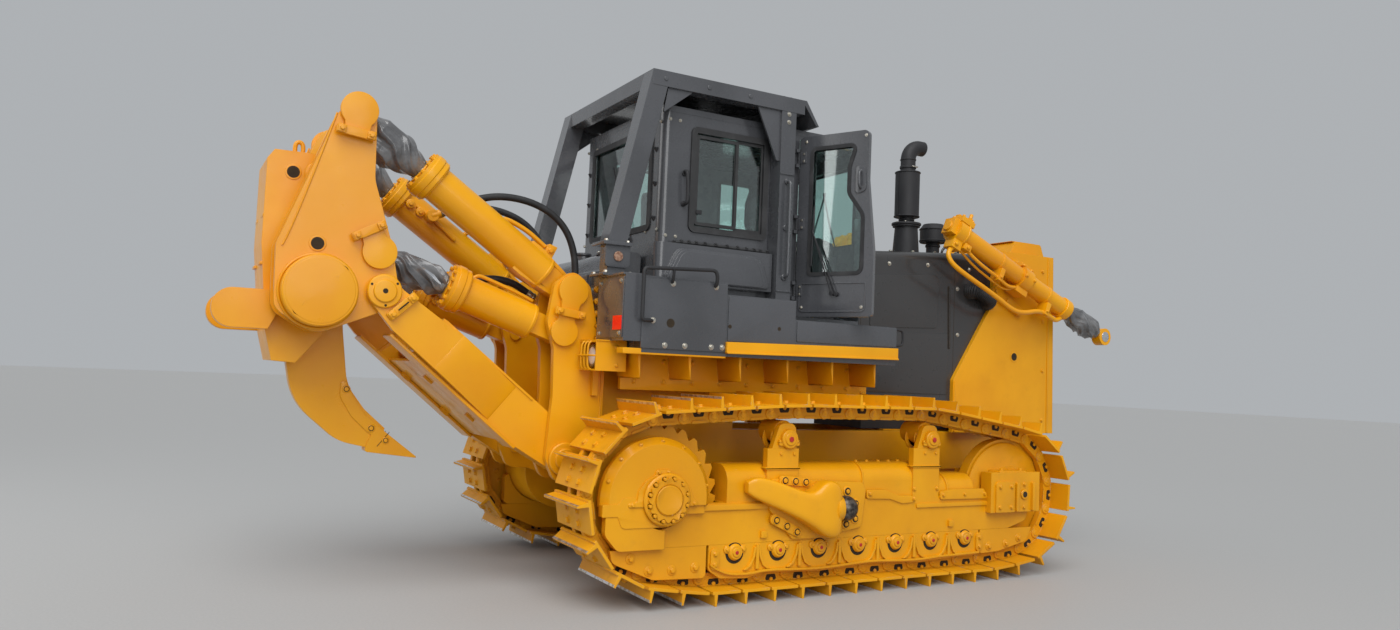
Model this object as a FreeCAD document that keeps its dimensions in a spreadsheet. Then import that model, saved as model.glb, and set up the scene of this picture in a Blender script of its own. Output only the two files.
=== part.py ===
import FreeCAD, Part
import math
import os
import re
from types import SimpleNamespace

# Crawler bulldozer with a single-shank ripper, its blade and push arms taken off.
# Millimetres, +X forward, +Y to the left, +Z up. Lengths along X are counted from the
# sprocket axle, Y from the middle of the machine and Z from the ground. The finished
# pieces then move along X together, so that the origin is under the middle of the machine.

V = FreeCAD.Vector
doc = FreeCAD.newDocument("bulldozer")

SIZES = dict(
    # track chain and shoes
    track_pitch=228.6, track_links=41, half_teeth=27, gauge=2140, shoe_width=560,
    shoe_length=212, shoe_plate=18, grouser_height=74, grouser_root=26, grouser_tip=14,
    pin_to_shoe=50, rail_width=46, rail_gap=106, rail_inner=38, top_lift=62, running_gap=0.3,
    # wheels of the track
    sprocket_raise=48, idler_x=3169, idler_raise=30, idler_tread=415, idler_width=104,
    idler_face=425, roller_radius=92, carrier_radius=80, first_roller=560, roller_count=7,
    last_roller=2640, carrier_rear=965, carrier_front=2275, pin_line_ground=142,
    ground_rear=330, ground_front=2860, carrier_sink=14, roller_cap=32, shaft_gap=0.05,
    # track frames
    beam_top=640, beam_bottom=370, beam_rear=-330, beam_front=2760, beam_inner=890,
    beam_outer=1235, cover_low=610, cover_rear=490, cover_step=2180, cover_front=2735,
    cover_top=890, cover_nose_top=800, cover_inner=915, cover_outer=1225, end_rear=-410,
    end_front=5, end_low=371, end_top=602, end_outer=1285, fork_rear=2860, fork_front=3420,
    fork_top=815, fork_bottom=503, fork_outer=1290, guard_thick=26, guard_low=150,
    dome_x=-45, dome_radius=388, dome_flat=345, dome_inner=1195, dome_outer=1285,
    hub_radius=150, hub_outer=1322, trunnion_x=1310, trunnion_z=605, trunnion_ball=92,
    trunnion_tip=1440, trunnion_neck=70, trunnion_base=24,
    # main frame
    case_rear=-240, case_front=720, case_half=500, case_low=600, case_top=1560, rail_low=760,
    rail_top=1080, rail_half_in=380, rail_front=4260, belly_low=540, belly_rear=700,
    belly_front=3900, belly_nose=4200, pivot_x=430, pivot_z=690, pivot_radius=95,
    equalizer_x=2450, equalizer_width=180, equalizer_height=130,
    platform_front=2080, platform_half=690, platform_low=1365,
    # engine, hood and radiator guard
    engine_rear=2330, engine_front=3650, engine_half=330, engine_low=1090, engine_top=2150,
    hood_rear=2084, hood_front=3720, hood_low=1330, hood_rear_top=2560,
    hood_front_top=2680, hood_wall=8, hood_corner=70, guard_half=600, guard_plate=40,
    guard_rear_low=3105, guard_rear_high=3545, guard_front=4350, guard_front_top=4320,
    seat_gap=0.3, guard_knee_z=1530, guard_shoulder_z=2205, guard_top_z=2700,
    guard_frame=110, grille_thick=40, grille_slots=9, lamp_hood_rear=3930,
    lamp_hood_front=4420, lamp_hood_top=2840, lamp_hood_half=420, guard_hip=2560,
    # exhaust and air intake
    stack_x=2880, stack_y=-200, stack_base_radius=125, stack_neck_radius=62,
    stack_cone_top=2900, canister_radius=108, canister_low=2965, canister_top=3360,
    pipe_radius=66, elbow_radius=120, elbow_z=3480, cleaner_x=3330, cleaner_y=-60,
    cleaner_radius=120, cleaner_low=2790, cleaner_top=2960, cleaner_neck=60,
    # fenders, tank and lamps
    fender_outer=1120, fender_rear=-275, fender_step=-140, fender_box_front=497,
    fender_mid_front=1070, fender_front=2000, fender_low=1612, fender_box_top=2115,
    fender_mid_top=2035, fender_deck_top=1900, tank_half=575, tank_rear=-225,
    tank_front=90, tank_top=2330, lamp_x=-258, lamp_z=1580,
    lamp_length=220, lamp_width=276, lamp_height=200, lamp_post=40,
    # overhead guard
    post_foot_z=2350, post_foot_x=-280, post_top_x=0, post_depth=140, post_width=150,
    rops_half=830, rops_top=3590, rops_beam=110, front_post_x=1085, front_post_depth=130,
    rops_front=1290, visor_front=1425, visor_drop=180, foot_plate=20,
    # cab
    cab_rear=165, cab_front=2080, cab_half=690, cab_low=1908, cab_top=3400, cab_wall=45,
    cab_nose_half=560, cab_nose_x=1975, skirt_half=780, skirt_rear=110, skirt_front=1300,
    skirt_low=2115.3, skirt_top=2400, side_window_rear=420, side_window_front=1040,
    window_low=2530, window_high=3250, rear_window_half=520, glass_thick=6, glass_gap=0.3,
    door_hinge_x=1345, door_length=640, door_low=1950, door_high=3330, door_thick=38,
    door_gap=6, door_open=65, hinge_radius=13, hinge_out=26, hinge_pin=6, knuckle_half=45, lug_height=26,
    seat_rear=560, seat_length=520,
    seat_width=500, seat_z=2330, seat_thick=120, seat_back_height=620, seat_back_thick=120,
    console_width=200, console_height=460,
    # ripper bracket and pins
    upper_pin_x=-442, upper_pin_z=2012, lower_pin_x=-496, lower_pin_z=1731, arm_pin_x=-446,
    arm_pin_z=880, bracket_outer=640, bracket_plate=50, bracket_inner=340, pin_radius=45,
    pin_cover=14, pin_clear=0.05, bracket_top_radius=84, side_gap=5,
    # ripper beam, arm, shank
    beam_pin_x=-1678, beam_pin_z=1912, tilt_pin_x=-1884, tilt_pin_z=3012, lift_pin_x=-1714,
    lift_pin_z=2153, tube_x=-2052, tube_z=1886, tube_radius=215, tube_end=700, plate_outer=600,
    plate_thick=50, plate_inner=360, arm_outer=585, arm_inner=395, arm_depth=300,
    arm_cheek=45, shank_thick=90, shank_rear=-2190, shank_front=-1810, shank_top=2700,
    pocket_half=250, pocket_rear=-2350, pocket_top=2775, push_rear=-2606, push_top=1890,
    push_low=1650, tip_x=-1269, tip_z=835,
    # ripper cylinders
    cylinder_y=480, ram_radius=120, ram_rod=55, ram_head=150, ram_head_length=105,
    eye_radius=88, eye_half=62, tilt_ram_length=1235, lift_ram_length=800, ram_neck=190,
    wrap_radius=66, shank_pin_x=-2060, shank_pin_z=2647, shank_play=3, hose_radius=25,
    hose_y=290, fitting_radius=33,
    # blade lift cylinders
    hoist_x=3730, hoist_y=760, hoist_z=2443, hoist_pitch=-22.95, hoist_radius=82,
    hoist_rear=900, hoist_front=619, hoist_rod=40, hoist_eye=78, hoist_eye_half=45,
    hoist_reach=1159, hoist_ring=24, yoke_pin=45, yoke_radius=95,
)

sheet = doc.addObject("Spreadsheet::Sheet", "Sizes")
for row, (word, value) in enumerate(SIZES.items(), start=1):
    sheet.set(f"A{row}", word)
    sheet.set(f"B{row}", str(value))
    sheet.setAlias(f"B{row}", word)
doc.recompute()
s = SimpleNamespace(**{word: float(sheet.get(word)) for word in SIZES})


def bind(piece, **formulas):
    """Tie properties to the sheet; Base_x stands for Placement.Base.x."""
    for name, text in formulas.items():
        path = name.replace("Base_", "Placement.Base.")
        spelled = re.sub(r"[a-z][a-z0-9_]*",
                         lambda word: "Sizes." + word.group() if word.group() in SIZES
                         else word.group(), str(text))
        piece.setExpression(path, spelled)


def block(x, y, z):
    """A box between two formulas along each axis."""
    piece = doc.addObject("Part::Box", "Block")
    for size, base, (low, high) in (("Length", "Base_x", x), ("Width", "Base_y", y),
                                    ("Height", "Base_z", z)):
        bind(piece, **{size: f"({high}) - ({low})", base: str(low)})
    return piece


TURNS = {"X": FreeCAD.Rotation(V(0, 1, 0), 90), "Y": FreeCAD.Rotation(V(1, 0, 0), -90),
         "Z": FreeCAD.Rotation()}


def rod(axis, radius, low, high, at):
    """A round bar along one axis from low to high; at gives its other two coordinates."""
    piece = doc.addObject("Part::Cylinder", "Rod")
    piece.Placement.Rotation = TURNS[axis]
    spots = list(at)
    spots.insert("XYZ".index(axis), low)
    bind(piece, Radius=radius, Height=f"({high}) - ({low})", Base_x=spots[0],
         Base_y=spots[1], Base_z=spots[2])
    return piece


def taper(axis, low_radius, high_radius, low, high, at):
    """A round bar whose radius changes along its axis."""
    piece = doc.addObject("Part::Cone", "Taper")
    piece.Placement.Rotation = TURNS[axis]
    spots = list(at)
    spots.insert("XYZ".index(axis), low)
    bind(piece, Radius1=low_radius, Radius2=high_radius, Height=f"({high}) - ({low})",
         Base_x=spots[0], Base_y=spots[1], Base_z=spots[2])
    return piece


def rounded(points):
    """Edges of a closed outline in a plane; a point is (a, b) or (a, b, corner radius)."""
    count = len(points)
    entries, arcs = [], []
    for k in range(count):
        here = V(points[k][0], points[k][1], 0)
        radius = points[k][2] if len(points[k]) > 2 else 0
        before = V(points[k - 1][0], points[k - 1][1], 0) - here
        after = V(points[(k + 1) % count][0], points[(k + 1) % count][1], 0) - here
        before.normalize()
        after.normalize()
        half = before.getAngle(after) / 2
        if radius == 0 or abs(half - math.pi / 2) < 1e-6:
            entries.append((here, here))
            arcs.append(None)
            continue
        reach = radius / math.tan(half)
        start, end = here + before * reach, here + after * reach
        middle = (before + after).normalize() * (radius / math.sin(half) - radius)
        entries.append((start, end))
        arcs.append((start, here + middle, end))
    edges = []
    for k in range(count):
        if arcs[k]:
            edges.append(Part.Arc(*arcs[k]))
        start, end = entries[k][1], entries[(k + 1) % count][0]
        if start.distanceToPoint(end) > 1e-6:
            edges.append(Part.LineSegment(start, end))
    return edges


PLANES = {"Y": "XZ_Plane", "Z": "XY_Plane", "X": "YZ_Plane"}


def pad(axis, outline, low, high, holes=()):
    """A plate: an outline across one axis, padded from low to high along it.
    Holes are (a, b, radius) in the same plane."""
    body = doc.addObject("PartDesign::Body", "Plate")
    sketch = body.newObject("Sketcher::SketchObject", "Outline")
    plane = [item for item in body.Origin.OriginFeatures if item.Role == PLANES[axis]]
    sketch.AttachmentSupport = [(plane[0], "")]
    sketch.MapMode = "FlatFace"
    for edge in rounded(outline):
        sketch.addGeometry(edge)
    for a, b, radius in holes:
        sketch.addGeometry(Part.Circle(V(a, b, 0), V(0, 0, 1), radius))
    plate = body.newObject("PartDesign::Pad", "Thickness")
    plate.Profile = sketch
    plate.SideType = "Symmetric"
    bind(plate, Length=f"({high}) - ({low})")
    bind(body, **{"Base_" + axis.lower(): f"(({low}) + ({high})) / 2"})
    return body


def fuse(*pieces):
    whole = doc.addObject("Part::MultiFuse", "Welded")
    whole.Shapes = list(pieces)
    return whole


def group(*pieces):
    whole = doc.addObject("Part::Compound", "Set")
    whole.Links = list(pieces)
    return whole


def cut(base, *tools):
    piece = doc.addObject("Part::Cut", "Cut")
    piece.Base = base
    piece.Tool = tools[0] if len(tools) == 1 else fuse(*tools)
    return piece


def mirrored(piece):
    twin = doc.addObject("Part::Mirroring", "Twin")
    twin.Source = piece
    twin.Normal = V(0, 1, 0)
    twin.Base = V(0, 0, 0)
    return twin


def made(shape):
    piece = doc.addObject("Part::Feature", "Formed")
    piece.Shape = shape
    return piece


nodes = {}


def node(label, *pieces):
    """Each finished piece gets its own name and can be placed by itself."""
    whole = group(*pieces)
    whole.Label = label
    nodes[label] = whole


def both(label, *pieces):
    """Right and left copies in one node, as solids that do not touch."""
    node(label, *pieces, *[mirrored(piece) for piece in pieces])


# Track chain: pins on a path round sprocket, rollers, idler and carrier rollers

sprocket_pitch_radius = s.track_pitch / (2 * math.sin(2 * math.pi / s.half_teeth))
idler_pin_radius = s.idler_tread + s.pin_to_shoe
sprocket_z = s.pin_line_ground + sprocket_pitch_radius + s.sprocket_raise
idler_z = s.pin_line_ground + idler_pin_radius + s.idler_raise


def tangent(first, first_radius, second, second_radius, side):
    """Ends of the line that touches two circles on the same side, -1 below and 1 above."""
    across = second - first
    angle = math.atan2(across.y, across.x)
    lean = math.asin((first_radius - second_radius) / across.Length)
    turn = angle + side * (math.pi / 2 - lean)
    normal = V(math.cos(turn), math.sin(turn), 0)
    return first + normal * first_radius, second + normal * second_radius


sprocket_at = V(0, sprocket_z, 0)
idler_at = V(s.idler_x, idler_z, 0)
first_at = V(s.ground_rear, s.pin_line_ground, 0)
last_at = V(s.ground_front, s.pin_line_ground, 0)
carrier_pin_z = sprocket_z + sprocket_pitch_radius + s.top_lift
carriers_at = [V(s.carrier_rear, carrier_pin_z, 0), V(s.carrier_front, carrier_pin_z, 0)]

low_rear = tangent(sprocket_at, sprocket_pitch_radius, first_at, 0, -1)
low_front = tangent(last_at, 0, idler_at, idler_pin_radius, -1)
top_rear = tangent(sprocket_at, sprocket_pitch_radius, carriers_at[0], 0, 1)
top_front = tangent(carriers_at[1], 0, idler_at, idler_pin_radius, 1)


def arc_through(centre, start, end, outward):
    middle = centre + V(outward, 0, 0) * (start - centre).Length
    return Part.Arc(start, middle, end).toShape()


def straight(start, end):
    return Part.LineSegment(start, end).toShape()


path = Part.Wire([
    straight(first_at, last_at), straight(last_at, low_front[1]),
    arc_through(idler_at, low_front[1], top_front[1], 1),
    straight(top_front[1], carriers_at[1]), straight(carriers_at[1], carriers_at[0]),
    straight(carriers_at[0], top_rear[0]),
    arc_through(sprocket_at, top_rear[0], low_rear[0], -1), straight(low_rear[0], first_at)])
pins = path.discretize(Number=int(s.track_links) + 1)[:-1]
print("chain pitch along its path", round(path.Length / s.track_links, 2))


def upright(points):
    """Points of the X, Z plane as places in space."""
    return [V(point.x, 0, point.y) for point in points]


def slab(points, low, high):
    """A prism on a closed outline in the X, Z plane, between two Y values."""
    face = Part.Face(Part.makePolygon(upright(list(points) + [points[0]])))
    solid = face.extrude(V(0, high - low, 0))
    solid.translate(V(0, low, 0))
    return solid


def chain(centre):
    """One closed chain: two rails of links and a grouser shoe on each pair of links."""
    outer, inner, shoes = [], [], []
    for k, pin in enumerate(pins):
        after = pins[(k + 1) % len(pins)]
        along = (after - pin).normalize()
        out = V(along.y, -along.x, 0)
        middle = (pin + after) / 2
        reach = s.shoe_length / 2
        low = s.pin_to_shoe
        high = low + s.shoe_plate
        tip = high + s.grouser_height
        root = s.grouser_root / 2
        point = s.grouser_tip / 2
        lug = -reach + s.grouser_root
        shape = [(-reach, low - 2), (reach, low - 2), (reach, high), (lug + root, high),
                 (lug + point, tip), (lug - point, tip), (lug - root, high), (-reach, high)]
        shoes.append(slab([middle + along * a + out * b for a, b in shape],
                          centre - s.shoe_width / 2, centre + s.shoe_width / 2))
        outer += [pin + along * 8 + out * low, after - along * 8 + out * low]
        inner += [pin + along * 20 - out * s.rail_inner, after - along * 20 - out * s.rail_inner]
    rails = []
    for side in (-1, 1):
        edge = centre + side * (s.rail_gap + s.rail_width) / 2
        low, high = edge - s.rail_width / 2, edge + s.rail_width / 2
        rails.append(slab(outer, low, high).cut(slab(inner, low - 1, high + 1)))
    return rails[0].fuse([rails[1]] + shoes).removeSplitter()


node("track_right", made(chain(-s.gauge / 2)))
node("track_left", made(chain(s.gauge / 2)))

# Wheels that the chain runs on

track_y = "gauge / 2"
rail_clear = s.rail_inner + s.running_gap


def wheel(x, z, profile):
    """A turned wheel across the machine: profile points are (radius, distance from gauge)."""
    points = [V(x, -s.gauge / 2 + along, z + radius) for radius, along in profile]
    face = Part.Face(Part.makePolygon(points + [points[0]]))
    return face.revolve(V(x, 0, z), V(0, 1, 0), 360)


drum = s.rail_gap / 2 - 8
tooth_radius = sprocket_pitch_radius - 20
tooth_root = sprocket_pitch_radius - 62
teeth = []
for k in range(int(s.half_teeth)):
    angle = 2 * math.pi * k / s.half_teeth
    half = math.pi / s.half_teeth
    for turn, radius in ((-0.62, tooth_root), (-0.28, tooth_radius), (0.28, tooth_radius)):
        teeth.append(V(radius * math.sin(angle + turn * half),
                       sprocket_z + radius * math.cos(angle + turn * half), 0))
sprocket = slab(teeth, -s.gauge / 2 - drum * 0.6, -s.gauge / 2 + drum * 0.6)
sprocket = sprocket.cut(Part.makeCylinder(s.hub_radius + s.seat_gap, s.gauge,
                                          V(0, -s.gauge, sprocket_z), V(0, 1, 0)))
both("sprockets", made(sprocket))

idler_half = s.idler_width / 2
idler_profile = [(70, -idler_half - 60), (200, -idler_half - 60), (220, -20), (s.idler_face, -44),
                 (s.idler_face, 44), (220, 20), (200, idler_half + 60), (70, idler_half + 60)]
both("idlers", made(wheel(s.idler_x, idler_z, idler_profile)))

roller_z = s.pin_line_ground + rail_clear + s.roller_radius
roller_step = (s.last_roller - s.first_roller) / (s.roller_count - 1)
rail_out = s.rail_gap / 2 + s.rail_width
shaft_half = (s.beam_outer - s.beam_inner) / 2 - s.guard_thick - 1
roller_middle = (s.beam_outer + s.beam_inner) / 2 - s.gauge / 2
roller_profile = [(40, -115), (60, -115), (s.roller_radius, -rail_out), (s.roller_radius, -44),
                  (s.roller_radius, 44), (s.roller_radius, rail_out), (60, 115), (40, 115)]
rollers = []
for k in range(int(s.roller_count)):
    x = s.first_roller + k * roller_step
    solid = wheel(x, roller_z, roller_profile)
    shaft_end = V(x, -s.gauge / 2 - roller_middle - shaft_half, roller_z)
    shaft = Part.makeCylinder(40, 2 * shaft_half, shaft_end, V(0, 1, 0))
    caps = [Part.makeBox(110, s.roller_cap, s.beam_bottom - s.seat_gap - roller_z + 50,
                         V(x - 55, -s.gauge / 2 - roller_middle + side, roller_z - 50))
            for side in (-shaft_half, shaft_half - s.roller_cap)]
    rollers.append(made(solid.fuse([shaft] + caps)))
both("track_rollers", *rollers)

carrier_z = carrier_pin_z - rail_clear - s.carrier_radius - s.carrier_sink
carrier_profile = [(30, -110), (55, -110), (s.carrier_radius, -rail_out), (s.carrier_radius, rail_out),
                   (55, 110), (30, 110)]
carriers = []
for x in (s.carrier_rear, s.carrier_front):
    carriers.append(made(wheel(x, carrier_z, carrier_profile)))
both("carrier_rollers", *carriers)

# Track frames: box beam, recoil cover, idler forks, final drives, roller guards

frame_outline = [(s.beam_rear, s.beam_bottom, 40), (s.beam_rear, 600, 30),
                 (s.beam_rear + 160, s.beam_top, 60), (s.beam_front + 350, s.beam_top),
                 (s.beam_front + 560, 560, 60), (s.beam_front + 560, 430, 60),
                 (s.beam_front + 350, s.beam_bottom)]
frame_beam = pad("Y", frame_outline, "-beam_outer", "-beam_inner")
sprocket_room = rod("Y", "hub_radius + 45", "-end_outer - 10", "-beam_inner + 60",
                    ("0", str(sprocket_z)))
housing_room = rod("Y", "hub_radius + 155", f"-{track_y} + 70", "-case_half", ("0", str(sprocket_z)))
chain_room = block(("beam_rear - 50", "hub_radius + 330"), (f"-{track_y} - 100", f"-{track_y} + 100"),
                   ("beam_bottom - 20", "beam_top + 80"))
idler_room = block(("idler_x - idler_face - 10", "beam_front + 700"),
                   (f"-{track_y} - idler_width / 2 - 62", f"-{track_y} + idler_width / 2 + 62"),
                   ("beam_bottom - 20", "fork_top + 100"))
covers = [pad("X", [(-s.cover_outer, s.cover_low), (-s.cover_inner, s.cover_low),
                    (-s.cover_inner, top, 120), (-s.cover_outer, top, 120)], rear, front)
          for top, rear, front in ((s.cover_top, "cover_rear", "cover_step"),
                                   (s.cover_nose_top, "cover_step - 5", "cover_front"))]
end_plate = pad("Y", [(s.end_rear, s.end_top), (s.end_front, s.end_top), (s.end_front, s.end_low),
                      (s.end_rear + 90, s.end_low, 60), (s.end_rear, s.end_low + 100, 60)],
                "-end_outer", "-beam_outer + 5")
stands = []
for x in ("carrier_rear", "carrier_front"):
    foot = block((f"{x} - 170", f"{x} + 90"), ("-beam_outer", "-beam_outer + 54.7"),
                 ("beam_top - 20", f"{carrier_z} - 110"))
    stalk = pad("Y", [(s.carrier_rear - 130, carrier_z - 112), (s.carrier_rear + 72, carrier_z - 112),
                      (s.carrier_rear + 60, carrier_z + 62, 50),
                      (s.carrier_rear - 70, carrier_z + 62, 50)],
                "-beam_outer + 4", "-beam_outer + 50")
    if x == "carrier_front":
        bind(stalk, Base_x="carrier_front - carrier_rear")
    axle = rod("Y", "30 - shaft_gap", "-beam_outer + 40", f"-{track_y} + 100", (x, str(carrier_z)))
    stands += [foot, stalk, axle]
forks = []
for low, high in (("-fork_outer", f"-{track_y} - idler_width / 2 - 60.3"),
                  (f"-{track_y} + idler_width / 2 + 60.3", "-beam_inner")):
    forks.append(block(("fork_rear", "fork_front - 20"), (low, high),
                       ("fork_bottom", "fork_top")))
idler_axle = rod("Y", "70 - shaft_gap", "-fork_outer + 20", f"-{track_y} + 150",
                 ("idler_x", str(idler_z)))
frame_box = cut(fuse(frame_beam, end_plate, *covers), sprocket_room, housing_room, chain_room,
                idler_room)
frame_right = fuse(frame_box, *stands, *forks, idler_axle)
node("track_frame_right", frame_right)
node("track_frame_left", mirrored(frame_right))

dome_spot = ("dome_x", str(sprocket_z))
dome = fuse(taper("Y", "dome_flat", "dome_radius", "-dome_outer", "-beam_outer", dome_spot),
            rod("Y", "dome_radius", "-beam_outer", "-dome_inner", dome_spot))
dome_low = block(("dome_x - dome_radius - 5", "dome_x + dome_radius + 5"),
                 ("-dome_outer - 5", "-dome_inner + 5"),
                 (f"{sprocket_z} - dome_radius - 5", "beam_top + seat_gap"))
hub = rod("Y", "hub_radius", "-hub_outer", f"-{track_y} + 110", ("0", str(sprocket_z)))
housing = rod("Y", "hub_radius + 150", f"-{track_y} + 75", "-case_half", ("0", str(sprocket_z)))
both("final_drives", fuse(cut(dome, dome_low), hub, housing))

guard_edge = s.beam_bottom - s.seat_gap
low = s.guard_low
rear_guard = [(s.beam_rear - 20, guard_edge), (s.beam_rear, 290, 60), (-40, low + 20, 120),
              (343, low + 10, 30), (343, guard_edge)]
mid_guard = [(360, guard_edge), (360, low + 60, 40), (450, low, 60), (660, low - 12, 120),
             (800, low + 20, 120), (1270, low, 120), (1720, low + 28, 160), (2180, low + 8, 160),
             (2530, low + 24, 120), (s.beam_front + 30, low + 30, 30), (s.beam_front + 30, guard_edge)]
front_guard = [(s.beam_front + 45, guard_edge), (s.beam_front + 45, low + 35, 30),
               (3010, low + 45, 120), (3330, 262, 80), (3375, guard_edge)]
guards = []
for outline in (rear_guard, mid_guard, front_guard):
    guards.append(pad("Y", outline, "-beam_outer", "-beam_outer + guard_thick"))
    guards.append(pad("Y", outline, "-beam_inner - guard_thick", "-beam_inner"))
ribs = [block((f"{x - 12}", f"{x + 12}"), ("-beam_outer - 20", "-beam_outer + 5"),
              (f"{low + 50}", f"{guard_edge - 12}"))
        for x in [s.first_roller + (k + 0.5) * roller_step for k in range(int(s.roller_count) - 1)]]
outer_middle = fuse(guards[2], *ribs)
both("roller_guards", outer_middle, *guards[:2], *guards[3:])

brace_shape = [(s.trunnion_x - 690, 780, 20), (s.trunnion_x - 560, 815, 40),
               (s.trunnion_x - 190, 715, 40), (s.trunnion_x - 150, 800, 30),
               (s.trunnion_x + 10, 760, 60), (s.trunnion_x + 60, 600, 60), (s.trunnion_x + 20, 400, 50),
               (s.trunnion_x - 80, 385, 50), (s.trunnion_x - 300, 470, 60),
               (s.trunnion_x - 650, 668, 20)]
base_shape = [(s.trunnion_x - 500, 590, 30), (s.trunnion_x - 500, 800, 40), (s.trunnion_x + 300, 760, 40),
              (s.trunnion_x + 330, 700, 30), (s.trunnion_x + 300, 445, 40), (s.trunnion_x - 60, 384, 40),
              (s.trunnion_x - 300, 384, 40)]
trunnion = fuse(pad("Y", base_shape, "-beam_outer - seat_gap - trunnion_base", "-beam_outer - seat_gap"),
                pad("Y", brace_shape, "-beam_outer - 110", "-beam_outer - seat_gap - 5"),
                taper("Y", "trunnion_neck", "trunnion_neck + 55", "-trunnion_tip + 70",
                      "-beam_outer - 60", ("trunnion_x", "trunnion_z")),
                rod("Y", "trunnion_ball", "-trunnion_tip", "-trunnion_tip + 80",
                    ("trunnion_x", "trunnion_z")))
both("push_arm_trunnions", trunnion)

# Main frame: rear case, side rails, belly guard, pivot shafts and equalizer bar

case_outline = [(s.case_rear, s.case_low + 120), (s.case_rear, s.case_top), (s.case_front, s.case_top),
                (s.case_front + 240, 1250), (s.case_front + 240, s.case_low), (-60, s.case_low, 60)]
case = pad("Y", case_outline, "-case_half", "case_half")
side_rails = [block(("case_front - 10", "rail_front"), (low, high), ("rail_low", "rail_top"))
              for low, high in (("-case_half", "-rail_half_in"), ("rail_half_in", "case_half"))]
cross = block(("rail_front - 240", "rail_front"), ("-rail_half_in - 5", "rail_half_in + 5"),
              ("rail_low", "rail_top"))
engine_saddle = block(("engine_rear + 200", "engine_rear + 420"),
                      ("-rail_half_in - 5", "rail_half_in + 5"),
                      ("rail_low", f"{s.engine_low - s.running_gap}"))
belly = pad("Y", [(s.belly_rear, s.rail_low + 5), (s.belly_rear, s.belly_low, 30),
                  (s.belly_front, s.belly_low, 60), (s.belly_nose, s.rail_low + 5)],
            "-case_half + 20", "case_half - 20")
platform = block(("tank_front + seat_gap", "platform_front"), ("-platform_half", "platform_half"),
                 ("platform_low", "cab_low - seat_gap"))
pivots = rod("Y", "pivot_radius", "-beam_inner + seat_gap", "beam_inner - seat_gap", ("pivot_x", "pivot_z"))
node("main_frame", fuse(case, *side_rails, cross, engine_saddle, belly, platform, pivots))
node("equalizer_bar", block(("equalizer_x - equalizer_width / 2", "equalizer_x + equalizer_width / 2"),
                            ("-beam_inner + seat_gap", "beam_inner - seat_gap"),
                            ("belly_low - seat_gap - equalizer_height", "belly_low - seat_gap")))
node("engine_block", block(("engine_rear", "engine_front"), ("-engine_half", "engine_half"),
                           ("engine_low", "engine_top")))

# Hood, radiator guard, grille, exhaust stack and pre-cleaner


def hood_section(x, half, low, top, corner):
    """A cross-section of the hood: upright sides and a rounded top edge."""
    edges = rounded([(-half, low), (half, low), (half, top, corner), (-half, top, corner)])
    wire = Part.Wire([edge.toShape() for edge in edges])
    wire.Placement = FreeCAD.Placement(V(x, 0, 0), FreeCAD.Rotation(V(1, 1, 1), 120))
    return wire


wall = s.hood_wall
hood_half = s.guard_half - s.guard_plate - s.seat_gap
guard_low_z = s.rail_top + s.seat_gap
hood_outer = Part.makeLoft([hood_section(s.hood_rear, hood_half, s.hood_low, s.hood_rear_top,
                                         s.hood_corner),
                            hood_section(s.hood_front, hood_half, s.hood_low, s.hood_front_top,
                                         s.hood_corner)], True, True)
hood_inner = Part.makeLoft([hood_section(s.hood_rear + wall, hood_half - wall, s.hood_low - wall,
                                         s.hood_rear_top - wall, s.hood_corner - wall),
                            hood_section(s.hood_front + 50, hood_half - wall, s.hood_low - wall,
                                         s.hood_front_top - wall, s.hood_corner - wall)], True, True)
node("hood", made(hood_outer.cut(hood_inner)))

guard_side = [(s.guard_rear_low, guard_low_z), (s.guard_front, guard_low_z),
              (s.guard_front_top, s.guard_top_z), (s.guard_rear_high + 60, s.guard_top_z, 40),
              (s.guard_rear_high + 20, s.guard_hip), (s.guard_rear_high, s.guard_shoulder_z, 60),
              (s.guard_rear_low, s.guard_knee_z, 60)]
guard_sides = [pad("Y", guard_side, low, high, [(3830, 1760, 34)])
               for low, high in (("-guard_half", "-guard_half + guard_plate"),
                                 ("guard_half - guard_plate", "guard_half"))]
front_outline = [(-s.guard_half, guard_low_z), (s.guard_half, guard_low_z),
                 (s.guard_half, s.guard_top_z, 60), (-s.guard_half, s.guard_top_z, 60)]
front_frame = pad("X", front_outline, "guard_front_top - guard_frame", "guard_front_top - 10")
front_hole = block(("guard_front_top - guard_frame - 10", "guard_front_top + 10"),
                   ("-guard_half + guard_frame", "guard_half - guard_frame"),
                   ("rail_top + seat_gap + guard_frame", "guard_top_z - guard_frame"))
top_plate = block(("hood_front + 20", "guard_front_top - 20"),
                  ("-guard_half + 5", "guard_half - 5"), ("guard_top_z - 20", "guard_top_z - 0.1"))
lamp_hood = pad("Y", [(s.lamp_hood_rear, s.guard_top_z - 5), (s.guard_front_top, s.guard_top_z - 5),
                      (s.lamp_hood_front, s.lamp_hood_top - 170), (s.guard_front, s.lamp_hood_top, 30),
                      (s.lamp_hood_rear + 90, s.lamp_hood_top, 30)],
                "-lamp_hood_half", "lamp_hood_half")
node("radiator_guard", fuse(*guard_sides, cut(front_frame, front_hole), top_plate, lamp_hood))

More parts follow.
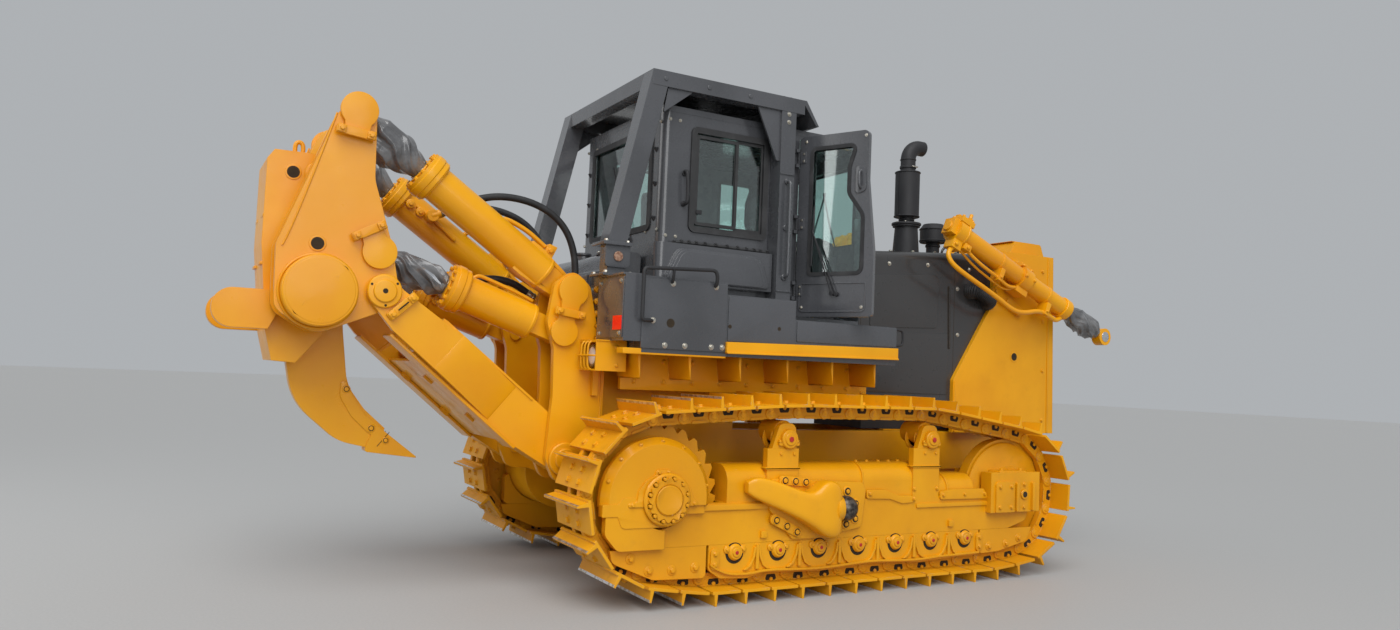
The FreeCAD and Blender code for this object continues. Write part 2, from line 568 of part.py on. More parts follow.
slot_step = (s.guard_top_z - guard_low_z - 2 * s.guard_frame) / s.grille_slots
slots = [block(("guard_front_top - guard_frame", "guard_front_top"),
               ("-guard_half + guard_frame + 60", "guard_half - guard_frame - 60"),
               (f"rail_top + seat_gap + guard_frame + {k * slot_step + 30}",
                f"rail_top + seat_gap + guard_frame + {k * slot_step + slot_step - 30}"))
         for k in range(int(s.grille_slots))]
grille_plate = block(("guard_front_top - 80", "guard_front_top - 80 + grille_thick"),
                     ("-guard_half + guard_frame + 0.3", "guard_half - guard_frame - 0.3"),
                     ("rail_top + seat_gap + guard_frame + 0.3", "guard_top_z - guard_frame - 0.3"))
node("radiator_grille", cut(grille_plate, *slots))


def turned(x, y, profile):
    """A round piece on an upright axis from (radius, height) points."""
    points = [V(x + radius, y, z) for radius, z in profile]
    face = Part.Face(Part.makePolygon(points + [points[0]]))
    return face.revolve(V(x, y, 0), V(0, 0, 1), 360)


stack_low = s.hood_rear_top - 40
under_hood = hood_outer.translated(V(0, 0, s.seat_gap))
stack = turned(s.stack_x, s.stack_y, [
    (0, stack_low), (s.stack_base_radius, stack_low), (s.stack_neck_radius + 38, s.stack_cone_top - 30),
    (s.stack_neck_radius + 58, s.stack_cone_top - 30), (s.stack_neck_radius + 58, s.stack_cone_top),
    (s.stack_neck_radius, s.stack_cone_top), (s.stack_neck_radius, s.canister_low),
    (s.canister_radius, s.canister_low), (s.canister_radius, s.canister_top),
    (s.pipe_radius, s.canister_top), (s.pipe_radius, s.elbow_z), (0, s.elbow_z)])
bend_low = V(s.stack_x, s.stack_y, s.elbow_z)
bend_top = V(s.stack_x + s.elbow_radius, s.stack_y, s.elbow_z + s.elbow_radius)
bend_mid = V(s.stack_x + s.elbow_radius * (1 - math.cos(math.pi / 4)), s.stack_y,
             s.elbow_z + s.elbow_radius * math.sin(math.pi / 4))
bend_path = Part.Wire([Part.Arc(bend_low, bend_mid, bend_top).toShape(),
                       straight(bend_top, bend_top + V(45, 0, 0))])
bend_ring = Part.Wire([Part.makeCircle(s.pipe_radius, bend_low, V(0, 0, 1))])
elbow = bend_path.makePipeShell([bend_ring], True, True)
elbow_end = bend_top + V(45, 0, 0)
elbow = elbow.cut(Part.makeCylinder(s.pipe_radius - 5, 80, elbow_end + V(-70, 0, 0), V(1, 0, 0)))
node("exhaust_stack", made(stack.fuse(elbow).cut(under_hood)))
node("pre_cleaner", made(turned(s.cleaner_x, s.cleaner_y, [
    (0, stack_low), (s.cleaner_neck, stack_low), (s.cleaner_neck, s.cleaner_low),
    (s.cleaner_radius, s.cleaner_low), (s.cleaner_radius, s.cleaner_top - 40),
    (s.cleaner_radius - 30, s.cleaner_top), (0, s.cleaner_top)]).cut(under_hood)))

# Fenders with their boxes, rear tank, lamp boxes and hand rails

fender_shape = [(s.fender_rear, s.fender_low + 70), (s.fender_step, s.fender_low + 70),
                (s.fender_step, s.fender_low), (s.fender_front, s.fender_low),
                (s.fender_front, s.fender_deck_top), (s.fender_mid_front, s.fender_deck_top),
                (s.fender_mid_front, s.fender_mid_top), (s.fender_box_front, s.fender_mid_top),
                (s.fender_box_front, s.fender_box_top), (s.fender_rear, s.fender_box_top)]
fender_right = pad("Y", fender_shape, "-fender_outer", "-platform_half - seat_gap")
node("fender_right", fender_right)
node("fender_left", mirrored(fender_right))
tank_low = s.case_top + s.seat_gap
tank_shape = [(s.tank_rear, tank_low), (s.tank_front, tank_low), (s.tank_front, s.tank_top, 40),
              (s.tank_rear + 140, s.tank_top, 60), (s.tank_rear, s.tank_top - 160, 60)]
node("rear_tank", pad("Y", tank_shape, "-tank_half", "tank_half"))

lamp_box = cut(block(("lamp_x - lamp_length / 2", "lamp_x + lamp_length / 2"),
                     ("-bracket_outer - seat_gap - lamp_width", "-bracket_outer - seat_gap"),
                     ("lamp_z - lamp_height / 2", "lamp_z + lamp_height / 2")),
               block(("lamp_x - lamp_length", "lamp_x + lamp_length / 2 - 12"),
                     ("-bracket_outer - lamp_width + 12", "-bracket_outer - seat_gap - 12"),
                     ("lamp_z - lamp_height / 2 + 12", "lamp_z + lamp_height / 2 - 12")))
lamp_core = rod("X", "lamp_height / 2 - 30", "lamp_x - 60", "lamp_x + lamp_length / 2 - 5",
                ("-bracket_outer - seat_gap - lamp_width / 2", "lamp_z"))
lamp_leg = block(("lamp_x - lamp_post / 2", "lamp_x + lamp_post / 2"),
                 ("-bracket_outer - lamp_post - seat_gap", "-bracket_outer - seat_gap"),
                 ("lamp_z - lamp_height / 2 - 170", "lamp_z - lamp_height / 2 + 5"))
both("work_lamps", fuse(lamp_box, lamp_core, lamp_leg))

# Overhead guard: sloping rear posts, upright front posts, beams, roof plate and visor


def slanted_post(x_low, x_high, z_low, z_high, depth, y_low, y_high):
    return pad("Y", [(x_low, z_low), (x_low + depth, z_low), (x_high + depth, z_high), (x_high, z_high)],
               y_low, y_high)


rear_post = slanted_post(s.post_foot_x, s.post_top_x, s.post_foot_z, s.rops_top - 5, s.post_depth,
                         "-rops_half + 2", "-rops_half + post_width")
rear_stub = block(("post_foot_x + 5", "post_foot_x + post_depth - 5"),
                  ("-rops_half + 10", "-rops_half + post_width - 10"),
                  ("fender_box_top + 0.3", "post_foot_z + 5"))
rear_foot = block(("post_foot_x - 20", "post_foot_x + post_depth + 20"),
                  ("-rops_half - 15", "-rops_half + post_width + 15"),
                  ("post_foot_z - foot_plate", "post_foot_z"))
front_post = block(("front_post_x", "front_post_x + front_post_depth"),
                   ("-rops_half + 2", "-rops_half + post_width - 20"),
                   ("fender_deck_top + 0.3", "rops_top - 5"))
side_beam = block(("post_top_x", "rops_front"), ("-rops_half", "-rops_half + rops_beam"),
                  ("rops_top - rops_beam", "rops_top"))
half_guard = [rear_post, rear_stub, rear_foot, front_post, side_beam]
roof = block(("post_top_x + 5", "rops_front"), ("-rops_half + 5", "rops_half - 5"),
             ("rops_top - 20", "rops_top - 8"))
cross_beams = [block((low, high), ("-rops_half + 5", "rops_half - 5"),
                     ("rops_top - rops_beam", "rops_top"))
               for low, high in (("post_top_x", "post_top_x + rops_beam"),
                                 ("rops_front - rops_beam", "rops_front"))]
visor = pad("Y", [(s.rops_front - 5, s.rops_top), (s.rops_front - 5, s.rops_top - 30),
                  (s.visor_front - 25, s.rops_top - s.visor_drop),
                  (s.visor_front, s.rops_top - s.visor_drop), (s.rops_front + 15, s.rops_top)],
            "-rops_half", "rops_half")
node("overhead_guard", fuse(*half_guard, *[mirrored(piece) for piece in half_guard], roof,
                            *cross_beams, visor))

# Cab: hollow shell with windows, its glass, doors, seat and consoles



def shrunk(outline, gap):
    """The same outline moved inwards by a gap, towards its middle."""
    middle_a = sum(point[0] for point in outline) / len(outline)
    middle_b = sum(point[1] for point in outline) / len(outline)
    return [(a - math.copysign(gap, a - middle_a), b - math.copysign(gap, b - middle_b), *rest)
            for a, b, *rest in outline]


cab_plan = [(s.cab_rear, -s.cab_half, 60), (s.cab_nose_x, -s.cab_half), (s.cab_front, -s.cab_nose_half),
            (s.cab_front, s.cab_nose_half), (s.cab_nose_x, s.cab_half), (s.cab_rear, s.cab_half, 60)]
cab_solid = pad("Z", cab_plan, "cab_low", "cab_top - cab_wall")
wall = s.cab_wall
room_plan = [(s.cab_rear + wall, -s.cab_half + wall, 20), (s.cab_nose_x - wall / 2, -s.cab_half + wall),
             (s.cab_front - wall, -s.cab_nose_half + wall / 2),
             (s.cab_front - wall, s.cab_nose_half - wall / 2),
             (s.cab_nose_x - wall / 2, s.cab_half - wall), (s.cab_rear + wall, s.cab_half - wall, 20)]
cab_room = pad("Z", room_plan, "cab_low - 10", "cab_top + 10")
side_window = block(("side_window_rear", "side_window_front"), ("-cab_half - 10", "cab_half + 10"),
                    ("window_low", "window_high"))
rear_window = block(("cab_rear - 10", "cab_rear + cab_wall + 10"),
                    ("-rear_window_half", "rear_window_half"), ("window_low", "window_high"))
front_window = block(("cab_front - cab_wall - 10", "cab_front + 10"),
                     ("-cab_nose_half + 60", "cab_nose_half - 60"), ("window_low + 60", "window_high"))
doorway = block(("door_hinge_x + door_gap", "door_hinge_x + door_length - door_gap"),
                ("-cab_half - 10", "cab_half + 10"), ("door_low + door_gap", "door_high - door_gap"))
skirt = pad("Z", [(s.skirt_rear, -s.skirt_half, 60), (s.skirt_front, -s.skirt_half, 60),
                  (s.skirt_front, s.skirt_half, 60), (s.skirt_rear, s.skirt_half, 60)],
            "skirt_low", "skirt_top")
skirt_hole = block(("cab_rear + 20", "skirt_front + 10"), ("-cab_half + 20", "cab_half - 20"),
                   ("skirt_low - 10", "skirt_top + 10"))
rops_room = block(("front_post_x - 10", "skirt_front + 20"), ("-skirt_half - 10", "-cab_half - 0.3"),
                  ("skirt_low - 10", "skirt_top + 10"))
skirt_open = cut(skirt, skirt_hole, rops_room, mirrored(rops_room))
HINGE_HEIGHTS = (2150, 2660, 3170)
hinge_spot = ("door_hinge_x - hinge_radius + 4", "-cab_half - hinge_out")
lugs = []
for z in HINGE_HEIGHTS:
    lugs.append(rod("Z", "hinge_pin", f"{z} - knuckle_half - lug_height",
                    f"{z} + knuckle_half + lug_height", hinge_spot))
    for low, high in ((f"{z} - knuckle_half - lug_height", f"{z} - knuckle_half - seat_gap"),
                      (f"{z} + knuckle_half + seat_gap", f"{z} + knuckle_half + lug_height")):
        lugs.append(rod("Z", "hinge_radius", low, high, hinge_spot))
        lugs.append(block(("door_hinge_x - 2 * hinge_radius - 20", "door_hinge_x - hinge_radius + 4"),
                          ("-cab_half - hinge_out - hinge_radius", "-cab_half + 5"), (low, high)))
node("cab_shell", fuse(cut(cab_solid, cab_room, side_window, rear_window, front_window, doorway),
                       skirt_open, *lugs, *[mirrored(piece) for piece in lugs]))
node("cab_roof", pad("Z", cab_plan, "cab_top - cab_wall + seat_gap", "cab_top"))
node("cab_floor", pad("Z", shrunk(room_plan, s.seat_gap), "cab_low", "cab_low + cab_wall"))

pane = "glass_thick"
side_pane = block(("side_window_rear + glass_gap", "side_window_front - glass_gap"),
                  (f"-cab_half + 15", f"-cab_half + 15 + {pane}"),
                  ("window_low + glass_gap", "window_high - glass_gap"))
rear_pane = block(("cab_rear + 15", f"cab_rear + 15 + {pane}"),
                  ("-rear_window_half + glass_gap", "rear_window_half - glass_gap"),
                  ("window_low + glass_gap", "window_high - glass_gap"))
front_pane = block(("cab_front - 25", f"cab_front - 25 + {pane}"),
                   ("-cab_nose_half + 60 + glass_gap", "cab_nose_half - 60 - glass_gap"),
                   ("window_low + 60 + glass_gap", "window_high - glass_gap"))
node("cab_glass", side_pane, mirrored(side_pane), rear_pane, front_pane)

hinge_y = s.cab_half + s.hinge_out
door_leaf = [(s.door_hinge_x, s.door_low, 30), (s.door_hinge_x + s.door_length, s.door_low, 30),
             (s.door_hinge_x + s.door_length, 2420, 200), (s.door_hinge_x + s.door_length - 60, 2960, 200),
             (s.door_hinge_x + s.door_length - 60, s.door_high, 40),
             (s.door_hinge_x, s.door_high, 40)]
door_light = [(s.door_hinge_x + 110, 2270, 40), (s.door_hinge_x + s.door_length - 90, 2270, 60),
              (s.door_hinge_x + s.door_length - 90, 2720, 120),
              (s.door_hinge_x + s.door_length - 210, 2860, 80),
              (s.door_hinge_x + s.door_length - 210, 3050, 60),
              (s.door_hinge_x + s.door_length - 150, 3230, 50), (s.door_hinge_x + 110, 3230, 50)]


def door_pieces():
    """The closed right-hand door and its glass, on the outside of the cab wall."""
    leaf = cut(pad("Y", door_leaf, "-cab_half - 2 - door_thick", "-cab_half - 2"),
               pad("Y", door_light, "-cab_half - 12 - door_thick", "-cab_half + 8"))
    knuckles = [rod("Z", "hinge_radius", f"{z} - knuckle_half", f"{z} + knuckle_half", hinge_spot)
                for z in HINGE_HEIGHTS]
    bore = rod("Z", "hinge_pin + pin_clear", "door_low", "door_high", hinge_spot)
    glass = pad("Y", shrunk(door_light, s.glass_gap), "-cab_half - 26", "-cab_half - 20")
    lug_rooms = [rod("Z", "hinge_radius + 8", low, high, hinge_spot) for z in HINGE_HEIGHTS
                 for low, high in ((f"{z} - knuckle_half - lug_height - 5", f"{z} - knuckle_half"),
                                   (f"{z} + knuckle_half", f"{z} + knuckle_half + lug_height + 5"))]
    return cut(fuse(leaf, *knuckles), bore, *lug_rooms), glass


def swung(piece, angle, pivot):
    """The same piece turned about an upright line."""
    whole = group(piece)
    whole.Placement = FreeCAD.Placement(V(0, 0, 0), FreeCAD.Rotation(V(0, 0, 1), angle), pivot)
    return whole


right_door, right_glass = door_pieces()
pivot = V(s.door_hinge_x - s.hinge_radius + 4, -hinge_y, 0)
node("door_right", swung(right_door, -s.door_open, pivot))
node("door_right_glass", swung(right_glass, -s.door_open, pivot))
left_door, left_glass = door_pieces()
node("door_left", mirrored(left_door))
node("door_left_glass", mirrored(left_glass))

cushion = block(("seat_rear", "seat_rear + seat_length"), ("-seat_width / 2", "seat_width / 2"),
                ("seat_z", "seat_z + seat_thick"))
back = block(("seat_rear - seat_back_thick - 0.3", "seat_rear - 0.3"),
             ("-seat_width / 2", "seat_width / 2"), ("seat_z", "seat_z + seat_back_height"))
node("seat_cushions", cushion, back)
stand = block(("seat_rear + 20", "seat_rear + seat_length - 80"),
              ("-seat_width / 2 + 60", "seat_width / 2 - 60"),
              ("cab_low + cab_wall + 0.3", "seat_z - 0.3"))
console = block(("seat_rear + 60", "seat_rear + seat_length + 120"),
                ("-seat_width / 2 - 30 - console_width", "-seat_width / 2 - 30"),
                ("cab_low + cab_wall + 0.3", "cab_low + cab_wall + console_height"))
lever = rod("Z", "14", "cab_low + cab_wall + console_height - 10",
            "cab_low + cab_wall + console_height + 160",
            ("seat_rear + seat_length + 20", "-seat_width / 2 - 30 - console_width / 2"))
dash = block(("cab_front - cab_wall - 260", "cab_front - cab_wall - 0.3"), ("-300", "300"),
             ("cab_low + cab_wall + 0.3", "cab_low + cab_wall + 560"))
node("cab_controls", stand, fuse(console, lever), mirrored(fuse(console, lever)), dash)

# Ripper bracket: two plates each side on the back of the case, with their pins

plate_shape = [
    (s.upper_pin_x, s.upper_pin_z + 150, s.bracket_top_radius),
    (s.upper_pin_x + 130, s.upper_pin_z + 40, 70), (s.upper_pin_x + 210, s.lower_pin_z - 20, 60),
    (s.case_rear + 60, 1560), (s.case_rear + 60, s.case_low + 60),
    (s.arm_pin_x + 100, s.arm_pin_z - 160, 60), (s.arm_pin_x - 60, s.arm_pin_z - 150, 80),
    (s.arm_pin_x - 130, s.arm_pin_z, 90), (s.arm_pin_x - 100, s.arm_pin_z + 420, 200),
    (s.arm_pin_x - 110, s.arm_pin_z + 740, 80), (s.lower_pin_x - 115, s.lower_pin_z + 60, 90),
    (s.upper_pin_x - 130, s.upper_pin_z + 40, 70)]
case_face = block(("case_rear - seat_gap", "case_rear + 400"), ("-case_half - 1", "case_half + 1"),
                  ("case_low", "upper_pin_z + 200"))
outer_plate = cut(pad("Y", plate_shape, "-bracket_outer", "-bracket_outer + bracket_plate"),
                  housing_room)
inner_plate = cut(pad("Y", plate_shape, "-bracket_inner - bracket_plate", "-bracket_inner"), case_face)
bracket_pins = [rod("Y", "pin_radius", "-bracket_outer - pin_cover", "-bracket_inner + pin_cover",
                    (x, z)) for x, z in (("upper_pin_x", "upper_pin_z"), ("lower_pin_x", "lower_pin_z"),
                                         ("arm_pin_x", "arm_pin_z"))]
pin_caps = [rod("Y", "pin_radius + 38", "-bracket_outer - pin_cover - 6", "-bracket_outer + 5",
                (x, z)) for x, z in (("upper_pin_x", "upper_pin_z"), ("lower_pin_x", "lower_pin_z"),
                                     ("arm_pin_x", "arm_pin_z"))]
back_plate = block(("case_rear - 40", "case_rear - seat_gap"), ("-bracket_outer + 10", "bracket_outer - 10"),
                   (f"{sprocket_z} + hub_radius + 160", "case_top - 20"))
half_bracket = [outer_plate, inner_plate, *bracket_pins, *pin_caps]
node("ripper_bracket", fuse(*half_bracket, *[mirrored(piece) for piece in half_bracket], back_plate))

# Ripper arm: two box members joined by a cross plate, hinged low on the bracket

arm_reach = math.hypot(s.beam_pin_x - s.arm_pin_x, s.beam_pin_z - s.arm_pin_z)
arm_angle = math.degrees(math.atan2(s.beam_pin_z - s.arm_pin_z, s.beam_pin_x - s.arm_pin_x))


def in_arm(outline):
    """Outline points given along and across the arm, turned to where the arm lies."""
    turn = math.radians(arm_angle)
    out = []
    for point in outline:
        along, across = point[0], point[1]
        out.append((s.arm_pin_x + along * math.cos(turn) + across * math.sin(turn),
                    s.arm_pin_z + along * math.sin(turn) - across * math.cos(turn)) + tuple(point[2:]))
    return out


depth = s.arm_depth / 2
eye = s.eye_radius
arm_side = in_arm([(-eye, -eye, 80), (-eye, eye, 80), (280, depth + 20, 100),
                   (arm_reach - 420, depth, 80), (arm_reach - 90, eye, 60), (arm_reach + eye, eye, 80),
                   (arm_reach + eye, -eye, 80), (arm_reach - 200, -depth, 80), (300, -depth, 100)])
member = pad("Y", arm_side, "-arm_outer", "-arm_inner")
knuckle_room = rod("Y", "eye_radius + 330", "-plate_outer - side_gap", "-plate_inner + side_gap",
                   ("beam_pin_x", "beam_pin_z"))
cheek_side = in_arm([(arm_reach - 620, -depth + 10, 60), (arm_reach - 620, depth - 10, 60),
                     (arm_reach - 90, eye, 60), (arm_reach + eye, eye, 80), (arm_reach + eye, -eye, 80),
                     (arm_reach - 200, -depth + 10, 60)])
cheek = pad("Y", cheek_side, "-plate_outer - side_gap - arm_cheek", "-plate_outer - side_gap")
cheek_root = pad("Y", in_arm([(arm_reach - 620, -depth + 10, 60), (arm_reach - 620, depth - 10, 60),
                              (arm_reach - 440, depth - 10, 60), (arm_reach - 440, -depth + 10, 60)]),
                 "-plate_outer - side_gap", "-arm_outer + 10")
arm_bore = rod("Y", "pin_radius + pin_clear", "-bracket_outer", "-bracket_inner",
               ("arm_pin_x", "arm_pin_z"))
far_bore = rod("Y", "pin_radius + pin_clear", "-plate_outer - 100", "-plate_inner",
               ("beam_pin_x", "beam_pin_z"))
half_arm = cut(fuse(cut(member, knuckle_room), cheek, cheek_root), arm_bore, far_bore)
web = pad("Y", in_arm([(330, -60), (330, -10), (arm_reach - 480, -10), (arm_reach - 480, -60)]),
          "-arm_inner - 5", "arm_inner + 5")
node("ripper_arm", fuse(half_arm, mirrored(half_arm), web))

# Ripper beam: side plates, torque tube, shank pocket and push block

side_shape = [
    (s.tilt_pin_x, s.tilt_pin_z + 190, 100), (s.tilt_pin_x + 110, s.tilt_pin_z - 40, 60),
    (s.tilt_pin_x + 120, 2600, 200), (s.lift_pin_x + 80, s.lift_pin_z + 40, 70),
    (s.beam_pin_x + eye, s.beam_pin_z + 60, 60), (s.beam_pin_x + eye, s.beam_pin_z - eye, 70),
    (s.tube_x, s.tube_z - 260, 160), (s.tube_x - 240, s.tube_z - 120, 100),
    (s.tube_x - 250, 2150, 60), (s.tilt_pin_x - 120, s.tilt_pin_z - 40, 60)]
side_plate = pad("Y", side_shape, "-plate_outer", "-plate_outer + plate_thick")
inner_side = pad("Y", side_shape, "-plate_inner - plate_thick", "-plate_inner")
tube = rod("Y", "tube_radius", "-tube_end", "tube_end", ("tube_x", "tube_z"))
cross_plate = pad("Y", [(s.tube_x - 200, s.tube_z), (s.tube_x + 60, s.tube_z), (-1960, 2790),
                        (-2060, 2790)], "-plate_inner - 5", "plate_inner + 5")
pocket_shape = [(s.pocket_rear, 2180), (s.pocket_rear + 55, 1640), (s.pocket_rear + 100, 1460),
                (-2110, 1450), (-1960, 1640), (-1960, 2780), (s.pocket_rear + 40, s.pocket_top),
                (s.pocket_rear, s.pocket_top - 60)]
pocket = pad("Y", pocket_shape, "-pocket_half", "pocket_half")
shank_slot = block(("shank_rear - shank_play", "shank_front + shank_play"),
                   ("-shank_thick / 2 - shank_play", "shank_thick / 2 + shank_play"), ("1300", "2900"))
shank_pin = rod("Y", "pin_radius", "-pocket_half - 25", "pocket_half + 25", ("shank_pin_x", "shank_pin_z"))
beam_pins = []
for x, z in (("tilt_pin_x", "tilt_pin_z"), ("lift_pin_x", "lift_pin_z")):
    beam_pins += [rod("Y", "pin_radius", "-plate_outer - pin_cover", "-plate_outer + plate_thick", (x, z)),
                  rod("Y", "pin_radius", "-plate_inner - plate_thick", "-plate_inner + pin_cover", (x, z)),
                  rod("Y", "pin_radius + 40", "-plate_outer - pin_cover - 6", "-plate_outer + 5", (x, z))]
arm_pin = rod("Y", "pin_radius", "-plate_outer - side_gap - arm_cheek - 25", "-plate_inner + pin_cover",
              ("beam_pin_x", "beam_pin_z"))
half_beam = [side_plate, inner_side, *beam_pins, arm_pin]
beam_body = cut(fuse(*half_beam, *[mirrored(piece) for piece in half_beam], tube, cross_plate, pocket),
                shank_slot)
node("ripper_beam", fuse(beam_body, shank_pin))
tube_room = rod("Y", "tube_radius + seat_gap", "-tube_end", "tube_end", ("tube_x", "tube_z"))
push_bar = pad("Y", [(-2180, s.push_top), (s.push_rear, s.push_top, 115),
                     (s.push_rear, s.push_low, 115), (-2290, s.push_low)],
               "-pocket_half - 100", "-pocket_half - seat_gap")
both("push_block", cut(push_bar, tube_room))

shank_shape = [(s.shank_rear, s.shank_top), (s.shank_rear, 1700, 900), (-2090, 1200, 420),
               (-1800, 950, 300), (-1560, 895), (-1500, 1035), (-1640, 1160, 160), (-1760, 1320, 300),
               (s.shank_front, 1700, 600), (s.shank_front, s.shank_top)]
shank = cut(pad("Y", shank_shape, "-shank_thick / 2", "shank_thick / 2"),
            rod("Y", "pin_radius + pin_clear", "-shank_thick", "shank_thick",
                ("shank_pin_x", "shank_pin_z")))
node("ripper_shank", shank)
tip_block = pad("Y", [(-1630, 880, 20), (s.tip_x, s.tip_z, 6), (-1560, 1060, 20)],
                "-shank_thick / 2 - 12", "shank_thick / 2 + 12")
node("shank_tip", cut(tip_block, shank))


# Hydraulic cylinders of the ripper, laid along their own X and turned into place


def cylinder_shapes(span, length, neck):
    """Barrel and rod of a cylinder with its base pin at the origin and its rod pin at span."""
    barrel = Part.makeCylinder(s.ram_radius, length - neck, V(neck, 0, 0), V(1, 0, 0))
    head = Part.makeCylinder(s.ram_head, s.ram_head_length, V(length - s.ram_head_length, 0, 0),
                             V(1, 0, 0))
    base = Part.makeCylinder(s.eye_radius - 8, 2 * s.eye_half, V(0, -s.eye_half, 0), V(0, 1, 0))
    link = Part.makeBox(neck + 20, 2 * s.eye_half, 150, V(0, -s.eye_half, -75))
    bore = Part.makeCylinder(s.pin_radius + s.pin_clear, 400, V(0, -200, 0), V(0, 1, 0))
    hole = Part.makeCylinder(s.ram_rod + s.running_gap, span, V(neck + 60, 0, 0), V(1, 0, 0))
    body = barrel.fuse([head, base, link]).cut(bore).cut(hole)
    stem = Part.makeCylinder(s.ram_rod, span - neck - 80, V(neck + 70, 0, 0), V(1, 0, 0))
    eye_end = Part.makeCylinder(s.eye_radius, 2 * s.eye_half, V(span, -s.eye_half, 0), V(0, 1, 0))
    rod_shape = stem.fuse(eye_end)
    wrap = Part.makeCylinder(s.wrap_radius, span - length - s.eye_radius - 8, V(length + 4, 0, 0),
                             V(1, 0, 0))
    wrap = wrap.cut(Part.makeCylinder(s.ram_rod + s.running_gap, 2 * span, V(0, 0, 0), V(1, 0, 0)))
    return body, rod_shape, wrap


def laid(shape, base, far):
    """A shape that runs along X moved so that it runs from base to far."""
    copy = shape.copy()
    copy.Placement = FreeCAD.Placement(base, FreeCAD.Rotation(V(1, 0, 0), far - base))
    return copy


HOSE_ROUTES = {
    "tilt": [(-1130, 2575), (-990, 2632), (-830, 2660), (-650, 2645), (-490, 2585), (-370, 2475),
             (-305, 2325), (-285, 2165), (-285, 2010)],
    "lift": [(-1075, 2040), (-950, 2078), (-815, 2080), (-690, 2040), (-590, 1965)],
}


def hose_port(points):
    """The port block on the inner side of a barrel, with the fitting that the hose leaves."""
    place = V(points[0][0], -s.hose_y, points[0][1])
    ahead = (V(points[1][0], -s.hose_y, points[1][1]) - place).normalize()
    fitting = Part.makeCylinder(s.fitting_radius, 70, place - ahead * 70, ahead)
    sunk = s.cylinder_y - s.ram_rod - 5 - s.hose_y
    port = Part.makeCylinder(s.fitting_radius + 10, sunk + 30, place - ahead * 60 - V(0, sunk, 0),
                             V(0, 1, 0))
    return fitting.fuse(port)


rams = {"tilt": (V(s.upper_pin_x, -s.cylinder_y, s.upper_pin_z),
                 V(s.tilt_pin_x, -s.cylinder_y, s.tilt_pin_z), s.tilt_ram_length),
        "lift": (V(s.lower_pin_x, -s.cylinder_y, s.lower_pin_z),
                 V(s.lift_pin_x, -s.cylinder_y, s.lift_pin_z), s.lift_ram_length)}
for name, (base, far, length) in rams.items():
    span = (far - base).Length
    barrel, stem, wrap = cylinder_shapes(span, length, s.ram_neck)
    both(f"{name}_barrels", made(laid(barrel, base, far).fuse(hose_port(HOSE_ROUTES[name]))))
    both(f"{name}_rods", made(laid(stem, base, far)))
    both(f"{name}_rod_wraps", made(laid(wrap, base, far)))

# Hydraulic hoses between the ports on the barrels and the fittings on the machine


def hose_tube(points, radius, y):
    """A hose in an upright plane: straight runs joined by arcs as large as the runs allow."""
    corners = [V(x, y, z) for x, z in points]
    edges, start = [], corners[0]
    for k in range(1, len(corners) - 1):
        back, ahead = corners[k - 1] - corners[k], corners[k + 1] - corners[k]
        reach = 0.45 * min(back.Length, ahead.Length)
        back.normalize()
        ahead.normalize()
        half = back.getAngle(ahead) / 2
        bend = reach * math.tan(half)
        middle = corners[k] + (back + ahead).normalize() * (bend / math.sin(half) - bend)
        edges.append(straight(start, corners[k] + back * reach))
        edges.append(Part.Arc(corners[k] + back * reach, middle,
                              corners[k] + ahead * reach).toShape())
        start = corners[k] + ahead * reach
        print("hose bend radius", round(bend))
    edges.append(straight(start, corners[-1]))
    route = Part.Wire(edges)
    ring = Part.Wire([Part.makeCircle(radius, corners[0], corners[1] - corners[0])])
    tube = route.makePipeShell([ring], True, True)
    print("hose length", round(route.Length), "volume over section times length",
          round(tube.Volume / (math.pi * radius ** 2 * route.Length), 4))
    return tube


for name, points in HOSE_ROUTES.items():
    tube = made(hose_tube(points, s.hose_radius, -s.hose_y))
    node(f"{name}_hose_right", tube)
    node(f"{name}_hose_left", mirrored(tube))

tilt_end, lift_end = HOSE_ROUTES["tilt"][-1], HOSE_ROUTES["lift"][-1]
tank_fitting = fuse(rod("Z", "fitting_radius", f"{tilt_end[1] - 90}", f"{tilt_end[1]}",
                        (f"{tilt_end[0]}", "-hose_y")),
                    block((f"{tilt_end[0] - 30}", "tank_rear - seat_gap"), ("-hose_y - 30", "-hose_y + 30"),
                          (f"{tilt_end[1] - 90}", f"{tilt_end[1] - 30}")))
lift_before = HOSE_ROUTES["lift"][-2]
lift_out = V(lift_end[0] - lift_before[0], 0, lift_end[1] - lift_before[1]).normalize()
lift_place = V(lift_end[0], -s.hose_y, lift_end[1])
plate_fitting = Part.makeCylinder(s.fitting_radius, 60, lift_place, lift_out)
plate_foot = Part.makeCylinder(s.fitting_radius - 3, s.bracket_inner - s.hose_y - s.seat_gap,
                               lift_place + lift_out * 32 + V(0, s.hose_y - s.bracket_inner + s.seat_gap, 0),
                               V(0, 1, 0))
both("hose_fittings", tank_fitting, made(plate_fitting.fuse(plate_foot)))

# Blade lift cylinders: each hangs in a yoke on the side of the radiator guard

hoist_turn = FreeCAD.Rotation(V(0, 1, 0), -s.hoist_pitch)


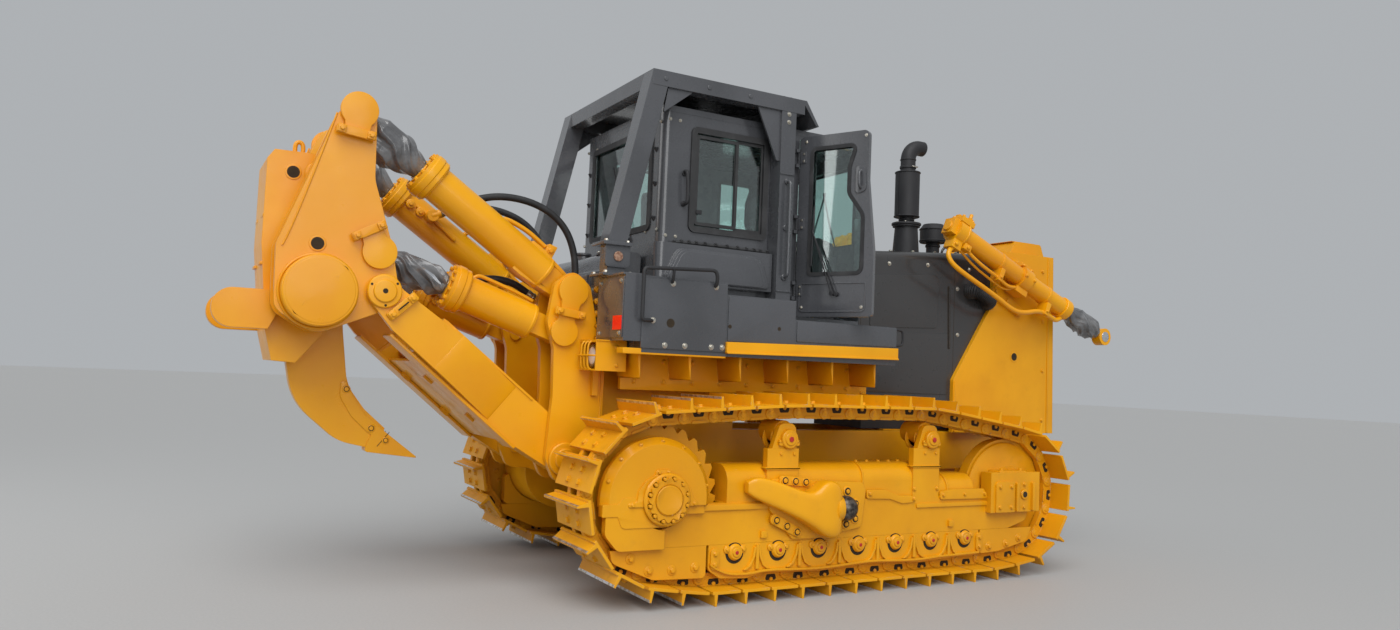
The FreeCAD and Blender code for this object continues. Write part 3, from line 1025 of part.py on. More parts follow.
def hoist_shapes():
    barrel = Part.makeCylinder(s.hoist_radius, s.hoist_rear + s.hoist_front,
                               V(-s.hoist_rear, 0, 0), V(1, 0, 0))
    collar = Part.makeCylinder(s.hoist_radius + 22, 90, V(-s.hoist_rear, 0, 0), V(1, 0, 0))
    mouth = Part.makeCylinder(s.hoist_radius + 10, 60, V(s.hoist_front - 60, 0, 0), V(1, 0, 0))
    ring = Part.makeCylinder(s.hoist_radius + s.hoist_ring, 110, V(-55, 0, 0), V(1, 0, 0))
    pin = Part.makeCylinder(s.yoke_pin, s.hoist_y - s.guard_half - 2, V(0, 0, 0), V(0, 1, 0))
    hole = Part.makeCylinder(s.hoist_rod + s.running_gap, 2000, V(-s.hoist_rear + 60, 0, 0), V(1, 0, 0))
    body = barrel.fuse([collar, mouth, ring, pin]).cut(hole)
    stem = Part.makeCylinder(s.hoist_rod, s.hoist_reach + s.hoist_rear - 100,
                             V(-s.hoist_rear + 100, 0, 0), V(1, 0, 0))
    eye_end = Part.makeCylinder(s.hoist_eye, 2 * s.hoist_eye_half, V(s.hoist_reach, -s.hoist_eye_half, 0),
                                V(0, 1, 0))
    bore = Part.makeCylinder(s.yoke_pin, 300, V(s.hoist_reach, -150, 0), V(0, 1, 0))
    wrap = Part.makeCylinder(s.hoist_rod + 24, s.hoist_reach - s.hoist_front - s.hoist_eye - 8,
                             V(s.hoist_front + 4, 0, 0), V(1, 0, 0))
    wrap = wrap.cut(Part.makeCylinder(s.hoist_rod + s.running_gap, 3000, V(0, 0, 0), V(1, 0, 0)))
    return body, stem.fuse(eye_end).cut(bore), wrap


hoist_at = V(s.hoist_x, -s.hoist_y, s.hoist_z)
for name, shape in zip(("barrel", "rod", "rod_wrap"), hoist_shapes()):
    shape.Placement = FreeCAD.Placement(hoist_at, hoist_turn)
    right = made(shape)
    node(f"hoist_{name}_right", right)
    node(f"hoist_{name}_left", mirrored(right))

bearing = cut(rod("Y", "yoke_radius", "-hoist_y + hoist_radius + hoist_ring + 5",
                  "-guard_half - seat_gap", ("hoist_x", "hoist_z")),
              rod("Y", "yoke_pin + pin_clear", "-hoist_y", "-guard_half + 10", ("hoist_x", "hoist_z")))
both("hoist_yokes", bearing)

doc.recompute()

# Every piece is sound before the whole is moved over its origin and written

for piece in doc.Objects:
    if {"Invalid", "Error"} & set(piece.State):
        raise RuntimeError(f"{piece.Name} ({piece.Label}) failed: {piece.State}")
whole = FreeCAD.BoundBox()
for label, piece in nodes.items():
    if piece.Shape.isNull() or not piece.Shape.isValid():
        raise RuntimeError(f"{label} is not a sound shape")
    whole.add(piece.Shape.BoundBox)
middle = (whole.XMin + whole.XMax) / 2
print("middle of the machine at X", round(middle, 2), "lowest", round(whole.ZMin, 3),
      "size", round(whole.XLength), round(whole.YLength), round(whole.ZLength))
for piece in nodes.values():
    piece.Placement = FreeCAD.Placement(V(-middle, 0, 0), FreeCAD.Rotation())
doc.recompute()

os.makedirs("parts", exist_ok=True)
for label, piece in nodes.items():
    piece.Shape.exportStep(f"parts/{label}.step")
print(len(nodes), "nodes")
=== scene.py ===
import math
import random
import bmesh
import bpy
from mathutils import Matrix, Vector, noise


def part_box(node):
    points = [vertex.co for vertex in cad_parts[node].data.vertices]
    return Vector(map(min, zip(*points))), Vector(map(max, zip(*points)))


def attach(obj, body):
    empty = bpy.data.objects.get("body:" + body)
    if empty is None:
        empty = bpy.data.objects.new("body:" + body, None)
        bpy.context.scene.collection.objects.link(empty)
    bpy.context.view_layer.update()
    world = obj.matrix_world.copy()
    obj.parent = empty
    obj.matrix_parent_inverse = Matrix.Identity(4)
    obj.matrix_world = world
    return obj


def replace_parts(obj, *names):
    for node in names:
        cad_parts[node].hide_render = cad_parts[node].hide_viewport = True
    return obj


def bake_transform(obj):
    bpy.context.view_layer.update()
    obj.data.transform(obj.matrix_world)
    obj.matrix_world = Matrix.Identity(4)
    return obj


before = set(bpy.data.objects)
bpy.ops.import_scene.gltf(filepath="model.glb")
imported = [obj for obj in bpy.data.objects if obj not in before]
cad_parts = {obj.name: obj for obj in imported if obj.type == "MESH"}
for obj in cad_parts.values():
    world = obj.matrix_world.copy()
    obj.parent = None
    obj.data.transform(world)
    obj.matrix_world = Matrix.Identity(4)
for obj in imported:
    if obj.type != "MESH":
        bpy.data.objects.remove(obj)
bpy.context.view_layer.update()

# Camera
# The picture is taken from behind the right-hand track, at chest height, with a wide lens
# and the slight roll of a hand-held shot.
camera_place = Vector((-4.0346, -6.751, 1.484))
camera_yaw, camera_pitch, camera_roll = (math.radians(angle) for angle in (60.50, 3.52, 2.42))
ahead = Vector((math.cos(camera_pitch) * math.cos(camera_yaw),
                math.cos(camera_pitch) * math.sin(camera_yaw), math.sin(camera_pitch)))
level = Vector((math.sin(camera_yaw), -math.cos(camera_yaw), 0))
upright = level.cross(ahead)
picture_right = math.cos(camera_roll) * level + math.sin(camera_roll) * upright
picture_up = math.cos(camera_roll) * upright - math.sin(camera_roll) * level
lens = bpy.data.cameras.new("yard_view")
lens.sensor_width = 36
lens.lens = 36 * 966 / 1400
lens.clip_end = 200
camera = bpy.data.objects.new("yard_view", lens)
view_turn = Matrix((picture_right, picture_up, -ahead)).transposed().to_4x4()
camera.matrix_world = Matrix.Translation(camera_place) @ view_turn
bpy.context.scene.collection.objects.link(camera)
bpy.context.scene.camera = camera

# Hydraulic hoses of the ripper
# Four black rubber hoses with woven covers, crimped into steel ends. Each leaves the port
# of its barrel, rises in a loop and goes back into a fitting behind the tank or on the bracket.
axle_x = sum(corner.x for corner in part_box("sprockets")) / 2
hose_radius = 0.025
hose_plane = sum(corner.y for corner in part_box("tilt_hose_left")) / 2
hose_routes = {
    "tilt": [(-1.130, 2.575), (-0.990, 2.632), (-0.830, 2.660), (-0.650, 2.645), (-0.490, 2.585),
             (-0.370, 2.475), (-0.305, 2.325), (-0.285, 2.165), (-0.285, 2.010)],
    "lift": [(-1.075, 2.040), (-0.950, 2.078), (-0.815, 2.080), (-0.690, 2.040), (-0.590, 1.965)],
}


def spot(x, y, z):
    """A place counted forward of the sprocket axle, left of the middle and up from the ground."""
    return Vector((axle_x + x, y, z))


def shader_step(tree, kind, **inputs):
    """One step of a finish; an input is a plain number or another step's output."""
    step = tree.nodes.new("ShaderNode" + kind)
    for name, value in inputs.items():
        socket = step.inputs[int(name[1:]) if name[1:].isdigit() else name.replace("_", " ")]
        if isinstance(value, bpy.types.NodeSocket):
            tree.links.new(value, socket)
        else:
            socket.default_value = value
    return step


def blend_colours(tree, share, first, second):
    """Mix two colours by a share from 0 to 1; each is a colour or another step's output."""
    mix = tree.nodes.new("ShaderNodeMix")
    mix.data_type = "RGBA"
    for socket, value in ((mix.inputs[0], share), (mix.inputs[6], first), (mix.inputs[7], second)):
        if isinstance(value, bpy.types.NodeSocket):
            tree.links.new(value, socket)
        else:
            socket.default_value = value if socket.name == "Factor" else (*value, 1)
    return mix.outputs[2]


def between(tree, value, low, high):
    """A share that climbs from 0 at low to 1 at high."""
    step = shader_step(tree, "MapRange", Value=value, From_Min=low, From_Max=high)
    step.interpolation_type = "SMOOTHSTEP"
    return step.outputs["Result"]


def new_finish(name, roughness, **plain):
    """A finish with its even values on the shader itself."""
    finish = bpy.data.materials.new(name)
    finish.use_nodes = True
    tree = finish.node_tree
    surface = tree.nodes["Principled BSDF"]
    surface.inputs["Roughness"].default_value = roughness
    for word, value in plain.items():
        surface.inputs[word.replace("_", " ")].default_value = value
    place = tree.nodes.new("ShaderNodeTexCoord").outputs["Object"]
    return finish, tree, surface, place


def rubber_finish(name, colour, ribs):
    """Black rubber with patches of dust and a woven cover."""
    finish, tree, surface, place = new_finish(name, 0.55)
    weave = shader_step(tree, "TexWave", Vector=place, Scale=ribs, Distortion=2.0).outputs["Fac"]
    dust = shader_step(tree, "TexNoise", Vector=place, Scale=6.0, Detail=4.0).outputs["Fac"]
    grey = blend_colours(tree, between(tree, dust, 0.45, 0.8), colour,
                         tuple(c * 2.2 + 0.01 for c in colour))
    tree.links.new(grey, surface.inputs["Base Color"])
    bump = shader_step(tree, "Bump", Strength=0.35, Distance=0.002, Height=weave)
    tree.links.new(bump.outputs["Normal"], surface.inputs["Normal"])
    return finish


def smooth_line(points, order=3):
    """Points along the smooth curve that a run of control points pulls."""
    line = bpy.data.curves.new("line", "CURVE")
    line.dimensions = "3D"
    line.resolution_u = 10
    spline = line.splines.new("NURBS")
    spline.points.add(len(points) - 1)
    for control, point in zip(spline.points, points):
        control.co = (*point, 1)
    spline.order_u = order
    spline.use_endpoint_u = True
    holder = bpy.data.objects.new("line", line)
    bpy.context.scene.collection.objects.link(holder)
    bpy.context.view_layer.update()
    sampled = bpy.data.meshes.new_from_object(holder.evaluated_get(
        bpy.context.evaluated_depsgraph_get()))
    along = [vertex.co.copy() for vertex in sampled.vertices]
    bpy.data.meshes.remove(sampled)
    bpy.data.objects.remove(holder)
    bpy.data.curves.remove(line)
    return along


def add_tube(mesh, line, radius, sides=16, capped=True):
    """A round tube swept along a line of points; radius may change from point to point."""
    radii = radius if isinstance(radius, (list, tuple)) else [radius] * len(line)
    heading = (line[1] - line[0]).normalized()
    side = heading.orthogonal().normalized()
    rings = []
    for k, point in enumerate(line):
        ahead_of = line[min(k + 1, len(line) - 1)] - line[max(k - 1, 0)]
        new_heading = ahead_of.normalized()
        side = (side - new_heading * side.dot(new_heading)).normalized()
        other = new_heading.cross(side)
        turns = [2 * math.pi * j / sides for j in range(sides)]
        rings.append([mesh.verts.new(point + radii[k] * (math.cos(t) * side + math.sin(t) * other))
                      for t in turns])
    for first, second in zip(rings, rings[1:]):
        for j in range(sides):
            mesh.faces.new((first[j], first[(j + 1) % sides], second[(j + 1) % sides], second[j]))
    if capped:
        mesh.faces.new(rings[0][::-1])
        mesh.faces.new(rings[-1])


def add_bar(mesh, start, end, radius, sides=24, chamfer=0.0, end_radius=None):
    """A round bar with chamfered ends; six sides make it a hexagon."""
    end_radius = radius if end_radius is None else end_radius
    reach = (end - start).normalized()
    line, radii = [start, end], [radius, end_radius]
    if chamfer:
        line = [start, start + reach * chamfer, end - reach * chamfer, end]
        radii = [radius - chamfer, radius, end_radius, end_radius - chamfer]
    add_tube(mesh, line, radii, sides)


def finish_piece(mesh, name, finish, body, edge=0.0, both=False, sharp=35):
    """Turn a drawn mesh into a piece with soft edges that rides on a body of the machine."""
    if both:
        copied = bmesh.ops.duplicate(mesh, geom=mesh.verts[:] + mesh.edges[:] + mesh.faces[:])["geom"]
        for item in copied:
            if isinstance(item, bmesh.types.BMVert):
                item.co.y = -item.co.y
        bmesh.ops.reverse_faces(mesh, faces=[f for f in copied if isinstance(f, bmesh.types.BMFace)])
    if edge:
        corners = [e for e in mesh.edges if e.is_manifold and e.calc_face_angle(0) > math.radians(40)]
        bmesh.ops.bevel(mesh, geom=corners, offset=edge, segments=2, profile=0.7, affect="EDGES",
                        clamp_overlap=True)
    for face in mesh.faces:
        face.smooth = True
    for rim in mesh.edges:
        rim.smooth = not rim.is_manifold or rim.calc_face_angle(0) < math.radians(sharp)
    shape = bpy.data.meshes.new(name)
    mesh.to_mesh(shape)
    mesh.free()
    shape.materials.append(finish)
    piece = bpy.data.objects.new(name, shape)
    bpy.context.scene.collection.objects.link(piece)
    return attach(piece, body) if body else piece


hose_rubber = rubber_finish("hose_rubber", (0.012, 0.012, 0.013), 60.0)
crimp_steel, tree, surface, place = new_finish("crimped_steel", 0.35, Metallic=0.9)
surface.inputs["Base Color"].default_value = (0.32, 0.29, 0.22, 1)
for name, route in hose_routes.items():
    for side, y in (("right", -hose_plane), ("left", hose_plane)):
        line = smooth_line([spot(x, y, z) for x, z in route])
        long = sum((b - a).length for a, b in zip(line, line[1:]))
        drawn = bmesh.new()
        add_tube(drawn, line, hose_radius, 20)
        hose = finish_piece(drawn, f"{name}_hose_{side}_rubber", hose_rubber, None)
        drawn = bmesh.new()
        for end, after in ((line[0], line[1]), (line[-1], line[-2])):
            heading = (after - end).normalized()
            add_bar(drawn, end, end + heading * 0.065, hose_radius + 0.004, 20, 0.003)
            add_bar(drawn, end + heading * 0.004, end + heading * 0.022, hose_radius + 0.009, 6, 0.002)
        crimps = finish_piece(drawn, f"{name}_hose_{side}_crimps", crimp_steel, None)
        for piece in (hose, crimps):
            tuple(line[-2])
            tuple(line[1])
            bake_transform(piece)
        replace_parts(hose, f"{name}_hose_{side}")
        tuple(line[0])

# Floor and light
# A pale plain floor under soft even daylight from above and from the right, with two large
# soft lamps that put a gloss on the paint of the right-hand side and the back.
floor_material, tree, surface, place = new_finish("pale_floor", 0.6, Specular_IOR_Level=0.3)
grain = shader_step(tree, "TexNoise", Vector=place, Scale=60.0, Detail=3.0).outputs["Fac"]
tree.links.new(blend_colours(tree, between(tree, grain, 0.3, 0.7), (0.375, 0.375, 0.37), (0.395, 0.395, 0.39)),
               surface.inputs["Base Color"])
bpy.ops.mesh.primitive_plane_add(size=160)
floor = bpy.context.object
floor.name = "floor"
floor.data.materials.append(floor_material)

world = bpy.data.worlds.new("soft_sky")
bpy.context.scene.world = world
world.use_nodes = True
sky = world.node_tree.nodes["Background"]
sky.inputs["Color"].default_value = (0.92, 0.96, 1.0, 1)
sky.inputs["Strength"].default_value = 0.46
bpy.context.scene.view_settings.view_transform = "Standard"
day = bpy.data.lights.new("day_light", "SUN")
day.energy = 2.3
day.angle = math.radians(50)
day_lamp = bpy.data.objects.new("day_light", day)
day_lamp.rotation_euler = (Vector((0, 0, 0)) - Vector((-3.0, -5.0, 7.5))).to_track_quat("-Z", "Y").to_euler()
bpy.context.scene.collection.objects.link(day_lamp)
for name, place, size, power in (("gate_light", (-10.0, 2.0, 5.0), 5.0, 150),
                                 ("side_light", (-3.0, -11.0, 5.0), 6.0, 300)):
    glow = bpy.data.lights.new(name, "AREA")
    glow.size = size
    glow.energy = power
    lamp = bpy.data.objects.new(name, glow)
    lamp.location = place
    lamp.rotation_euler = (Vector((0, 0, 1.4)) - Vector(place)).to_track_quat("-Z", "Y").to_euler()
    bpy.context.scene.collection.objects.link(lamp)

# Tracks
# Two endless chains of forged links on pins, with one rolled steel shoe and its tall lug
# bolted on each pair of links by four bolts. Sprayed yellow after assembly; the lug edges
# are already rubbed down to bare steel.
track_middle = 1.070
link_pitch = 0.2286
chain_wheels = {"sprocket": (Vector((0, 0.68563)), 0.49563), "idler": (Vector((3.169, 0.637)), 0.465)}
ground_run = (Vector((0.330, 0.142)), Vector((2.860, 0.142)))
top_run = (Vector((0.965, 1.24326)), Vector((2.275, 1.24326)))


def reckon(tree, sum_kind, first, second):
    """A sum of two numbers; each is a plain number or another step's output."""
    step = shader_step(tree, "Math", _0=first, _1=second)
    step.operation = sum_kind
    return step.outputs[0]


def paint_finish(name, colour, shade, wear_and_highlight_colour, roughness, wear_and_highlight_amount, grime, coat=0.12):
    """Sprayed paint: uneven colour, orange-peel skin, dark specks of dirt, darker towards the bottom, and soft corners
    lightened partly by wear and partly as a painted highlight.
    """
    finish, tree, surface, place = new_finish(name, roughness, Coat_Weight=coat, Coat_Roughness=0.12,
                                              Specular_IOR_Level=0.32)
    drift = shader_step(tree, "TexNoise", Vector=place, Scale=1.4, Detail=4.0).outputs["Fac"]
    tone = blend_colours(tree, between(tree, drift, 0.35, 0.68), colour, shade)
    speck = shader_step(tree, "TexNoise", Vector=place, Scale=9.0, Detail=8.0, Roughness=0.7).outputs["Fac"]
    height = shader_step(tree, "SeparateXYZ", Vector=place).outputs["Z"]
    # Darker towards the bottom, from 1.6 m down to the ground.
    low_down = between(tree, height, 1.6, 0.0)
    dirt_and_low_darkening = reckon(tree, "ADD", reckon(tree, "MULTIPLY", between(tree, speck, 0.52, 0.80), grime),
                   reckon(tree, "MULTIPLY", low_down, 0.12))
    tone = blend_colours(tree, dirt_and_low_darkening, tone, tuple(0.30 * c + 0.02 for c in colour))
    corner = shader_step(tree, "Bevel", Radius=0.006)
    corner.samples = 4
    flat = tree.nodes.new("ShaderNodeNewGeometry").outputs["Normal"]
    turn = tree.nodes.new("ShaderNodeVectorMath")
    turn.operation = "DOT_PRODUCT"
    tree.links.new(corner.outputs["Normal"], turn.inputs[0])
    tree.links.new(flat, turn.inputs[1])
    # Corners are lightened: partly wear, partly a painted highlight.
    edge_wear_and_highlight = reckon(tree, "MULTIPLY", between(tree, turn.outputs["Value"], 0.985, 0.80),
                    between(tree, speck, 0.62 - wear_and_highlight_amount, 0.80 - wear_and_highlight_amount))
    tone = blend_colours(tree, edge_wear_and_highlight, tone, wear_and_highlight_colour)
    tree.links.new(tone, surface.inputs["Base Color"])
    gloss = shader_step(tree, "MapRange", Value=speck, From_Min=0.3, From_Max=0.8,
                        To_Min=roughness - 0.07, To_Max=roughness + 0.16).outputs["Result"]
    tree.links.new(gloss, surface.inputs["Roughness"])
    swell = shader_step(tree, "TexNoise", Vector=place, Scale=2.6, Detail=1.0).outputs["Fac"]
    pressed = shader_step(tree, "Bump", Strength=0.12, Distance=0.05, Height=swell,
                          Normal=corner.outputs["Normal"])
    peel = shader_step(tree, "TexNoise", Vector=place, Scale=160.0, Detail=2.0).outputs["Fac"]
    skin = shader_step(tree, "Bump", Strength=0.06, Distance=0.002, Height=peel, Normal=pressed.outputs["Normal"])
    tree.links.new(skin.outputs["Normal"], surface.inputs["Normal"])
    return finish


def dress(finish, *nodes):
    """Give solids that are already right their finish."""
    for node in nodes:
        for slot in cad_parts[node].material_slots:
            slot.material = finish


def touching(first, second, side):
    """Ends of the straight run that touches two wheels, below with -1 and above with 1."""
    across = second[0] - first[0]
    turn = math.atan2(across.y, across.x) + side * (
        math.pi / 2 - math.asin((first[1] - second[1]) / across.length))
    normal = Vector((math.cos(turn), math.sin(turn)))
    return first[0] + normal * first[1], second[0] + normal * second[1]


def round_wheel(wheel, start, end):
    """Points round a wheel, going the same way round as the chain."""
    first, last = (math.atan2(*(point - wheel[0]).yx) for point in (start, end))
    last += 2 * math.pi if last < first else 0
    return [wheel[0] + wheel[1] * Vector((math.cos(first + (last - first) * k / 60),
                                          math.sin(first + (last - first) * k / 60)))
            for k in range(61)]


sprocket, idler = chain_wheels["sprocket"], chain_wheels["idler"]
loop = list(ground_run) + round_wheel(idler, touching((ground_run[1], 0), idler, -1)[1],
                                      touching((top_run[1], 0), idler, 1)[1])
loop += list(top_run[::-1]) + round_wheel(sprocket, touching(sprocket, (top_run[0], 0), 1)[0],
                                          touching(sprocket, (ground_run[0], 0), -1)[0])
loop.append(ground_run[0])
chain_length = sum((b - a).length for a, b in zip(loop, loop[1:]))
link_count = round(chain_length / link_pitch)


def along_chain(distance):
    """The place on the pin line at a distance from the first pin."""
    for start, end in zip(loop, loop[1:]):
        if distance <= (end - start).length:
            return start + (end - start).normalized() * distance
        distance -= (end - start).length
    return loop[0]


chain_pins = [along_chain(chain_length * k / link_count) for k in range(link_count)]


def rounded_outline(corners):
    """Corners (a, b) or (a, b, radius) as the points of an outline with round corners."""
    points = []
    for k, corner in enumerate(corners):
        here = Vector(corner[:2])
        if len(corner) < 3:
            points.append(here)
            continue
        back = (Vector(corners[k - 1][:2]) - here).normalized()
        onward = (Vector(corners[(k + 1) % len(corners)][:2]) - here).normalized()
        half = back.angle(onward) / 2
        reach = corner[2] / math.tan(half)
        start, end = here + back * reach, here + onward * reach
        middle = here + (back + onward).normalized() * corner[2] / math.sin(half)
        first, last = (start - middle), (end - middle)
        for step in range(7):
            mixed = first.lerp(last, step / 6)
            points.append(middle + mixed.normalized() * corner[2])
    return points


plate_places = {"X": lambda a, b, c: spot(c, a, b), "Y": lambda a, b, c: spot(a, c, b), "Z": spot}


def add_plate(mesh, corners, low, high, across="Y"):
    """A plate cut to an outline; across names the direction of its thickness."""
    places = plate_places[across]
    outline = rounded_outline(corners)
    near = [mesh.verts.new(places(a, b, low)) for a, b in outline]
    far = [mesh.verts.new(places(a, b, high)) for a, b in outline]
    for k in range(len(outline)):
        after = (k + 1) % len(outline)
        mesh.faces.new((near[k], near[after], far[after], far[k]))
    ends = [mesh.faces.new(near[::-1]), mesh.faces.new(far)]
    bmesh.ops.recalc_face_normals(mesh, faces=list({f for v in near + far for f in v.link_faces}))
    return ends


def add_bolt(mesh, place, out, radius=0.014, height=0.014, washer=True):
    """A hexagon bolt head on its washer, standing out of a face."""
    if washer:
        add_bar(mesh, place - out * 0.001, place + out * 0.003, radius * 1.45, 14, 0.001)
    add_bar(mesh, place - out * 0.001, place + out * (0.003 + height), radius, 6, radius * 0.16)


yellow_colour, yellow_shade = (0.80, 0.362, 0.002), (0.70, 0.295, 0.001)
yellow_paint = paint_finish("yellow_paint", yellow_colour, yellow_shade, (0.86, 0.46, 0.05), 0.36, 0.02, 0.10)
track_yellow = paint_finish("track_yellow", yellow_colour, yellow_shade, (0.42, 0.40, 0.37), 0.46, 0.12, 0.30, 0.0)
# Painted shade: a dark brown that stands in for the shade inside holes, slots, gaps and recesses, mottled at random.
painted_hole_shade, tree, surface, place = new_finish("painted_hole_shade", 0.9)
shade_mottle = shader_step(tree, "TexNoise", Vector=place, Scale=20.0, Detail=3.0).outputs["Fac"]
tree.links.new(blend_colours(tree, shade_mottle, (0.012, 0.008, 0.004), (0.045, 0.026, 0.008)),
               surface.inputs["Base Color"])
bare_steel, tree, surface, place = new_finish("bare_steel", 0.36, Metallic=0.85)
rub = shader_step(tree, "TexNoise", Vector=place, Scale=26.0, Detail=6.0).outputs["Fac"]
tree.links.new(blend_colours(tree, between(tree, rub, 0.42, 0.62), (0.72, 0.72, 0.74), (0.50, 0.42, 0.30)),
               surface.inputs["Base Color"])
dress(track_yellow, "track_right", "track_left")
bolts, bosses, hollows, bare = (bmesh.new() for _ in range(4))
for k, pin in enumerate(chain_pins):
    after = chain_pins[(k + 1) % link_count]
    along = (after - pin).normalized()
    out = Vector((along.y, -along.x))
    middle = (pin + after) / 2
    outward = Vector((out.x, 0, out.y))
    for row in (-0.022, 0.060):
        for across in (-0.085, 0.085):
            foot = middle + along * row + out * 0.068
            add_bolt(bolts, spot(foot.x, across - track_middle, foot.y), outward, 0.0195, 0.015)
    if middle.x < 0.30 and middle.y > 0.15:
        edge = [middle + along * a + out * b for a, b in ((-0.0890, 0.1260), (-0.0882, 0.1418), (-0.0718, 0.1418),
                                                          (-0.0710, 0.1260))]
        add_plate(bare, [tuple(p) for p in edge], -track_middle - 0.2795, -track_middle + 0.2795)
    for side in (-1, 1):
        face = -track_middle + side * 0.099
        beside = Vector((0, side, 0))
        add_bar(bosses, spot(pin.x, face - side * 0.004, pin.y), spot(pin.x, face + side * 0.010, pin.y),
                0.042, 24, 0.004)
        add_bar(bosses, spot(pin.x, face, pin.y), spot(pin.x, face + side * 0.014, pin.y), 0.022, 18, 0.003)
        # Painted shade: a dark plate in each link window stands in for the shade inside the opening.
        eye = [middle + along * a + out * b for a, b in ((-0.036, 0.004), (-0.046, 0.044), (0.046, 0.044), (0.036, 0.004))]
        add_plate(hollows, [(*corner, 0.012) for corner in eye], *sorted((face - side * 0.002, face + side * 0.0012)))
        nut = middle + out * 0.036
        add_bar(bosses, spot(nut.x, face, nut.y), spot(nut.x, face + side * 0.010, nut.y), 0.015, 6, 0.002)
        brace = [middle + along * a + out * b for a, b in ((-0.060, -0.040), (-0.050, -0.020), (0.050, -0.020), (0.060, -0.040))]
        add_plate(bosses, [(*corner, 0.006) for corner in brace], *sorted((face, face + side * 0.006)))
finish_piece(bolts, "shoe_bolts", track_yellow, "machine", both=True)
finish_piece(bosses, "link_bosses", track_yellow, "machine", both=True)
finish_piece(bare, "worn_lug_edges", bare_steel, "machine", both=True)
finish_piece(hollows, "link_window_shade", painted_hole_shade, "machine", both=True)

# Sprockets, idlers and rollers
# Cast steel wheels that carry the chain: a toothed rim in nine bolted segments behind, a wide
# dished idler in front, seven rollers below and two above. Red plugs close their oil holes.
dish_profile = [(0.400, 0.0455), (0.395, 0.058), (0.360, 0.072), (0.260, 0.090), (0.215, 0.100), (0.210, 0.111)]
red_plug, tree, surface, place = new_finish("red_plug", 0.45)
fade = shader_step(tree, "TexNoise", Vector=place, Scale=30.0).outputs["Fac"]
tree.links.new(blend_colours(tree, fade, (0.35, 0.012, 0.008), (0.50, 0.03, 0.02)), surface.inputs["Base Color"])
wheel_yellow = paint_finish("wheel_yellow", yellow_colour, yellow_shade, (0.50, 0.40, 0.25), 0.42, 0.06, 0.22)
dress(wheel_yellow, "sprockets", "idlers", "track_rollers", "carrier_rollers")
drawn = bmesh.new()
for side in (-1, 1):
    line = [spot(3.169, -track_middle + side * reach, 0.637) for radius, reach in dish_profile]
    add_tube(drawn, line, [radius for radius, reach in dish_profile], 72)
    for k in range(27):
        turn = 2 * math.pi * (k + 0.5) / 27
        foot = spot(0.36 * math.sin(turn), -track_middle + side * 0.027, 0.68563 + 0.36 * math.cos(turn))
        add_bolt(drawn, foot, Vector((0, side, 0)), 0.015, 0.012)
finish_piece(drawn, "idler_dishes_and_sprocket_bolts", wheel_yellow, "machine", both=True)
caps, plugs, gaps = bmesh.new(), bmesh.new(), bmesh.new()
out = Vector((0, -1, 0))
for k in range(7):
    x, z, face = 0.560 + 2.080 / 6 * k, 0.318, -1.2352
    # Painted shadow: a dark disc behind each roller cap, set a little low.
    add_bar(gaps, spot(x, face + 0.004, z - 0.008), spot(x, face - 0.001, z - 0.008), 0.070, 28)
    add_bar(caps, spot(x, face, z), spot(x, face - 0.026, z), 0.056, 28, 0.006, 0.050)
    add_bar(caps, spot(x, face - 0.024, z), spot(x, face - 0.034, z), 0.030, 24, 0.003)
    for step in (-0.062, 0.062):
        add_bar(caps, spot(x + step, face, z + 0.018), spot(x + step, face - 0.012, z + 0.018), 0.026, 16, 0.003)
        add_bolt(caps, spot(x + step, face - 0.010, z + 0.018), out, 0.013, 0.010)
    add_bar(plugs, spot(x, face - 0.032, z), spot(x, face - 0.038, z), 0.013, 12, 0.002)
for x in (0.965, 2.275):
    add_bar(caps, spot(x, -1.229, 1.066), spot(x, -1.262, 1.066), 0.066, 36, 0.006)
    add_bar(caps, spot(x, -1.258, 1.066), spot(x, -1.270, 1.066), 0.044, 28, 0.004)
    add_bar(plugs, spot(x, -1.268, 1.066), spot(x, -1.277, 1.066), 0.020, 6, 0.002)
    add_plate(caps, [(x - 0.085, 1.020, 0.01), (x - 0.085, 1.044, 0.01), (x + 0.085, 1.044, 0.01), (x + 0.085, 1.020, 0.01)],
              -1.250, -1.229)
    for step in (-0.074, 0.074):
        add_bolt(caps, spot(x + step, -1.238, 1.044), Vector((0, 0, 1)), 0.012, 0.014)
    for step in (-0.058, 0.050):
        add_bolt(caps, spot(x + step, -1.2315, 0.965), out, 0.012, 0.010)
    for reach in (0.030, -0.072):
        for radius in (0.066, 0.094):
            add_bar(caps, spot(x, -1.070 + reach, 1.066), spot(x, -1.070 + reach - 0.014, 1.066), radius, 36, 0.003)
finish_piece(caps, "roller_caps", wheel_yellow, "machine", both=True)
finish_piece(plugs, "oil_plugs", red_plug, "machine", both=True)
finish_piece(gaps, "roller_shadows", painted_hole_shade, "machine", both=True)

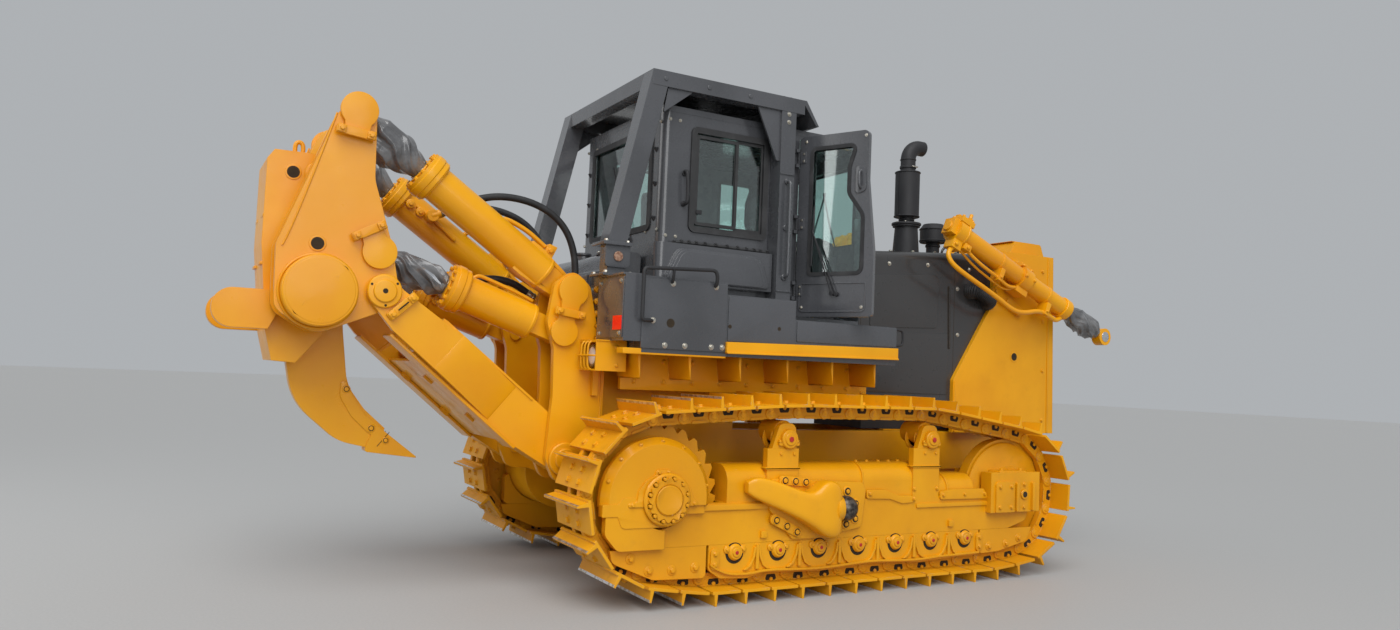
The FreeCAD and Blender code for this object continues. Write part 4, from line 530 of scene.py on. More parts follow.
# Track frames
# Long welded box beams that carry the wheels. Two rounded covers are bolted over the recoil
# spring, and a cast block with its grease valve takes up the slack of the idler in front.
frame_yellow = paint_finish("frame_yellow", yellow_colour, yellow_shade, (0.86, 0.46, 0.05), 0.36, 0.02, 0.14)
dress(frame_yellow, "track_frame_right", "track_frame_left", "roller_guards", "final_drives")
plates, bolts, shades = bmesh.new(), bmesh.new(), bmesh.new()
side_face = -1.235
add_plate(plates, [(-1.234, 0.655, 0.01), (-0.900, 0.655, 0.01), (-0.900, 0.897, 0.11), (-1.234, 0.897, 0.11)],
          1.625, 1.637, "X")
add_plate(plates, [(-1.231, 0.655, 0.01), (-0.905, 0.655, 0.01), (-0.905, 0.894, 0.11), (-1.231, 0.894, 0.11)],
          2.150, 2.186, "X")
add_plate(plates, [(-1.231, 0.655, 0.01), (-0.905, 0.655, 0.01), (-0.905, 0.806, 0.11), (-1.231, 0.806, 0.11)],
          2.450, 2.470, "X")
step_outline = [(1.660, 0.640, 0.02), (1.660, 0.704, 0.02), (1.830, 0.700, 0.02), (1.960, 0.656, 0.03),
                (2.090, 0.652, 0.02), (2.140, 0.604, 0.02), (2.000, 0.596, 0.02), (1.880, 0.632, 0.03)]
add_plate(plates, step_outline, -1.246, side_face + 0.004)
front_outline = [(2.370, 0.616, 0.02), (2.370, 0.674, 0.02), (2.480, 0.690, 0.02), (2.820, 0.690, 0.02),
                 (2.850, 0.650, 0.02), (2.870, 0.612, 0.015)]
add_plate(plates, front_outline, -1.250, side_face + 0.004)
add_plate(plates, [(0.240, 0.596, 0.01), (0.240, 0.634, 0.008), (1.640, 0.634, 0.008), (1.640, 0.596, 0.01)],
          -1.249, side_face + 0.004)
add_plate(plates, [(2.140, 0.560, 0.01), (2.140, 0.590, 0.008), (2.880, 0.590, 0.008), (2.880, 0.560, 0.01)],
          -1.247, side_face + 0.004)
for x, z in ((1.690, 0.675), (2.110, 0.628), (2.400, 0.650), (2.830, 0.650), (2.620, 0.652)):
    add_bolt(bolts, spot(x, -1.2475, z), out, 0.013, 0.012)
for x, z in ((0.781, 0.426), (2.487, 0.434)):
    add_plate(plates, [(x - 0.024, z - 0.024, 0.004), (x - 0.024, z + 0.024, 0.004), (x + 0.024, z + 0.024, 0.004),
                       (x + 0.024, z - 0.024, 0.004)], side_face - 0.020, side_face + 0.004)
for x in (1.69, 1.79, 1.90, 2.00, 2.09, 2.24, 2.34):
    add_bolt(bolts, spot(x, -1.07, 0.890 if x < 2.17 else 0.800), Vector((0, 0, 1)), 0.013, 0.010)
for x_low, x_high in ((0.780, 1.065), (2.090, 2.375)):
    add_plate(plates, [(x_low, 0.855, 0.01), (x_low, 0.872, 0.01), (x_high, 0.872, 0.01), (x_high, 0.855, 0.01)],
              -1.241, -1.175)
    for x in (x_low + 0.03, x_high - 0.03):
        add_bolt(bolts, spot(x, -1.215, 0.872), Vector((0, 0, 1)), 0.014, 0.012)
        add_bolt(bolts, spot(x, -1.236, 0.70), out, 0.013, 0.010)
block_face = -1.290
for x_low, x_high in ((3.120, 3.150), (3.300, 3.330)):
    add_plate(plates, [(x_low, 0.510, 0.01), (x_low, 0.735, 0.01), (x_high, 0.735, 0.01), (x_high, 0.510, 0.01)],
              block_face - 0.026, block_face + 0.01)
add_plate(plates, [(2.960, 0.800, 0.01), (2.960, 0.826, 0.01), (3.250, 0.826, 0.01), (3.250, 0.800, 0.01)],
          -1.285, -1.150)
add_plate(plates, [(2.905, 0.505, 0.01), (2.905, 0.745, 0.03), (3.110, 0.745, 0.02), (3.110, 0.505, 0.01)],
          block_face - 0.014, block_face + 0.01)
for x in (3.000, 3.210):
    add_bolt(bolts, spot(x, -1.255, 0.826), Vector((0, 0, 1)), 0.016, 0.016)
for x in (2.945, 3.070):
    for z in (0.545, 0.705):
        add_bolt(bolts, spot(x, block_face - 0.013, z), out, 0.014, 0.012)
add_bar(plates, spot(3.225, block_face, 0.640), spot(3.225, block_face - 0.012, 0.640), 0.040, 28, 0.004)
# Painted shade: a dark disc inside the ring stands in for the recess of the grease valve.
add_bar(shades, spot(3.225, block_face - 0.001, 0.640), spot(3.225, block_face - 0.0128, 0.640), 0.024, 24)
for z in (0.540, 0.720):
    add_bolt(bolts, spot(3.225, block_face, z), out, 0.013, 0.012)
finish_piece(plates, "frame_covers", frame_yellow, "machine", 0.003, both=True)
finish_piece(bolts, "frame_bolts", frame_yellow, "machine", both=True)

# Roller guards
# Long steel plates bolted under the beams to keep stones away from the rollers, with a wavy
# lower edge, a folded lip and a curved fin welded between each pair of rollers.
plates, bolts = bmesh.new(), bmesh.new()
wave = [(0.365, 0.240), (0.455, 0.176), (0.660, 0.162), (0.800, 0.184), (1.050, 0.172), (1.270, 0.166),
        (1.500, 0.180), (1.720, 0.192), (1.950, 0.180), (2.180, 0.174), (2.360, 0.188), (2.530, 0.190),
        (2.780, 0.196)]
lip = smooth_line([spot(x, -1.244, z) for x, z in wave])
for before, after in zip(lip, lip[1:]):
    corners = [(p.x - axle_x, p.z + rise) for p, rise in ((before, 0), (after, 0), (after, 0.014), (before, 0.014))]
    add_plate(plates, corners, -1.262, -1.230)
for k in range(6):
    x = 0.560 + 2.080 / 6 * (k + 0.5)
    for lean in (-1, 1):
        outer = [(x + lean * 0.010, 0.345), (x + lean * 0.024, 0.345), (x + lean * 0.034, 0.280),
                 (x + lean * 0.062, 0.222), (x + lean * 0.105, 0.196), (x + lean * 0.080, 0.196),
                 (x + lean * 0.044, 0.222), (x + lean * 0.018, 0.280)]
        add_plate(plates, outer if lean > 0 else outer[::-1], -1.253, -1.231)
for x in (0.404, 2.788):
    add_plate(plates, [(x - 0.032, 0.208, 0.030), (x - 0.032, 0.350, 0.030), (x + 0.032, 0.350, 0.030),
                       (x + 0.032, 0.208, 0.030)], -1.250, -1.231)
    for z in (0.245, 0.315):
        add_bolt(bolts, spot(x, -1.249, z), out, 0.015, 0.012)
for x, z in ((-0.206, 0.314), (-0.074, 0.231), (0.093, 0.226), (0.262, 0.233), (2.902, 0.239), (3.091, 0.252),
             (3.230, 0.290)):
    add_bar(plates, spot(x, -1.233, z), spot(x, -1.240, z), 0.034, 24, 0.003)
    add_bolt(bolts, spot(x, -1.239, z), out, 0.017, 0.013)
finish_piece(plates, "guard_fins_and_lip", frame_yellow, "machine", 0.002, both=True)
finish_piece(bolts, "guard_bolts", frame_yellow, "machine", both=True)

# Final drives
# Round cast covers over the last gears, with the hub of the sprocket shaft in the middle.
# Its ring of bolts sits in scallops, and two shaped seats clamp the casting to the beam.
hub_at = (0.0, 0.68563)
plates, bolts = bmesh.new(), bmesh.new()
hub_ring = []
for k in range(72):
    turn = 2 * math.pi * k / 72
    radius = 0.132 + 0.012 * math.cos(12 * turn)
    hub_ring.append((hub_at[0] + radius * math.cos(turn), hub_at[1] + radius * math.sin(turn)))
add_plate(plates, hub_ring, -1.336, -1.318)
add_bar(plates, spot(hub_at[0], -1.334, hub_at[1]), spot(hub_at[0], -1.345, hub_at[1]), 0.098, 48, 0.008)
add_bar(plates, spot(hub_at[0], -1.30, hub_at[1]), spot(hub_at[0], -1.320, hub_at[1]), 0.168, 56, 0.010)
for k in range(12):
    turn = 2 * math.pi * (k + 0.5) / 12
    foot = spot(hub_at[0] + 0.136 * math.cos(turn), -1.319, hub_at[1] + 0.136 * math.sin(turn))
    add_bolt(bolts, foot, out, 0.013, 0.020)
for k in range(28):
    turn = math.radians(6 + 168 * k / 27)
    foot = spot(-0.045 + 0.366 * math.cos(turn), -1.262, hub_at[1] + 0.366 * math.sin(turn))
    lean = Vector((0.55 * math.cos(turn), -0.8, 0.55 * math.sin(turn))).normalized()
    if k % 4 == 1:
        add_bolt(bolts, foot, lean, 0.010, 0.008)
seat = [(-0.262, 0.640, 0.01), (-0.262, 0.668, 0.015), (-0.205, 0.668, 0.02), (-0.195, 0.740, 0.03),
        (-0.150, 0.800, 0.03), (-0.085, 0.838, 0.02), (-0.075, 0.872, 0.02), (0.020, 0.872, 0.02),
        (0.040, 0.838, 0.02), (0.110, 0.812, 0.03), (0.170, 0.760, 0.03), (0.196, 0.690, 0.03),
        (0.230, 0.668, 0.02), (0.230, 0.640, 0.01)]
add_plate(plates, seat, -1.297, -1.280)
for x, z in ((-0.060, 0.856), (0.010, 0.856), (-0.235, 0.654), (0.206, 0.654)):
    add_bolt(bolts, spot(x, -1.296, z), out, 0.011, 0.010)
add_plate(plates, [(-0.436, 0.585, 0.006), (-0.436, 0.662, 0.008), (-0.330, 0.662, 0.015), (-0.300, 0.700, 0.02),
                   (-0.215, 0.700, 0.015), (-0.190, 0.650, 0.01), (0.030, 0.650), (0.030, 0.510, 0.006),
                   (-0.300, 0.510, 0.04), (-0.330, 0.585, 0.01)], -1.2895, -1.230)
add_plate(plates, [(0.020, 0.585), (0.020, 0.652), (0.290, 0.652, 0.01), (0.300, 0.585, 0.006)], -1.270, -1.230)
finish_piece(plates, "hub_and_seats", frame_yellow, "machine", 0.003, both=True)
finish_piece(bolts, "hub_bolts", frame_yellow, "machine", both=True)

# Push arm trunnions
# Cast arms bolted to the sides of the track frames. Each ends in a bare steel ball, greased
# dark, where the push arm of the blade would sit.
ball_steel, tree, surface, place = new_finish("greased_steel", 0.38, Metallic=0.7)
smear = shader_step(tree, "TexNoise", Vector=place, Scale=24.0, Detail=6.0).outputs["Fac"]
tree.links.new(blend_colours(tree, between(tree, smear, 0.35, 0.7), (0.030, 0.024, 0.020), (0.16, 0.14, 0.12)),
               surface.inputs["Base Color"])
tree.links.new(shader_step(tree, "MapRange", Value=smear, To_Min=0.25, To_Max=0.6).outputs["Result"],
               surface.inputs["Roughness"])
casting, plates, bolts, ball = (bmesh.new() for _ in range(4))
arm_shape = [(0.612, 0.712, 0.782, 1.296), (0.640, 0.690, 0.806, 1.312), (0.700, 0.660, 0.816, 1.326),
             (0.800, 0.618, 0.794, 1.346), (0.900, 0.578, 0.762, 1.364), (1.000, 0.532, 0.728, 1.382),
             (1.070, 0.494, 0.712, 1.396), (1.120, 0.464, 0.728, 1.404), (1.160, 0.436, 0.764, 1.410),
             (1.210, 0.408, 0.792, 1.414), (1.260, 0.396, 0.790, 1.414), (1.300, 0.398, 0.772, 1.408),
             (1.328, 0.412, 0.744, 1.392), (1.342, 0.450, 0.700, 1.366), (1.346, 0.500, 0.650, 1.340)]
arm_lines = [smooth_line([Vector((x, value, 0)) for x, value in ((row[0], row[k]) for row in arm_shape)]) for k in (1, 2, 3)]
rings = []
for k in range(len(arm_lines[0])):
    x, low, high, reach = arm_lines[0][k].x, arm_lines[0][k].y, arm_lines[1][k].y, arm_lines[2][k].y
    ring = []
    for j in range(48):
        turn = 2 * math.pi * j / 48
        wide, tall = (math.copysign(abs(v) ** 0.42, v) for v in (math.cos(turn), math.sin(turn)))
        ring.append(casting.verts.new(spot(x, -(reach + 1.245) / 2 - wide * (reach - 1.245) / 2,
                                           (low + high) / 2 + tall * (high - low) / 2)))
    rings.append(ring)
for first, second in zip(rings, rings[1:]):
    for j in range(48):
        casting.faces.new((first[j], first[(j + 1) % 48], second[(j + 1) % 48], second[j]))
casting.faces.new(rings[0])
casting.faces.new(rings[-1][::-1])
bmesh.ops.recalc_face_normals(casting, faces=casting.faces[:])
add_plate(casting, [(0.812, 0.590, 0.03), (0.812, 0.800, 0.04), (1.610, 0.760, 0.04), (1.640, 0.700, 0.03),
                    (1.610, 0.445, 0.04), (1.250, 0.384, 0.04), (1.010, 0.384, 0.04)], -1.258, -1.2365)
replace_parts(finish_piece(casting, "trunnion_castings", frame_yellow, "machine", 0.004, both=True),
            "push_arm_trunnions")
ball_at, ball_size, ball_rings = spot(1.386, -1.3519, 0.596), 0.0880, []
for k in range(1, 24):
    turn = math.pi * k / 24
    ball_rings.append((ball_at + Vector((0, ball_size * math.cos(turn), 0)), ball_size * math.sin(turn)))
add_tube(ball, [place for place, radius in ball_rings], [radius for place, radius in ball_rings], 48)
add_bar(casting_neck := bmesh.new(), spot(1.300, -1.330, 0.596), spot(1.372, -1.350, 0.596), 0.098, 40, 0.012, 0.080)
finish_piece(casting_neck, "trunnion_necks", frame_yellow, "machine", both=True)
for corners in ([(0.872, 0.760, 0.018), (0.884, 0.820, 0.02), (1.136, 0.800, 0.02), (1.130, 0.740, 0.02)],
                [(0.812, 0.505, 0.03), (0.826, 0.576, 0.03), (1.098, 0.440, 0.03), (1.050, 0.392, 0.03)]):
    add_plate(plates, corners, -1.274, -1.255)
    start, end = (Vector(corners[0][:2]) + Vector(corners[1][:2])) / 2, (Vector(corners[2][:2]) + Vector(corners[3][:2])) / 2
    for share in (0.16, 0.5, 0.84):
        near = start.lerp(end, share)
        add_bar(plates, spot(near.x, -1.273, near.y), spot(near.x, -1.281, near.y), 0.030, 24, 0.002)
        # Painted shade: a dark disc round each bolt stands in for the shade in its recess.
        add_bar(shades, spot(near.x, -1.273, near.y), spot(near.x, -1.2816, near.y), 0.0245, 20)
        add_bolt(bolts, spot(near.x, -1.276, near.y), out, 0.018, 0.010, False)
for x, z in ((1.470, 0.700), (1.545, 0.610), (1.545, 0.505), (1.465, 0.470)):
    add_bar(plates, spot(x, -1.255, z), spot(x, -1.266, z), 0.036, 28, 0.003)
    # Painted shade: a dark disc round each bolt stands in for the shade in its recess.
    add_bar(shades, spot(x, -1.257, z), spot(x, -1.2668, z), 0.026, 24)
    add_bolt(bolts, spot(x, -1.266, z), out, 0.017, 0.006, False)
finish_piece(plates, "trunnion_flanges", frame_yellow, "machine", 0.003, both=True)
finish_piece(bolts, "trunnion_bolts", frame_yellow, "machine", both=True)
finish_piece(ball, "trunnion_balls", ball_steel, "machine", both=True)
finish_piece(shades, "bolt_recesses", painted_hole_shade, "machine", both=True)

# Main frame and engine
# The welded rear case, side rails and belly guard that everything hangs on, the cross beam that
# levels the tracks, and the grey engine that shows only through the gaps.
engine_grey = paint_finish("engine_grey", (0.060, 0.062, 0.066), (0.045, 0.046, 0.05), (0.2, 0.2, 0.2),
                           0.5, 0.02, 0.2, 0.0)
dress(frame_yellow, "main_frame", "equalizer_bar")
dress(engine_grey, "engine_block")
plates, bolts = bmesh.new(), bmesh.new()
for k in range(9):
    x = 0.90 + 0.36 * k
    for y in (-0.44, -0.20):
        add_bolt(bolts, spot(x, y, 0.540), Vector((0, 0, -1)), 0.016, 0.012)
for x in (1.62, 2.42, 3.22):
    add_plate(plates, [(x, -0.47), (x, 0), (x + 0.02, 0), (x + 0.02, -0.47)], 0.526, 0.541, "Z")
for z in (0.80, 0.90, 1.00):
    add_bolt(bolts, spot(0.62, -0.500, z), out, 0.018, 0.014)
    add_bolt(bolts, spot(0.48, -0.500, z), out, 0.018, 0.014)
for y in (-0.28, -0.12, 0.05):
    for z in (0.86, 1.36):
        add_bolt(bolts, spot(-0.240, y, z), Vector((-1, 0, 0)), 0.018, 0.014)
for x in (0.10, 0.26, 0.42, 0.58, 0.74, 0.90, 1.06, 1.22, 1.38, 1.54, 1.70, 1.86, 2.02):
    add_bolt(bolts, spot(x, -0.690, 1.395), out, 0.011, 0.010)
for x in (0.34, 0.98, 1.30, 1.66):
    add_plate(plates, [(x, 1.372), (x, 1.602), (x + 0.014, 1.602), (x + 0.014, 1.372)], -0.730, -0.685)
finish_piece(plates, "case_ribs", frame_yellow, "machine", 0.002, both=True)
finish_piece(bolts, "case_bolts", frame_yellow, "machine", both=True)

# Hood
# Sheet steel side panels and roof over the engine, sprayed charcoal. Each side has a pressed
# panel, a long slot handle and a lower door, held by shiny flange screws.
charcoal_colour, charcoal_shade = (0.074, 0.076, 0.083), (0.054, 0.056, 0.061)
charcoal_paint = paint_finish("charcoal_paint", charcoal_colour, charcoal_shade, (0.17, 0.17, 0.175), 0.26,
                              0.0, 0.10, 0.85)
zinc_screw, tree, surface, place = new_finish("zinc_screw", 0.32, Metallic=0.9)
stain = shader_step(tree, "TexNoise", Vector=place, Scale=60.0).outputs["Fac"]
tree.links.new(blend_colours(tree, stain, (0.42, 0.38, 0.30), (0.62, 0.60, 0.55)), surface.inputs["Base Color"])
# Painted shade: a darker copy of the charcoal paint for the hood and the grille.
shaded_hood_paint = paint_finish("shaded_hood_paint", (0.042, 0.041, 0.041), (0.032, 0.031, 0.031), (0.12, 0.12, 0.12), 0.30, 0.0, 0.14, 0.5)
dress(shaded_hood_paint, "hood", "radiator_grille")
hood_side = -0.5597
panels, screws, shades = bmesh.new(), bmesh.new(), bmesh.new()


def add_frame(mesh, corners, width, low, high, across="Y"):
    """A raised border round an outline, such as the pressed edge of a panel."""
    outline = rounded_outline(corners)
    count = len(outline)
    turned = sum(a.x * b.y - b.x * a.y for a, b in zip(outline, outline[1:] + outline[:1]))
    inner = []
    for k, point in enumerate(outline):
        steps = ((point - outline[k - 1]).normalized(), (outline[(k + 1) % count] - point).normalized())
        before, after = (Vector((-step.y, step.x)) * math.copysign(width, turned) for step in steps)
        inner.append(point + (before + after) / (1 + before.dot(after) / width ** 2))
    rings = [[mesh.verts.new(plate_places[across](a, b, depth)) for a, b in line]
             for line, depth in ((outline, low), (outline, high), (inner, high), (inner, low))]
    faces = [mesh.faces.new((first[k], first[(k + 1) % count], second[(k + 1) % count], second[k]))
             for first, second in zip(rings, rings[1:] + rings[:1]) for k in range(count)]
    bmesh.ops.recalc_face_normals(mesh, faces=faces)


panel = [(2.200, 1.930, 0.03), (2.200, 2.360, 0.05), (2.945, 2.425, 0.05), (2.935, 1.965, 0.03)]
add_plate(panels, panel, hood_side - 0.006, hood_side + 0.002)
lower_door = [(2.150, 1.400, 0.02), (2.150, 1.885, 0.02), (3.060, 1.925, 0.02), (3.075, 1.400, 0.02)]
add_plate(panels, lower_door, hood_side - 0.005, hood_side + 0.002)
# Painted shade: dark strips round the slot handle and along the panel seams stand in for the shade in those gaps.
add_plate(shades, [(3.068, 1.795, 0.006), (3.050, 2.335, 0.006), (3.078, 2.335, 0.006), (3.096, 1.795, 0.006)],
          hood_side - 0.0015, hood_side + 0.002)
add_plate(panels, [(3.074, 1.800), (3.058, 2.330), (3.066, 2.330), (3.082, 1.800)], hood_side - 0.010, hood_side)
for x_low, x_high in ((3.130, 3.134), (2.105, 2.109)):
    add_plate(shades, [(x_low, 1.34), (x_low, 2.54), (x_high, 2.54), (x_high, 1.34)], hood_side - 0.0006, hood_side)
for x, z in ((2.393, 2.471), (2.818, 2.498), (3.165, 2.320), (3.179, 1.921), (3.190, 1.613), (3.484, 2.040),
             (3.30, 2.500), (3.420, 2.350)):
    add_bolt(screws, spot(x, hood_side, z), out, 0.013, 0.009)
for x in (2.25, 2.50, 2.75, 3.00, 3.25, 3.50):
    add_bolt(screws, spot(x, -0.44, 2.568 + 0.0733 * (x - 2.1)), Vector((0, 0, 1)), 0.012, 0.008)
add_tube(panels, smooth_line([spot(3.10, 0.42, 2.625), spot(3.10, 0.42, 2.70), spot(3.30, 0.42, 2.715),
                              spot(3.30, 0.42, 2.640)]), 0.011, 12)
finish_piece(panels, "hood_panels", shaded_hood_paint, "machine", 0.003, both=True)
finish_piece(screws, "hood_screws", zinc_screw, "machine", both=True)
finish_piece(shades, "hood_gaps", painted_hole_shade, "machine", both=True)

# Radiator guard
# Thick yellow plates welded round the radiator at the front, folded along the front edge, with a
# lamp housing on top and a slatted charcoal grille in the mouth.
dress(yellow_paint, "radiator_guard", "hoist_yokes")
guard_side = -0.600
plates, bolts, shades = bmesh.new(), bmesh.new(), bmesh.new()
add_plate(plates, [(4.262, 1.085), (4.248, 2.690), (4.262, 2.690), (4.278, 1.085)], guard_side - 0.006, guard_side + 0.002)
add_plate(plates, [(3.115, 1.090), (3.115, 1.520), (3.130, 1.520), (3.130, 1.090)], guard_side - 0.006, guard_side + 0.002)
add_bar(plates, spot(3.830, guard_side - 0.0005, 1.760), spot(3.830, guard_side - 0.004, 1.760), 0.048, 32, 0.001)
# Painted shade: a dark disc inside the ring stands in for the shade of the hole in the guard.
add_bar(shades, spot(3.830, guard_side, 1.760), spot(3.830, guard_side - 0.005, 1.760), 0.034, 32)
for x, z in ((4.20, 1.20), (4.20, 1.65), (4.19, 2.10), (4.18, 2.56), (3.22, 1.15), (3.60, 1.15), (4.00, 1.15)):
    add_bolt(bolts, spot(x, guard_side, z), out, 0.014, 0.011)
for z in (1.20, 1.48, 1.76, 2.04, 2.32, 2.60):
    add_bolt(bolts, spot(4.311, -0.545, z), Vector((1, 0, 0)), 0.015, 0.012)
for y in (-0.30, -0.10):
    add_bolt(bolts, spot(4.311, y, 1.13), Vector((1, 0, 0)), 0.015, 0.012)
    add_bolt(bolts, spot(4.311, y, 2.645), Vector((1, 0, 0)), 0.015, 0.012)
for k in range(16):
    z = 1.215 + 0.0895 * k
    add_plate(plates, [(-0.470, z), (-0.470, z + 0.012), (0, z + 0.012), (0, z)], 4.262, 4.300, "X")
add_plate(plates, [(4.00, 2.842, 0.004), (4.00, 2.848, 0.002), (4.30, 2.848, 0.002), (4.30, 2.842, 0.004)], -0.39, 0)
for x, y in ((4.05, -0.36), (4.05, -0.10), (4.26, -0.36), (4.26, -0.10)):
    add_bolt(bolts, spot(x, y, 2.838), Vector((0, 0, 1)), 0.011, 0.006)
for x in (3.75, 4.00, 4.20):
    add_bolt(bolts, spot(x, -0.54, 2.6995), Vector((0, 0, 1)), 0.014, 0.012)
finish_piece(plates, "guard_trim", yellow_paint, "machine", 0.002, both=True)
finish_piece(bolts, "guard_screws", yellow_paint, "machine", both=True)
finish_piece(shades, "guard_hole", painted_hole_shade, "machine", both=True)
lamp_glass, tree, surface, place = new_finish("lamp_glass", 0.12, Coat_Weight=1.0)
ribs = shader_step(tree, "TexWave", Vector=place, Scale=28.0).outputs["Fac"]
tree.links.new(blend_colours(tree, ribs, (0.55, 0.58, 0.60), (0.80, 0.82, 0.84)), surface.inputs["Base Color"])
lenses, rims = bmesh.new(), bmesh.new()
slope = Vector((0.99, 0, 0.14)).normalized()
for y in (-0.30, -0.11):
    place = spot(4.398, y, 2.755)
    place = spot(4.372, y, 2.752)
    add_bar(rims, place, place + slope * 0.030, 0.072, 36, 0.004)
    add_tube(lenses, [place + slope * reach for reach in (0.028, 0.034, 0.037)], [0.060, 0.045, 0.001], 36)
finish_piece(rims, "front_lamp_rims", charcoal_paint, "machine", both=True)
finish_piece(lenses, "front_lamp_lenses", lamp_glass, "machine", both=True)

# Exhaust and air intake
# A matt black silencer stack: a spun cone bolted to the hood, a clamp ring, a muffler can with
# rolled lips and a bent tail pipe. Beside it stand the intake bowl and its ribbed rubber elbow.
stack_black = paint_finish("stack_black", (0.028, 0.028, 0.030), (0.020, 0.020, 0.022), (0.09, 0.07, 0.06),
                           0.55, 0.0, 0.15, 0.0)
dress(stack_black, "exhaust_stack", "pre_cleaner")
drawn, screws = bmesh.new(), bmesh.new()
stack_at = (2.880, -0.200)
for z_low, z_high, radius in ((2.884, 2.906, 0.130), (2.600, 2.622, 0.152), (2.958, 2.972, 0.114), (3.352, 3.366, 0.114),
                              (2.925, 2.945, 0.070), (3.470, 3.486, 0.071), (3.395, 3.420, 0.073)):
    add_bar(drawn, spot(*stack_at, z_low), spot(*stack_at, z_high), radius, 48, 0.004)
add_plate(drawn, [(2.772, -0.206), (2.772, -0.194), (2.766, -0.194), (2.766, -0.206)], 2.975, 3.350, "Z")
for k in range(8):
    turn = 2 * math.pi * k / 8
    add_bolt(screws, spot(2.88 + 0.142 * math.cos(turn), -0.2 + 0.142 * math.sin(turn), 2.618), Vector((0, 0, 1)),
             0.010, 0.008)
    add_bolt(screws, spot(2.88 + 0.112 * math.cos(turn), -0.2 + 0.112 * math.sin(turn), 2.904), Vector((0, 0, 1)),
             0.007, 0.006, False)
clamp = spot(2.88, -0.2, 3.4075)
add_bar(screws, clamp + Vector((-0.02, -0.078, 0)), clamp + Vector((0.045, -0.078, 0)), 0.007, 10, 0.001)
for z_low, z_high, radius in ((2.800, 2.812, 0.126), (2.905, 2.920, 0.126), (2.748, 2.770, 0.068)):
    add_bar(drawn, spot(3.330, -0.060, z_low), spot(3.330, -0.060, z_high), radius, 40, 0.003)
finish_piece(drawn, "stack_lips", stack_black, "machine")
finish_piece(screws, "stack_screws", zinc_screw, "machine")
elbow = smooth_line([spot(3.300, -0.545, 2.310), spot(3.300, -0.610, 2.310), spot(3.335, -0.650, 2.300),
                     spot(3.420, -0.655, 2.265), spot(3.490, -0.630, 2.235), spot(3.520, -0.555, 2.220)])
ribbed = []
for k, point in enumerate(elbow):
    ribbed.append(0.062 + 0.006 * (k % 2))
drawn = bmesh.new()
add_tube(drawn, elbow, ribbed, 28)
finish_piece(drawn, "intake_elbow", hose_rubber, "machine", both=True)

# Fenders and rear tank
# Charcoal sheet steel boxes over the tracks, with a bolted side plate, a bent hand rail, two
# bare name plates and a yellow step edge. The fuel tank stands between them at the back.
dress(charcoal_paint, "fender_right", "fender_left", "rear_tank")
fender_side = -1.120
plates, edges, screws, shades, rails = (bmesh.new() for _ in range(5))
side_plate = [(-0.150, 1.640, 0.01), (-0.150, 2.098, 0.01), (0.490, 2.105, 0.01), (0.490, 1.640, 0.01)]
add_plate(plates, side_plate, fender_side - 0.010, fender_side + 0.002)
add_plate(plates, [(0.506, 1.718, 0.006), (0.506, 2.024, 0.006), (1.062, 2.028, 0.006), (1.062, 1.718, 0.006)],
          fender_side - 0.008, fender_side + 0.002)
add_plate(plates, [(1.080, 1.745, 0.006), (1.080, 1.892, 0.006), (1.998, 1.894, 0.006), (1.998, 1.750, 0.006)],
          fender_side - 0.008, fender_side + 0.002)
add_plate(edges, [(0.490, 1.638, 0.004), (0.490, 1.712, 0.004), (2.000, 1.742, 0.004), (2.000, 1.662, 0.004)],
          fender_side - 0.030, fender_side + 0.002)
add_plate(edges, [(0.495, 1.632, 0.003), (0.495, 1.644, 0.003), (1.998, 1.666, 0.003), (1.998, 1.654, 0.003)],
          fender_side - 0.042, fender_side + 0.002)
add_plate(edges, [(-0.270, 1.6, 0.004), (-0.270, 1.638, 0.004), (0.50, 1.638, 0.004), (0.50, 1.6, 0.004)],
          fender_side + 0.001, fender_side + 0.10)
for x in (-0.120, 0.260, 0.660, 1.060, 1.460, 1.860):
    add_plate(edges, [(x, 1.56), (x, 1.613), (x + 0.018, 1.613), (x + 0.018, 1.44)], -1.04, -0.69)
add_plate(edges, [(-0.10, 1.36, 0.01), (-0.10, 1.612, 0.01), (1.98, 1.612, 0.01), (1.98, 1.36, 0.01)], -0.735, -0.700)
# Painted shade: dark discs stand in for the shade inside the holes of the side plate.
add_bar(shades, spot(0.061, fender_side, 1.813), spot(0.061, fender_side - 0.0104, 1.813), 0.030, 28)
for x, z in ((0.520, 1.818), (0.926, 1.826)):
    add_bar(shades, spot(x, fender_side, z), spot(x, fender_side - 0.0084, z), 0.014, 20)
for x, z in ((0.069, 2.075), (0.399, 2.078), (-0.069, 1.824), (0.025, 1.665), (0.175, 1.668), (0.378, 1.670),
             (0.464, 1.672)):
    add_bolt(screws, spot(x, fender_side - 0.009, z), out, 0.014, 0.010)
for k in range(9):
    add_bolt(edges, spot(0.00 + 0.23 * k, -0.735, 1.560), out, 0.013, 0.010)
    add_bolt(edges, spot(0.00 + 0.23 * k, -0.735, 1.420), out, 0.013, 0.010)
rail_line = smooth_line([spot(-0.075, -1.130, 1.821), spot(-0.130, -1.165, 1.821), spot(-0.167, -1.168, 1.821),
                         spot(-0.167, -1.168, 1.880), spot(-0.167, -1.168, 2.100), spot(-0.167, -1.168, 2.158),
                         spot(-0.110, -1.168, 2.162), spot(0.300, -1.168, 2.182), spot(0.366, -1.168, 2.186),
                         spot(0.384, -1.168, 2.150), spot(0.390, -1.150, 2.090), spot(0.390, -1.130, 2.080)])
add_tube(rails, rail_line, 0.0125, 14)
add_tube(rails, smooth_line([spot(0.050, -1.168, 2.170), spot(0.052, -1.166, 2.100), spot(0.060, -1.130, 2.078)]),
         0.010, 12)
